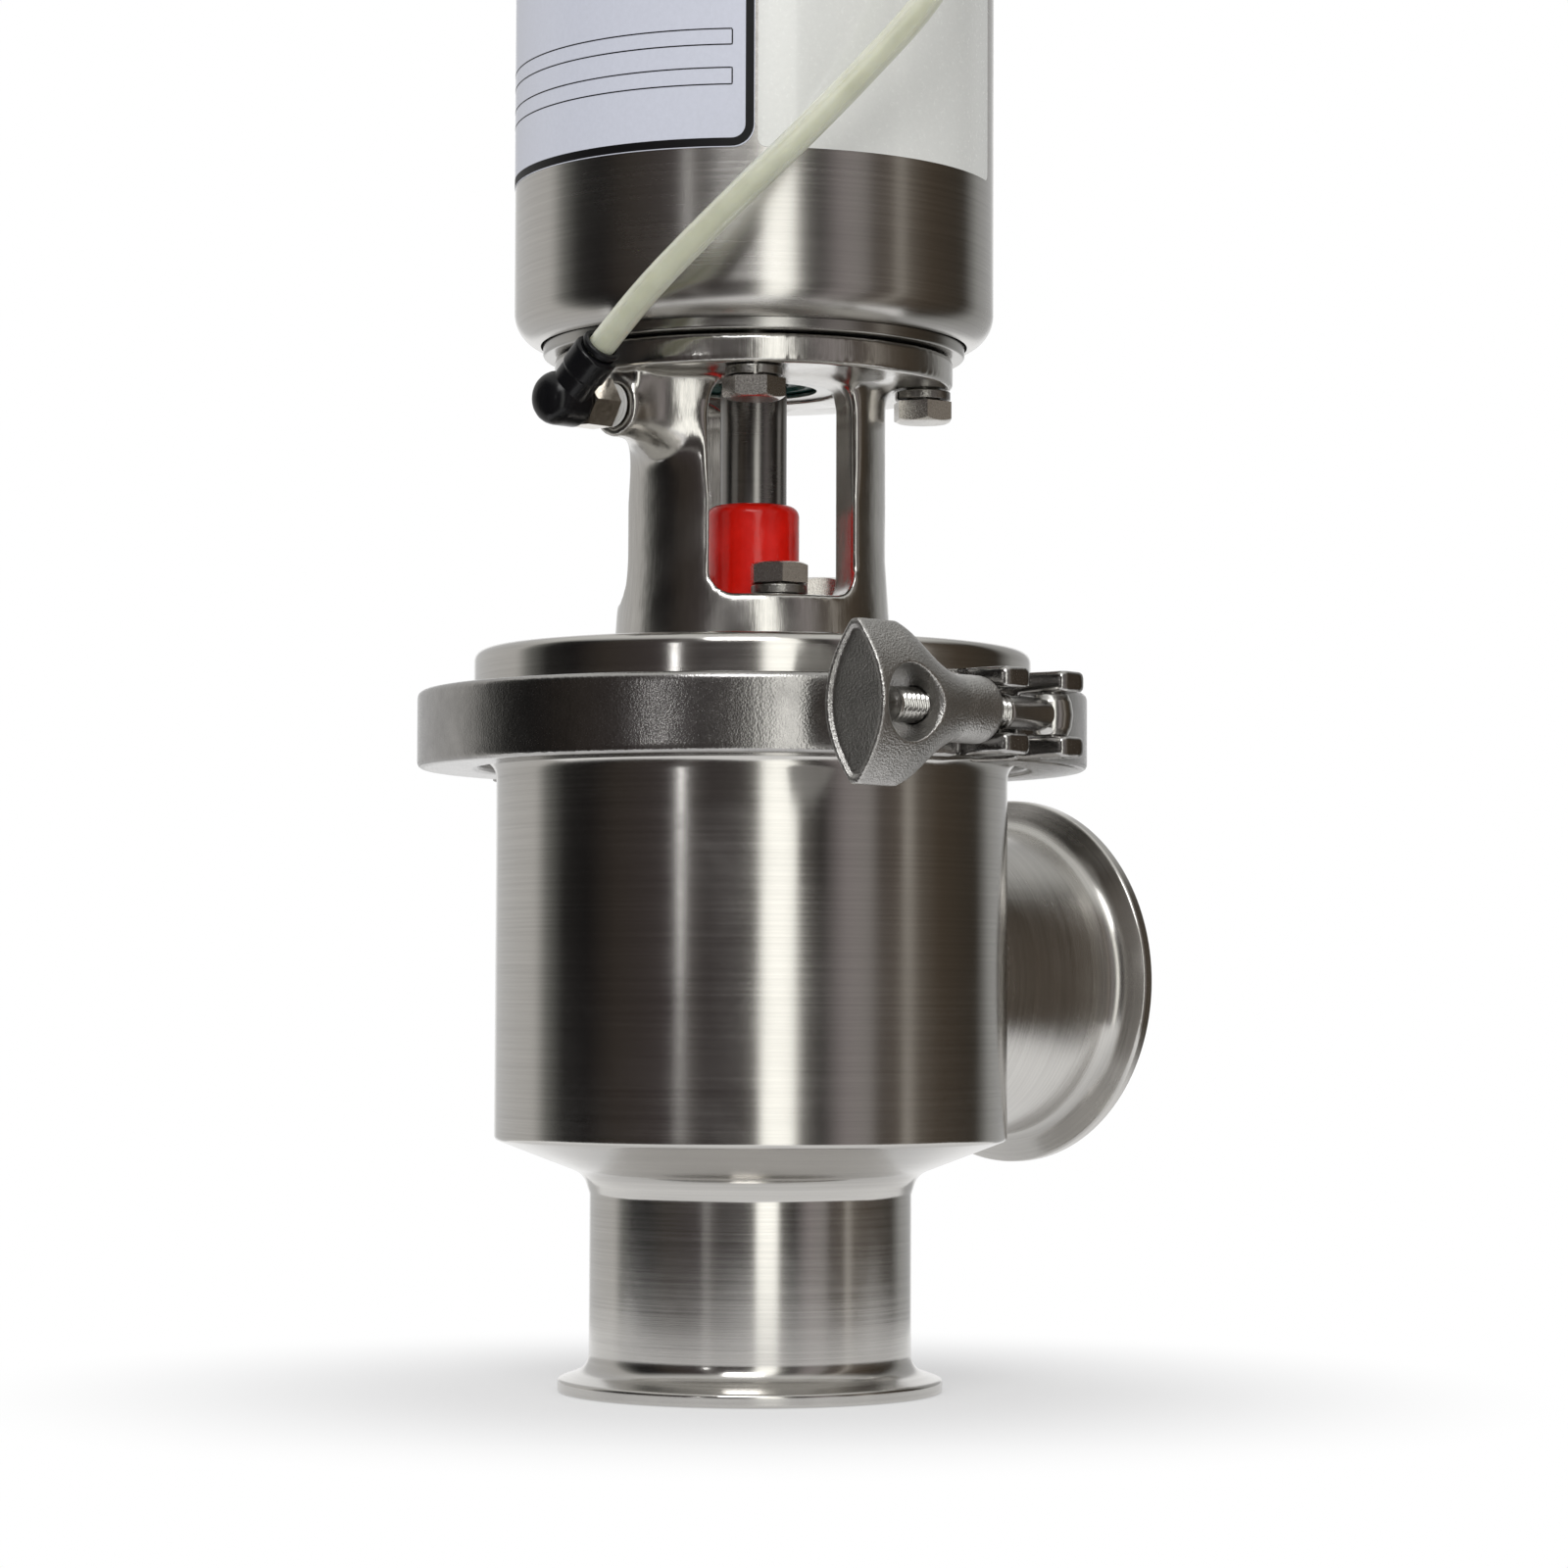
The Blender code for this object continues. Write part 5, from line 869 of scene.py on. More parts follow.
nut_side_half = clamp_half("clamp_half_for_nut", -1)
cheek = [
    (
        PIVOT_X - CHEEK_RADIUS * math.cos(math.radians(degrees)),
        CLAMP_BOLT_Y + CHEEK_RADIUS * math.sin(math.radians(degrees)),
    )
    for degrees in (18, 12, 6, 0, -6, -11)
]
nut_lug = [
    (-5 * MM, -76.5 * MM),
    (-17 * MM, -74.5 * MM),
    *cheek,
    (cheek[-1][0], LUG_FRONT, 1.6 * MM),
    (-5 * MM, LUG_FRONT, 1.6 * MM),
]
bolt_lug = [
    (5 * MM, -76.5 * MM),
    (5 * MM, LUG_FRONT, 1.6 * MM),
    (13.9 * MM, LUG_FRONT, 3 * MM),
    (15.9 * MM, -75.5 * MM),
]
middle_knuckle, outer_knuckles = KNUCKLE_LEVELS


def knuckle(name, levels):
    """A hinge knuckle: a short tube round the hinge's pin."""
    low, high = levels
    return set_down(
        turned(
            name,
            [(5.5 * MM, high), (5.5 * MM, low), (2.9 * MM, low), (2.9 * MM, high)],
            facets=64,
            ring=True,
        ),
        (0, HINGE_Y, 0),
    )


def upright_hole(radius, x, y, low, high):
    """A cutter for a hole from one level to another."""
    return round_bar("hole", radius, (x, y, low), (x, y, high))


bolt_side_half = clamp_half("clamp_half_for_bolt", 1)
past = (CLAMP_LOW - MM, CLAMP_HIGH + MM)
shape_with(
    nut_side_half,
    [
        upright_hole(
            6.1 * MM, 0, HINGE_Y, middle_knuckle[0] - 0.3 * MM, middle_knuckle[1] + 0.3 * MM
        ),
        upright_hole(2.9 * MM, 0.01 * MM, HINGE_Y, *past),
    ],
)
shape_with(
    bolt_side_half,
    [
        upright_hole(6.1 * MM, 0, HINGE_Y, past[0], outer_knuckles[0][1] + 0.2 * MM),
        upright_hole(6.1 * MM, 0, HINGE_Y, outer_knuckles[1][0] - 0.2 * MM, past[1]),
        upright_hole(2.9 * MM, 0.01 * MM, HINGE_Y, *past),
    ],
)
nut_lugs = [
    prism(f"nut_lug_{k}", nut_lug, *levels, ease=0.8 * MM) for k, levels in enumerate(LUG_LEVELS)
]
bolt_lugs = [
    shape_with(
        prism(f"bolt_lug_{k}", bolt_lug, *levels, ease=0.8 * MM),
        [upright_hole(2.8 * MM, PIVOT_X, CLAMP_BOLT_Y, levels[0] - MM, levels[1] + MM)],
    )
    for k, levels in enumerate(LUG_LEVELS)
]
knuckles = [knuckle(f"outer_knuckle_{k}", levels) for k, levels in enumerate(outer_knuckles)]
cast_skin(nut_side_half, [*nut_lugs, *knuckles], 0.55 * MM, 3)
cast_skin(bolt_side_half, [*bolt_lugs, knuckle("middle_knuckle", middle_knuckle)], 0.55 * MM, 3)
dress(nut_side_half, clamp_steel, "valve", ["clamp_half_nut_side"], sharp=60)
dress(bolt_side_half, clamp_steel, "valve", ["clamp_half_bolt_side"], sharp=60)


# The pins are plain ground steel bars with eased ends. One is the clamp's hinge at the back, and
# the bolt's eye swings on the other, between the lugs.
pin_steel = turned_steel("ground_pin_steel", (0.55, 0.54, 0.52), 0.24, stretch=0.3)
for name, radius, x, y, low, high in (
    ("clamp_hinge_pin", 2.5 * MM, 0, HINGE_Y, CLAMP_LOW, CLAMP_HIGH),
    ("clamp_bolt_pin", 2.4 * MM, PIVOT_X, CLAMP_BOLT_Y, LUG_LEVELS[0][0], LUG_LEVELS[1][1]),
):
    pin = turned(
        f"{name}_turned",
        [(0, high), (radius, high, 0.6 * MM), (radius, low, 0.6 * MM), (0, low)],
        facets=40,
    )
    dress(set_down(pin, (x, y, 0)), pin_steel, "valve", [name])


# The swing bolt has an eye like a flattened ball round its pin, a plain neck and a rolled thread
# that ends in a domed tip inside the nut's cross hole. It is bright stainless steel.
BOLT_RADIUS, NECK_RADIUS, BOLT_LENGTH = 3.97 * MM, 3.75 * MM, 55 * MM
THREAD_PITCH = 1.41 * MM


def threaded_bar(name, sections, facets=56):
    """A bar along +Z through (z, radius, thread depth) sections, with a helical V thread.

    The radius at angle t and height z is radius - depth * |2 frac(z / pitch - t / 2 pi) - 1|.
    """
    z, radius, depth = np.array(sections).T[:, :, None]
    angle = np.linspace(0, 2 * math.pi, facets, endpoint=False)[None, :]
    wave = np.abs(2 * ((z / THREAD_PITCH - angle / (2 * math.pi)) % 1) - 1)
    r = radius - depth * np.clip(wave * 1.25 - 0.12, 0, 1)
    points = np.stack([r * np.cos(angle), r * np.sin(angle), np.broadcast_to(z, r.shape)], -1)
    return weld_points(surface(name, points))


def thread_rows(low, high, radius, depth):
    """Rows of a thread, eight to a pitch from its high end down; its depth fades in over one."""
    count = max(2, round((high - low) / THREAD_PITCH * 8))
    levels = np.linspace(high, low, count + 1)
    fade = np.clip(np.minimum(high - levels, levels - low) / THREAD_PITCH, 0, 1)
    return [(z, radius, depth * f) for z, f in zip(levels, fade)]


eye = turned(
    "clamp_swing_bolt",
    [
        (0, 4.7 * MM),
        (3.7 * MM, 4.7 * MM, 0.5 * MM),
        (4.5 * MM, 3.0 * MM, 1.5 * MM),
        (4.95 * MM, 0, 3 * MM),
        (4.5 * MM, -3.0 * MM, 1.5 * MM),
        (3.7 * MM, -4.7 * MM, 0.5 * MM),
        (0, -4.7 * MM),
    ],
    facets=56,
)
set_down(eye, (PIVOT_X, CLAMP_BOLT_Y, CLAMP_BOLT_Z))
dome = ((0, 0), (0.03, 0.9), (0.16, 1.7), (0.4, 2.45), (0.75, 3.0), (1.2, 3.4))
shank = threaded_bar(
    "swing_bolt_shank",
    [
        *((BOLT_LENGTH - drop * MM, radius * MM, 0) for drop, radius in dome),
        *thread_rows(16.5 * MM, 53.6 * MM, BOLT_RADIUS - 0.02 * MM, 0.6 * MM),
        (16 * MM, NECK_RADIUS, 0),
        (0.6 * MM, NECK_RADIUS, 0),
        (0.6 * MM, 0, 0),
    ],
)
set_down(shank, (PIVOT_X, CLAMP_BOLT_Y, CLAMP_BOLT_Z), (-1, 0, 0))
shape_with(eye, [shank], "UNION")
shape_with(
    eye,
    [
        round_bar(
            "eye_hole", 2.7 * MM, (PIVOT_X, CLAMP_BOLT_Y, CLAMP_BOLT_Z - 8 * MM),
            (PIVOT_X, CLAMP_BOLT_Y, CLAMP_BOLT_Z + 8 * MM),
        )
    ],
)
bolt_steel = turned_steel(
    "bright_bolt_steel", (0.6, 0.59, 0.57), 0.2, stretch=0.2,
    centre=(PIVOT_X, CLAMP_BOLT_Y, CLAMP_BOLT_Z), axis="X",
)
dress(eye, bolt_steel, "clamp_bolt", ["clamp_eyebolt"], sharp=38)


# The wing nut is a satin casting: a round barrel against the lugs that widens into two wings in
# line and ends in a tall lens-shaped face, hollowed a little and left bare. A hole runs across it
# for a lever, with a bright countersink, and the bolt's tip shows inside.
NUT_NOSE_X = -14.6 * MM


def nut_outline(half_height, half_width, roundness):
    """Points round the nut, mixed by roundness from 0 to 1 between a lens and an ellipse.

    The lens has the half width tip + (w - tip)(1 - u^2), where u is the share of the height.
    """
    count, tip = 96, 1.6 * MM
    angle = np.linspace(0, 2 * math.pi, count, endpoint=False) + math.pi / count
    across, up = np.cos(angle), np.sin(angle)
    power = np.sign(across) * np.abs(across) ** 0.22
    lens = power * (tip + (half_width - tip) * (1 - up * up))
    return np.stack(
        [lens * (1 - roundness) + half_width * across * roundness, half_height * up], -1
    )


# Rows of (distance from the nose, half height, half width, roundness), in millimetres: the barrel,
# the swelling to the wings, and the face with its hollow.
share = np.linspace(0, 1, 20)[1:]
swell = share + 0.06 * np.sin(2 * math.pi * share - math.pi)
nut_rows = [
    *((0, 5.9, 5.9, 1), (0.1, 6.5, 6.5, 1), (0.5, 7.1, 7.1, 1)),
    *((1.2, 7.5, 7.5, 1), (2.0, 7.6, 7.6, 1), (11.4, 7.6, 7.6, 1)),
    *(
        (11.4 + 17.4 * s, 7.6 + 10.4 * w, 7.6 + 1.4 * s, (1 - s) ** 1.2)
        for s, w in zip(share, swell)
    ),
    *((34, 18, 9, 0), (40.4, 18, 9, 0), (40.9, 17.7, 8.75, 0), (41, 17.3, 8.4, 0)),
    *((41, 16.6, 7.9, 0), (40.8, 16.3, 7.6, 0), (40.1, 16.1, 7.45, 0)),
]
outlines = np.stack([nut_outline(h * MM, w * MM, r) for _, h, w, r in nut_rows])
along = np.array([a for a, _, _, _ in nut_rows])[:, None] * MM
points = np.stack(
    [
        np.broadcast_to(NUT_NOSE_X - along, outlines.shape[:2]),
        CLAMP_BOLT_Y + outlines[..., 0],
        CLAMP_BOLT_Z + outlines[..., 1],
    ],
    -1,
)
nose = np.broadcast_to([NUT_NOSE_X, CLAMP_BOLT_Y, CLAMP_BOLT_Z], (1, points.shape[1], 3))
face = np.broadcast_to(
    [NUT_NOSE_X - 40.1 * MM, CLAMP_BOLT_Y, CLAMP_BOLT_Z], (1, points.shape[1], 3)
)
nut = weld_points(surface("wing_nut_casting", np.concatenate([nose, points, face]), flip=True))
cross_x = NUT_NOSE_X - 30 * MM
cross_hole = turned(
    "cross_hole",
    [
        (0, 12 * MM),
        (10.9 * MM, 12 * MM),
        (8.5 * MM, 7.0 * MM, MM),
        (8.5 * MM, -7.0 * MM, MM),
        (10.9 * MM, -12 * MM),
        (0, -12 * MM),
    ],
    facets=80,
)
set_down(cross_hole, (cross_x, CLAMP_BOLT_Y, CLAMP_BOLT_Z), (0, 1, 0))
shape_with(
    nut,
    [
        cross_hole,
        round_bar(
            "nut_bore", 4.3 * MM, (cross_x, CLAMP_BOLT_Y, CLAMP_BOLT_Z),
            (NUT_NOSE_X + MM, CLAMP_BOLT_Y, CLAMP_BOLT_Z),
        ),
    ],
)
cast_skin(nut, [], 0.34 * MM, 2)
nut_steel = cast_steel("blasted_nut_steel", (0.5, 0.49, 0.475), 0.36, speck=1.2, wear=0.8)
dress(nut, nut_steel, "wing_nut", ["wing_nut"], sharp=60)


# The yoke is one casting of stainless steel, ground and hand-polished all over: a tube with three
# windows, a floor with the screws to the bonnet, a flange under the cylinder, and a boss for the
# air connector that runs into the flange with a wide blend.
YOKE_RADIUS, YOKE_FOOT_Z, YOKE_FLOOR_Z = 31.5 * MM, 174.8 * MM, 186.2 * MM
FLANGE_LOW, FLANGE_HIGH, FLANGE_RADIUS = 237.5 * MM, 244.5 * MM, 47.5 * MM
WINDOW_ANGLES, WINDOW_HALF = (0, 120, 240), 17.4 * MM
BONNET_SCREW_CIRCLE = 23.5 * MM
FLANGE_SCREW_ANGLES = (45, 135, 225, 315)
FLANGE_SCREW_CIRCLE = 40.4 * MM
SCREW_HOLE, PASSAGE_RADIUS, PASSAGE_X = 4.4 * MM, 2.2 * MM, -27.5 * MM
yoke = turned(
    "yoke_casting",
    [
        (FLANGE_RADIUS, FLANGE_HIGH, 0.8 * MM),
        (FLANGE_RADIUS, FLANGE_LOW, 1.2 * MM),
        (YOKE_RADIUS, FLANGE_LOW, 2 * MM),
        (YOKE_RADIUS, YOKE_FLOOR_Z + 10 * MM, 20 * MM),
        (33 * MM, YOKE_FOOT_Z + 0.2 * MM, 0.8 * MM),
        (8.7 * MM, YOKE_FOOT_Z),
        (8.7 * MM, YOKE_FLOOR_Z + 0.4 * MM),
        (20 * MM, YOKE_FLOOR_Z + 0.4 * MM),
        (20 * MM, FLANGE_HIGH),
    ],
    facets=160,
    ring=True,
)
air_boss = turned(
    "air_boss",
    [
        (0, AIR_BOSS_REACH),
        (7.1 * MM, AIR_BOSS_REACH, 0.9 * MM),
        (7.3 * MM, 38.5 * MM, 14 * MM),
        (14.5 * MM, 28.5 * MM),
        (0, 28.5 * MM),
    ],
    facets=64,
)
web = prism(
    "boss_web",
    [
        (-45 * MM, -6.6 * MM, 2 * MM),
        (-37.5 * MM, -8.6 * MM, 6 * MM),
        (-28.5 * MM, -15.5 * MM),
        (-28.5 * MM, 15.5 * MM),
        (-37.5 * MM, 8.6 * MM, 6 * MM),
        (-45 * MM, 6.6 * MM, 2 * MM),
    ],
    AIR_BOSS_Z,
    FLANGE_LOW + MM,
)
shape_with(yoke, [set_down(air_boss, (0, 0, AIR_BOSS_Z), (-1, 0, 0)), web], "UNION")
openings = []
for k, angle in enumerate(WINDOW_ANGLES):
    window = prism(
        f"window_{k}",
        [
            (-WINDOW_HALF, YOKE_FLOOR_Z, 5 * MM),
            (WINDOW_HALF, YOKE_FLOOR_Z, 5 * MM),
            (WINDOW_HALF, FLANGE_LOW - 0.9 * MM, 5 * MM),
            (-WINDOW_HALF, FLANGE_LOW - 0.9 * MM, 5 * MM),
        ],
        10 * MM,
        44 * MM,
    )
    quarter = math.radians(90)
    window.data.transform(Matrix.Rotation(quarter, 4, "Y") @ Matrix.Rotation(quarter, 4, "Z"))
    window.data.transform(Matrix.Rotation(math.radians(angle), 4, "Z"))
    openings.append(window)
shape_with(yoke, openings)
holes = [
    round_bar(
        f"floor_hole_{angle}", SCREW_HOLE, on_circle(BONNET_SCREW_CIRCLE, angle, YOKE_FOOT_Z - MM),
        on_circle(BONNET_SCREW_CIRCLE, angle, YOKE_FLOOR_Z + 2 * MM),
    )
    for angle in WINDOW_ANGLES
]
holes += [
    round_bar(
        f"flange_hole_{angle}", SCREW_HOLE, on_circle(FLANGE_SCREW_CIRCLE, angle, FLANGE_LOW - MM),
        on_circle(FLANGE_SCREW_CIRCLE, angle, FLANGE_HIGH + MM),
    )
    for angle in FLANGE_SCREW_ANGLES
]
holes.append(
    round_bar(
        "air_port", 4.7 * MM, (-25.3 * MM, 0, AIR_BOSS_Z), (-AIR_BOSS_REACH - MM, 0, AIR_BOSS_Z)
    )
)
holes.append(
    round_bar(
        "air_passage", PASSAGE_RADIUS, (PASSAGE_X, 0, AIR_BOSS_Z), (PASSAGE_X, 0, FLANGE_HIGH + MM)
    )
)
shape_with(yoke, holes)
cast_skin(yoke, [], 0.72 * MM, 5)


def blend_hollows(piece, share, passes):
    """Smooths a skin further where share(x, y, z), from 0 to 1, says so, into wide fillets."""
    at = np.empty(3 * len(piece.data.vertices))
    piece.data.vertices.foreach_get("co", at)
    weight = share(*at.reshape(-1, 3).T)
    group = piece.vertex_groups.new(name="blend")
    for level in range(1, 11):
        group.add(np.nonzero(np.round(weight * 10) == level)[0].tolist(), level / 10, "REPLACE")
    soften = piece.modifiers.new("blend", "SMOOTH")
    soften.factor = 0.5
    soften.iterations = passes
    soften.vertex_group = "blend"
    settle(piece)
    piece.vertex_groups.clear()
    return piece


def near_the_flange(x, y, z):
    """Full in the hollows under the flange and round the boss, nothing at machined faces."""
    radius = np.hypot(x, y)
    ring = np.clip((radius - 26 * MM) / (3 * MM), 0, 1)
    ring = ring * np.clip((44 * MM - radius) / (2 * MM), 0, 1)
    height = np.clip((z - 208 * MM) / (10 * MM), 0.12, 1) * np.clip((243 * MM - z) / (3 * MM), 0, 1)
    height = height * np.clip((z - 178 * MM) / (4 * MM), 0, 1)
    seats = np.ones_like(x)
    for angle in FLANGE_SCREW_ANGLES:
        seat_x, seat_y, _ = on_circle(FLANGE_SCREW_CIRCLE, angle, 0)
        seats = np.minimum(
            seats, np.clip((np.hypot(x - seat_x, y - seat_y) - 6.8 * MM) / (2 * MM), 0, 1)
        )
    return ring * height * seats


blend_hollows(yoke, near_the_flange, 90)


def polished_casting(name, colour, roughness):
    """Hand-polished cast steel: short random buffing lines, shallow waves and soft smudges."""
    material, nodes, shader, place = plain_finish(name, 1.0)
    drawn = add_node(nodes, "ShaderNodeMapping", {"Vector": place, "Scale": (1, 1, 0.07)})
    lines = speckle(nodes, drawn.outputs[0], 1300, 5, 0.6, 0.15)
    waves = speckle(nodes, place, 75, 3)
    rough = spread(nodes, waves, roughness - 0.05, roughness + 0.07)
    tone = shades(nodes, lines, colour, 0.92, 1.05)
    shallow = add_node(nodes, "ShaderNodeMath", {0: lines, 1: 0.1}, operation="MULTIPLY")
    height = add_node(nodes, "ShaderNodeMath", {0: waves, 1: shallow.outputs[0]})
    skin_of(nodes, shader, tone, rough, height.outputs[0], 0.25, 0.0009)
    return material


yoke_steel = polished_casting("polished_yoke_steel", STEEL, 0.2)
dress(yoke, yoke_steel, "valve", ["yoke"], sharp=60)


# Hexagon screws with a domed chamfer on the head and a split spring washer under it: three stand
# in the windows on the yoke's floor, and four hang under the flange and hold the cylinder's head.
SCREW_FLATS, SCREW_HEAD, SCREW_RADIUS = 12.7 * MM, 5.1 * MM, 3.97 * MM
WASHER_RADIUS, WASHER_THICKNESS = 6.6 * MM, 2.0 * MM
HEAD_FROM = WASHER_THICKNESS + 0.6 * MM


def hexagon_bar(name, rows, flats, facets=96):
    """A bar whose rows are (radius, z) or, at a radius of None, a hexagon's outline.

    The hexagon's radius at angle t is (flats / 2) / cos(t mod 60 - 30), and a row (None, z, top)
    drops by (that radius - top) * tan 30 below z, as a chamfer's cone does.
    """
    angle = np.linspace(0, 2 * math.pi, facets, endpoint=False)
    side = flats / 2 / np.cos(np.mod(angle, math.pi / 3) - math.pi / 6)
    radii, levels = [], []
    for row in rows:
        if row[0] is None:
            drop = (side - row[2]) * math.tan(math.radians(30)) if len(row) > 2 else 0
            radii.append(side)
            levels.append(row[1] - drop + 0 * side)
        else:
            radii.append(row[0] + 0 * side)
            levels.append(row[1] + 0 * side)
    r, z = np.array(radii), np.array(levels)
    points = np.stack([r * np.cos(angle), r * np.sin(angle), z], -1)
    return weld_points(surface(name, points))


def split_washer(name, bore, radius, low, thickness):
    """A spring washer: a square section carried round from one side of its gap to the other.

    The gap is 9 degrees wide, and both ends are closed.
    """
    section = filleted(
        [
            (radius, low + thickness, 0.25 * MM),
            (radius, low, 0.25 * MM),
            (bore, low, 0.2 * MM),
            (bore, low + thickness, 0.2 * MM),
        ],
        arc_steps=3,
        closed=True,
        shoulder=0.12 * MM,
    )
    angle = np.linspace(*np.radians([4.5, 355.5]), 72)[:, None]
    r, z = section[:, 0][None, :], section[:, 1][None, :]
    points = np.stack([r * np.cos(angle), r * np.sin(angle), z + 0 * angle], -1)
    middle = points.mean(axis=1, keepdims=True)
    first = np.broadcast_to(middle[:1], points[:1].shape)
    last = np.broadcast_to(middle[-1:], points[:1].shape)
    return weld_points(surface(name, np.concatenate([first, points, last])))


screw_steel = cast_steel("bright_screw_steel", (0.56, 0.54, 0.51), 0.3, speck=0.1, wear=0.5)
washer_steel = cast_steel("washer_steel", (0.4, 0.39, 0.37), 0.3, speck=0.5, wear=0.6)


def screw_and_washer(number, kind, place, along, length):
    """A screw and its washer at a seat, with the head standing along a direction."""
    head_top = HEAD_FROM + SCREW_HEAD
    chamfer = 0.47 * SCREW_FLATS
    screw = hexagon_bar(
        f"{kind}_hex_screw_{number}",
        [
            (0, head_top),
            (chamfer - 0.5 * MM, head_top),
            (chamfer, head_top - 0.06 * MM),
            (None, head_top, chamfer),
            (None, HEAD_FROM + 0.25 * MM),
            (6.0 * MM, HEAD_FROM),
            (SCREW_RADIUS, HEAD_FROM),
            (SCREW_RADIUS, 0.7 * MM - length),
            (SCREW_RADIUS - 0.7 * MM, -length),
            (0, -length),
        ],
        SCREW_FLATS,
    )
    turn = Matrix.Rotation(math.radians(17 * number), 4, "Z")
    screw.data.transform(turn)
    dress(set_down(screw, place, along), screw_steel, "valve", [f"{kind}_screw_{number}"], sharp=25)
    washer = split_washer(
        f"{kind}_spring_washer_{number}", 4.27 * MM, WASHER_RADIUS, 0.3 * MM, WASHER_THICKNESS
    )
    washer.data.transform(Matrix.Rotation(math.radians(100 + 70 * number), 4, "Z"))
    node = f"{kind}_lock_washer_{number}"
    dress(set_down(washer, place, along), washer_steel, "valve", [node], sharp=35)


for k, angle in enumerate(WINDOW_ANGLES):
    screw_and_washer(
        k + 1, "bonnet", on_circle(BONNET_SCREW_CIRCLE, angle, YOKE_FLOOR_Z), (0, 0, 1), 24 * MM
    )
for k, angle in enumerate(FLANGE_SCREW_ANGLES):
    screw_and_washer(
        k + 1, "flange", on_circle(FLANGE_SCREW_CIRCLE, angle, FLANGE_LOW), (0, 0, -1), 23 * MM
    )


# The stem is ground bar that slides in the bonnet's bushing and screws into the cylinder's rod
# above it. A soft dipped-vinyl cap, bright red with a rounded shoulder, is pulled down over their
# lock nut.
STEM_RADIUS = 7.95 * MM
# Painted shade: the stem's and rod's steel is coloured much darker than the other steel, for the
# shade they stand in inside the yoke.
stem_steel_darkened_for_shade = turned_steel("ground_stem_steel", (0.27, 0.26, 0.25), 0.26, stretch=0.4)
stem = turned(
    "ground_stem",
    [
        (0, 206.5 * MM),
        (4.8 * MM, 206.5 * MM, 0.6 * MM),
        (4.8 * MM, 190.0 * MM),
        (STEM_RADIUS, 190.0 * MM, 0.5 * MM),
        (STEM_RADIUS, 78.22 * MM, 0.5 * MM),
        (4.8 * MM, 78.22 * MM),
        (4.8 * MM, 60.42 * MM),
        (0, 60.42 * MM),
    ],
    facets=72,
)
dress(stem, stem_steel_darkened_for_shade, "stem", ["valve_stem"])
rod_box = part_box("actuator_rod")
rod = turned(
    "ground_rod",
    [
        (0, rod_box[1][2]),
        (6.1 * MM, rod_box[1][2], 0.6 * MM),
        (6.1 * MM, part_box("piston")[0][2] - 0.3 * MM),
        (STEM_RADIUS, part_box("piston")[0][2] - 0.3 * MM, 0.5 * MM),
        (STEM_RADIUS, rod_box[0][2], 0.5 * MM),
        (5.1 * MM, rod_box[0][2]),
        (5.1 * MM, 206.8 * MM),
        (0, 206.8 * MM),
    ],
    facets=72,
)
dress(rod, stem_steel_darkened_for_shade, "stem", ["actuator_rod"])


def soft_vinyl(name, colour, roughness):
    """Dipped vinyl: an orange-peel skin with a soft gloss, and a tone a shade darker or lighter in
    patches.
    """
    material, nodes, shader, place = plain_finish(name)
    shader.inputs["Subsurface Weight"].default_value = 0.12
    shader.inputs["Subsurface Radius"].default_value = (1.0, 0.2, 0.1)
    shader.inputs["Subsurface Scale"].default_value = 0.0012
    peel = speckle(nodes, place, 420, 2, 0.4)
    patches = speckle(nodes, place, 120, 4, 0.6)
    rough = spread(nodes, patches, roughness - 0.06, roughness + 0.08)
    skin_of(nodes, shader, shades(nodes, patches, colour, 0.8, 1.08), rough, peel, 0.22, 0.0005)
    return material


cap = turned(
    "red_vinyl_cap",
    [
        (8.25 * MM, 209.6 * MM, 0.3 * MM),
        (11 * MM, 209.6 * MM, 2.6 * MM),
        (11 * MM, 186.8 * MM, 0.45 * MM),
        (9.6 * MM, 186.8 * MM),
        (9.6 * MM, 206.8 * MM, 1.2 * MM),
        (8.25 * MM, 208.2 * MM),
    ],
    facets=96,
    ring=True,
    arc_steps=8,
)
dress(cap, soft_vinyl("red_vinyl", (0.92, 0.011, 0.004), 0.2), "stem", ["coupling_cap"])


# The cylinder is deep-drawn stainless tube, brushed round and rolled in at its foot onto the lower
# head. Inside its upper end, out of the photograph, a snap ring holds the top head.
CYLINDER_RADIUS, CYLINDER_BORE = 57.15 * MM, 54.15 * MM
CYLINDER_FOOT_Z, CYLINDER_TOP_Z = 247.3 * MM, 460 * MM
ROLL_RADIUS, ROLL_WALL = 8 * MM, 3 * MM
HEAD_RIM_RADIUS = 50.3 * MM
TOP_HEAD_TOP_Z = 454 * MM


def roll(radius, start, end, steps=14):
    """Points of the rolled foot: an arc round the roll's centre between two angles in degrees."""
    angle = np.radians(np.linspace(start, end, steps + 1))
    centre = CYLINDER_RADIUS - ROLL_RADIUS, CYLINDER_FOOT_Z + ROLL_RADIUS
    return [(centre[0] + radius * math.cos(a), centre[1] + radius * math.sin(a)) for a in angle]


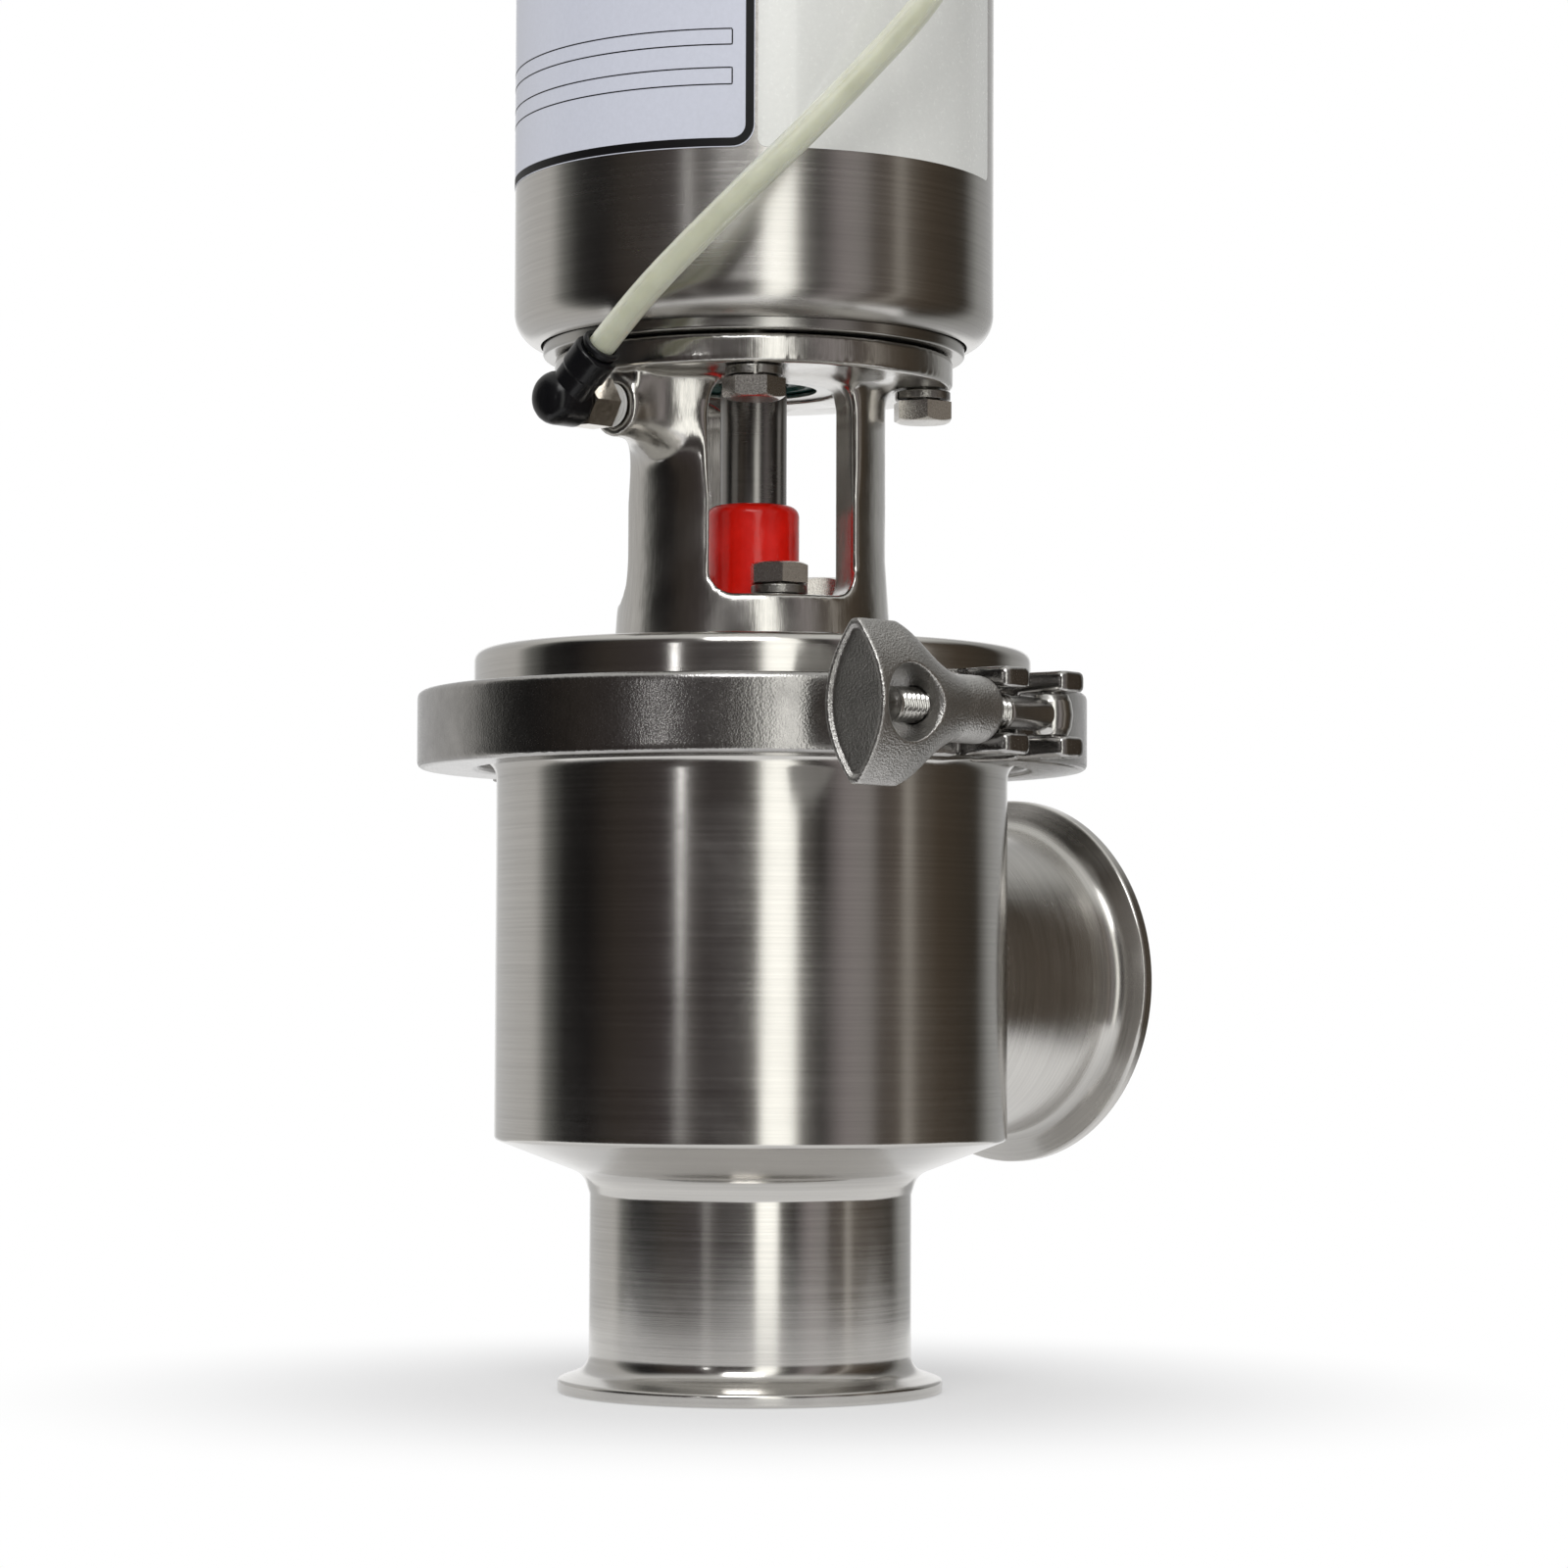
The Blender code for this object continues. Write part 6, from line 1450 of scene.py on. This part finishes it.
lip = HEAD_RIM_RADIUS + 0.6 * MM
inner_roll = ROLL_RADIUS - ROLL_WALL
roll_centre = CYLINDER_RADIUS - ROLL_RADIUS
cylinder = turned(
    "brushed_cylinder",
    [
        (CYLINDER_RADIUS, CYLINDER_TOP_Z, 0.8 * MM),
        *roll(ROLL_RADIUS, 0, -math.degrees(math.acos((lip - roll_centre) / ROLL_RADIUS))),
        *reversed(roll(inner_roll, 0, -math.degrees(math.acos((lip - roll_centre) / inner_roll)))),
        (CYLINDER_BORE, TOP_HEAD_TOP_Z),
        (CYLINDER_BORE + 1.5 * MM, TOP_HEAD_TOP_Z),
        (CYLINDER_BORE + 1.5 * MM, TOP_HEAD_TOP_Z + 2.4 * MM),
        (CYLINDER_BORE, TOP_HEAD_TOP_Z + 2.4 * MM),
        (CYLINDER_BORE, CYLINDER_TOP_Z, 0.8 * MM),
    ],
    facets=180,
    ring=True,
)
cylinder_steel = turned_steel("brushed_cylinder_steel", STEEL, 0.24, stretch=0.75)
dress(cylinder, cylinder_steel, "valve", ["actuator_cylinder"])


# Two labels of printed film are stuck on the cylinder, wrapped round it. The photograph shows
# their lower parts: one is pale blue-white with a heavy black border and two ruled boxes, the
# other is plain glossy cream. Their print is left off, so both faces are bare.
FILM, INK = 0.12 * MM, 0.03 * MM
LABEL_FOOT_Z, LABEL_TOP_Z = 285 * MM, 363 * MM


def rounded_box(left, right, low, high, corner, steps=10):
    """The outline of a box with round corners, as points along it, in order round its middle."""
    outline = filleted(
        [(right, low, corner), (right, high, corner), (left, high, corner), (left, low, corner)],
        arc_steps=steps,
        closed=True,
    )
    dense = []
    for start, end in zip(outline, np.roll(outline, -1, axis=0)):
        count = max(1, math.ceil(np.linalg.norm(end - start) / (2 * MM)))
        dense.append(start + (end - start) * np.linspace(0, 1, count, endpoint=False)[:, None])
    return np.concatenate(dense)


def wrapped(flat, lift):
    """Flat points (way round, height) bent round the cylinder, at the angle way / radius."""
    angle = flat[..., 0] / CYLINDER_RADIUS + CAMERA_SIDE
    radius = CYLINDER_RADIUS + lift
    return np.stack([radius * np.cos(angle), radius * np.sin(angle), flat[..., 1]], -1)


def film_patch(name, outline, thickness):
    """A closed thin film inside an outline.

    Its rings are middle + (outline - middle) * share: they grow on the face and shrink on the back.
    """
    middle = outline.mean(axis=0)
    share = np.linspace(0, 1, 22)[:, None, None]
    face = middle + (outline - middle) * share
    back = middle + (outline - middle) * share[::-1]
    points = np.concatenate([wrapped(face, thickness), wrapped(back, 0.01 * MM)])
    return weld_points(surface(name, points))


def film_border(name, outline, inner):
    """A printed line between two outlines of as many points, as a thin closed ring on the film."""
    points = np.stack(
        [
            wrapped(outline, FILM + INK),
            wrapped(outline, FILM),
            wrapped(inner, FILM),
            wrapped(inner, FILM + INK),
        ]
    )
    return weld_points(surface(name, points, ring=True), 1e-7)


def label_film(name, colour, roughness, coat):
    """Printed and varnished film: faint mottling of the ink, a slight ripple, and gloss."""
    material, nodes, shader, place = plain_finish(name)
    shader.inputs["Coat Weight"].default_value = coat
    shader.inputs["Coat Roughness"].default_value = 0.05
    ink = speckle(nodes, place, 900, 4, 0.7)
    ripple = speckle(nodes, place, 60, 2, 0.4)
    rough = spread(nodes, ink, roughness - 0.04, roughness + 0.04)
    skin_of(nodes, shader, shades(nodes, ink, colour, 0.96, 1.02), rough, ripple, 0.12, 0.0006)
    return material


blue_white = label_film("blue_white_film", (0.6, 0.62, 0.7), 0.35, 0.3)
black_ink = label_film("black_ink", (0.004, 0.004, 0.005), 0.5, 0.0)
black_ink.node_tree.nodes["Principled BSDF"].inputs["Specular IOR Level"].default_value = 0.25
cream = label_film("cream_film", (0.75, 0.755, 0.72), 0.25, 1)


def evenly(outline, count):
    """An outline's points laid again at even steps along it."""
    closed = np.concatenate([outline, outline[:1]])
    way = np.concatenate([[0], np.cumsum(np.linalg.norm(np.diff(closed, axis=0), axis=1))])
    at = np.linspace(0, 1, count, endpoint=False) * way[-1]
    return np.stack([np.interp(at, way, closed[:, k]) for k in (0, 1)], -1)


def framed(name, left, right, low, high, corner, line):
    """A printed frame: a black line of a given width inside a box's outline."""
    outer = evenly(rounded_box(left, right, low, high, corner), 320)
    middle = outer.mean(axis=0)
    along = np.roll(outer, -1, axis=0) - np.roll(outer, 1, axis=0)
    inwards = np.stack([-along[:, 1], along[:, 0]], -1)
    inwards /= np.linalg.norm(inwards, axis=1, keepdims=True)
    inwards *= np.sign(np.sum(inwards * (middle - outer), axis=1, keepdims=True))
    dress(film_border(name, outer, outer + inwards * line), black_ink, "valve")


left_outline = rounded_box(-100 * MM, 0, LABEL_FOOT_Z, LABEL_TOP_Z, 5 * MM)
dress(film_patch("pale_label", left_outline, FILM), blue_white, "valve")
for name, left, right, low, high, corner, line in (
    ("border", -99.8, -0.2, LABEL_FOOT_Z + 0.2 * MM, LABEL_TOP_Z - 0.2 * MM, 5, 1.9),
    ("box_1", -92, -5, 299.2 * MM, 303.3 * MM, 0.3, 0.3),
    ("box_2", -92, -5, 308.3 * MM, 312.2 * MM, 0.3, 0.3),
):
    framed(f"pale_label_{name}", left * MM, right * MM, low, high, corner * MM, line * MM)
right_outline = rounded_box(0.7 * MM, 73.3 * MM, LABEL_FOOT_Z, LABEL_TOP_Z, 2 * MM)
dress(film_patch("cream_label", right_outline, FILM), cream, "valve")


# The lower head is a turned plate in the cylinder's foot. It carries the rod's bushing, seal and
# wiper, and its rim shows as a dark step between the cylinder and the yoke's flange.
head_steel = turned_steel("turned_head_steel", (0.46, 0.45, 0.43), 0.24, stretch=0.4)
head_box, wiper_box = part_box("lower_head"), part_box("rod_wiper")
FIT = 0.3 * MM
HEAD_LOW, HEAD_TOP = 244.8 * MM, head_box[1][2]
SPIGOT_LOW = head_box[0][2]
SPIGOT_RADIUS = 19.4 * MM
rim_roll = inner_roll - FIT
rim_angle = -math.degrees(math.acos((HEAD_RIM_RADIUS - roll_centre) / rim_roll))
rod_bushing_box, rod_seal_box, head_seal_box = (
    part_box(node) for node in ("rod_bushing", "rod_seal", "lower_head_seal")
)
seal_bore, bushing_bore = rod_seal_box[1][0] + FIT, rod_bushing_box[1][0] + FIT
seal_groove = CYLINDER_BORE - FIT - 3.4 * MM
head = turned(
    "turned_lower_head",
    [
        (CYLINDER_BORE - FIT, HEAD_TOP, 0.6 * MM),
        (CYLINDER_BORE - FIT, head_seal_box[1][2] + FIT),
        (seal_groove, head_seal_box[1][2] + FIT),
        (seal_groove, head_seal_box[0][2] - FIT),
        (CYLINDER_BORE - FIT, head_seal_box[0][2] - FIT),
        *roll(rim_roll, 0, rim_angle, steps=8),
        (HEAD_RIM_RADIUS, HEAD_LOW, 0.7 * MM),
        (SPIGOT_RADIUS, HEAD_LOW),
        (SPIGOT_RADIUS, SPIGOT_LOW, 0.4 * MM),
        (8.7 * MM, SPIGOT_LOW),
        (8.7 * MM, rod_seal_box[0][2] - FIT),
        (seal_bore, rod_seal_box[0][2] - FIT),
        (seal_bore, rod_bushing_box[0][2] - FIT),
        (bushing_bore, rod_bushing_box[0][2] - FIT),
        (bushing_bore, HEAD_TOP),
    ],
    facets=160,
    ring=True,
)
head_cuts = [
    round_bar(
        f"head_thread_{angle}", SCREW_HOLE, on_circle(FLANGE_SCREW_CIRCLE, angle, HEAD_LOW - MM),
        on_circle(FLANGE_SCREW_CIRCLE, angle, FLANGE_LOW + 25 * MM),
    )
    for angle in FLANGE_SCREW_ANGLES
]
head_cuts.append(
    round_bar(
        "head_passage", PASSAGE_RADIUS, (PASSAGE_X, 0, HEAD_LOW - MM), (PASSAGE_X, 0, HEAD_TOP + MM)
    )
)
shape_with(head, head_cuts)
dress(head, head_steel, "valve", ["lower_head"], sharp=30)


# The rod's wiper is a dark green ring of hard plastic round the rod, and a thin bright ring lies
# under its edge. Both show through the windows, under the flange.
wiper = turned(
    "green_wiper",
    [
        (19.4 * MM, wiper_box[1][2], 0.3 * MM),
        (19.4 * MM, wiper_box[0][2], 0.5 * MM),
        (12.6 * MM, wiper_box[0][2], 0.3 * MM),
        (11.6 * MM, wiper_box[0][2] + 0.9 * MM, 0.3 * MM),
        (8.25 * MM, wiper_box[0][2] + 0.3 * MM, 0.2 * MM),
        (8.25 * MM, wiper_box[1][2]),
    ],
    facets=96,
    ring=True,
)
dress(wiper, soft_vinyl("green_plastic_ring", (0.008, 0.1, 0.085), 0.3), "valve", ["rod_wiper"])
thin_ring_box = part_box("wiper_ring")
thin_ring = turned(
    "thin_bright_ring",
    [
        (19.7 * MM, thin_ring_box[1][2], 0.2 * MM),
        (19.7 * MM, thin_ring_box[0][2], 0.2 * MM),
        (15 * MM, thin_ring_box[0][2], 0.2 * MM),
        (15 * MM, thin_ring_box[1][2], 0.2 * MM),
    ],
    facets=96,
    ring=True,
)
ring_steel = turned_steel("bright_ring_steel", (0.58, 0.57, 0.55), 0.22, stretch=0.2)
dress(thin_ring, ring_steel, "valve", ["wiper_ring"])


# The top head, which the photograph doesn't show, is a turned steel plate held down by a snap
# ring. Its threaded holes take the air fitting, the supply and a brass vent breather.
top_box, top_seal_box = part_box("top_head"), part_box("top_head_seal")
top_head = turned(
    "turned_top_head",
    [
        (0, TOP_FACE_Z),
        (48 * MM, TOP_FACE_Z, 1.5 * MM),
        (48 * MM, TOP_HEAD_TOP_Z, 0.3 * MM),
        (CYLINDER_BORE - FIT, TOP_HEAD_TOP_Z, 0.6 * MM),
        (CYLINDER_BORE - FIT, top_seal_box[1][2] + FIT),
        (seal_groove, top_seal_box[1][2] + FIT),
        (seal_groove, top_seal_box[0][2] - FIT),
        (CYLINDER_BORE - FIT, top_seal_box[0][2] - FIT),
        (CYLINDER_BORE - FIT, top_box[0][2], 0.6 * MM),
        (0, top_box[0][2]),
    ],
    facets=160,
)
SUPPLY_PLACE = on_circle(31 * MM, 25, TOP_FACE_Z)
VENT_PLACE = on_circle(31 * MM, 150, TOP_FACE_Z)
shape_with(
    top_head,
    [
        round_bar(f"port_{k}", 4.6 * MM, (x, y, z - 12 * MM), (x, y, z + MM))
        for k, (x, y, z) in enumerate((FITTING_PLACE, SUPPLY_PLACE, VENT_PLACE))
    ]
    + [
        round_bar(
            "supply_passage", PASSAGE_RADIUS,
            (*FITTING_PLACE[:2], TOP_FACE_Z - 8.8 * MM), (*SUPPLY_PLACE[:2], TOP_FACE_Z - 8.8 * MM),
        ),
        round_bar(
            "vent_passage", PASSAGE_RADIUS,
            (*VENT_PLACE[:2], top_box[0][2] - MM), (*VENT_PLACE[:2], TOP_FACE_Z - 11 * MM),
        ),
    ],
)
dress(top_head, head_steel, "valve", ["top_head"], sharp=30)
snap_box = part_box("snap_ring")
snap_section = filleted(
    [
        (55.35 * MM, snap_box[1][2], 0.4 * MM),
        (55.35 * MM, snap_box[0][2], 0.4 * MM),
        (48.6 * MM, snap_box[0][2], 0.4 * MM),
        (48.6 * MM, snap_box[1][2], 0.4 * MM),
    ],
    arc_steps=4,
    closed=True,
)
snap_angle = np.linspace(math.radians(5.4), math.radians(354.6), 150)[:, None]
snap_points = np.stack(
    [
        snap_section[:, 0] * np.cos(snap_angle),
        snap_section[:, 0] * np.sin(snap_angle),
        snap_section[:, 1] + 0 * snap_angle,
    ],
    -1,
)
snap_middle = snap_points.mean(axis=1, keepdims=True) + 0 * snap_points
snap_ring = weld_points(
    surface("snap_ring_spring", np.concatenate([snap_middle[:1], snap_points, snap_middle[-1:]]))
)
dress(snap_ring, washer_steel, "valve", ["snap_ring"], sharp=35)


def plated_brass(name, colour, roughness):
    """Nickel-plated or sintered brass: a faint warm cast and small turning marks."""
    material, nodes, shader, place = plain_finish(name, 1.0)
    marks = speckle(nodes, place, 500, 4, 0.6)
    rough = spread(nodes, marks, roughness - 0.04, roughness + 0.06)
    skin_of(nodes, shader, shades(nodes, marks, colour, 0.86, 1.06), rough, marks, 0.1, 0.0003)
    return material


breather = turned(
    "brass_breather",
    [
        (0, 7 * MM),
        (5.5 * MM, 7 * MM, 2.5 * MM),
        (5.5 * MM, 2.2 * MM, 0.3 * MM),
        (5.0 * MM, 1.9 * MM, 0.2 * MM),
        (5.5 * MM, 1.6 * MM, 0.3 * MM),
        (5.5 * MM, 0.3 * MM, 0.2 * MM),
        (4.3 * MM, 0.3 * MM),
        (4.3 * MM, -10 * MM, 0.4 * MM),
        (0, -10 * MM),
    ],
    facets=56,
)
set_down(breather, VENT_PLACE)
dress(breather, plated_brass("sintered_brass", (0.5, 0.36, 0.16), 0.42), "valve", ["vent_breather"])


# Each air fitting is a nickel-plated hexagon with a thread, wound with white sealing tape where it
# goes into its port, and a black moulded elbow that turns on it. The elbow's barrel takes the tube
# through a release collar.
nickel = plated_brass("nickel_plate", (0.66, 0.62, 0.56), 0.17)
NECK, HEX, ELBOW_HEIGHT, BARREL = 2.8 * MM, 6.2 * MM, 13 * MM, 15.4 * MM


def moulded_plastic(name, colour, roughness, grain=700):
    """Moulded plastic: a fine spark-eroded grain and a dull gloss with faint flow marks."""
    material, nodes, shader, place = plain_finish(name)
    fine = speckle(nodes, place, grain, 4, 0.6)
    flow = speckle(nodes, place, 90, 3, distortion=0.8)
    rough = spread(nodes, flow, roughness - 0.05, roughness + 0.07)
    skin_of(nodes, shader, shades(nodes, flow, colour, 0.8, 1.15), rough, fine, 0.15, 0.0003)
    return material


black_nylon = moulded_plastic("black_moulded_nylon", (0.005, 0.005, 0.006), 0.22)
collar_plastic = moulded_plastic("black_collar_plastic", (0.008, 0.008, 0.009), 0.3)
for black in (black_nylon, collar_plastic):
    black.node_tree.nodes["Principled BSDF"].inputs["Specular IOR Level"].default_value = 0.3
white_tape = moulded_plastic("white_sealing_tape", (0.78, 0.77, 0.74), 0.6, grain=2500)


def air_fitting(prefix, port, axis, outlet):
    """A fitting on a port: hexagon, tape, elbow and collar, by the port's axis and the outlet."""
    port, axis, outlet = Vector(port), Vector(axis), Vector(outlet)
    hex_top = NECK + HEX
    middle = hex_top + 0.3 * MM + ELBOW_HEIGHT / 2
    connector = hexagon_bar(
        f"{prefix}_nickel_hexagon",
        [
            (0, middle),
            (3.2 * MM, middle),
            (3.2 * MM, hex_top + 2.4 * MM),
            (5.1 * MM, hex_top + 2.4 * MM),
            (None, hex_top + 2.4 * MM, 5.2 * MM),
            (None, NECK + 0.5 * MM),
            (5.3 * MM, NECK),
            (4.3 * MM, NECK),
            (4.3 * MM, -10.4 * MM),
            (3.7 * MM, -11 * MM),
            (0, -11 * MM),
        ],
        11.1 * MM,
    )
    dress(set_down(connector, port, axis), nickel, "valve", [f"{prefix}_connector"], sharp=25)
    levels = np.linspace(2.5 * MM, 0.3 * MM, 9)
    tape_outline = [(5.0 * MM + 0.12 * MM * math.sin(k * 1.9), z) for k, z in enumerate(levels)]
    tape = turned(
        f"{prefix}_white_tape",
        [*tape_outline, (4.6 * MM, 0.3 * MM), (4.6 * MM, 2.5 * MM)],
        facets=56,
        ring=True,
    )
    dress(set_down(tape, port, axis), white_tape, "valve", [f"{prefix}_thread_tape"])
    elbow = turned(
        f"{prefix}_moulded_elbow",
        [
            (0, middle + ELBOW_HEIGHT / 2),
            (6.2 * MM, middle + ELBOW_HEIGHT / 2 - 0.2 * MM, 4.5 * MM),
            (6.2 * MM, hex_top + 2.7 * MM, 0.7 * MM),
            (3.5 * MM, hex_top + 2.7 * MM),
            (3.5 * MM, middle + 0.3 * MM),
            (0, middle + 0.3 * MM),
        ],
        facets=72,
    )
    set_down(elbow, port, axis)
    centre = port + axis * middle
    barrel = turned(
        f"{prefix}_elbow_barrel",
        [
            (0, BARREL),
            (5.4 * MM, BARREL, 1.0 * MM),
            (5.4 * MM, 9.2 * MM, 0.4 * MM),
            (5.0 * MM, 8.6 * MM, 0.5 * MM),
            (5.0 * MM, 3.5 * MM),
            (0, 3.5 * MM),
        ],
        facets=72,
    )
    shape_with(elbow, [set_down(barrel, centre, outlet)], "UNION")
    shape_with(
        elbow,
        [
            round_bar(
                "tube_hole", 3.5 * MM, centre + outlet * (BARREL - 10 * MM),
                centre + outlet * (BARREL + MM),
            )
        ],
    )
    dress(elbow, black_nylon, "valve", [f"{prefix}_elbow"], sharp=35)
    collar = turned(
        f"{prefix}_release_collar",
        [
            (4.7 * MM, BARREL + 2.1 * MM, 0.5 * MM),
            (4.7 * MM, BARREL + 1.1 * MM, 0.3 * MM),
            (4.1 * MM, BARREL + 0.9 * MM, 0.15 * MM),
            (4.1 * MM, BARREL + 0.3 * MM),
            (3.48 * MM, BARREL + 0.3 * MM),
            (3.48 * MM, BARREL + 2.1 * MM, 0.3 * MM),
        ],
        facets=64,
        ring=True,
    )
    dress(set_down(collar, centre, outlet), collar_plastic, "valve", [f"{prefix}_collar"])


air_fitting("lower", (-AIR_BOSS_REACH, 0, AIR_BOSS_Z), (-1, 0, 0), LOWER_OUTLET)
air_fitting("upper", FITTING_PLACE, (0, 0, 1), UPPER_OUTLET)


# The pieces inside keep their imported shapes: rubber seals, plastic bushings, the turned plug and
# piston, and the spring, each with the finish of its kind.
rubber = moulded_plastic("black_rubber_seal", (0.016, 0.016, 0.016), 0.55, grain=1500)
white_ring = moulded_plastic("white_bearing_plastic", (0.7, 0.69, 0.65), 0.4, grain=900)
plug_steel = cast_steel("turned_plug_steel", (0.52, 0.51, 0.49), 0.24, speck=0.2, wear=0.3)
spring_wire = cast_steel("oiled_spring_wire", (0.2, 0.19, 0.18), 0.35, speck=0.3, wear=0.3)
for finish, kept in (
    (rubber, ("body_gasket", "stem_seal", "rod_seal")),
    (rubber, ("lower_head_seal", "piston_seal", "top_head_seal")),
    (white_ring, ("stem_bushing", "rod_bushing", "plug_seal", "piston_guide_ring")),
    (plug_steel, ("valve_plug", "plug_cap", "piston")),
    (plug_steel, ("spring_guide", "piston_nut", "coupling_nut")),
    (spring_wire, ("return_spring",)),
):
    for node in kept:
        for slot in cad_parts[node].material_slots:
            slot.material = finish
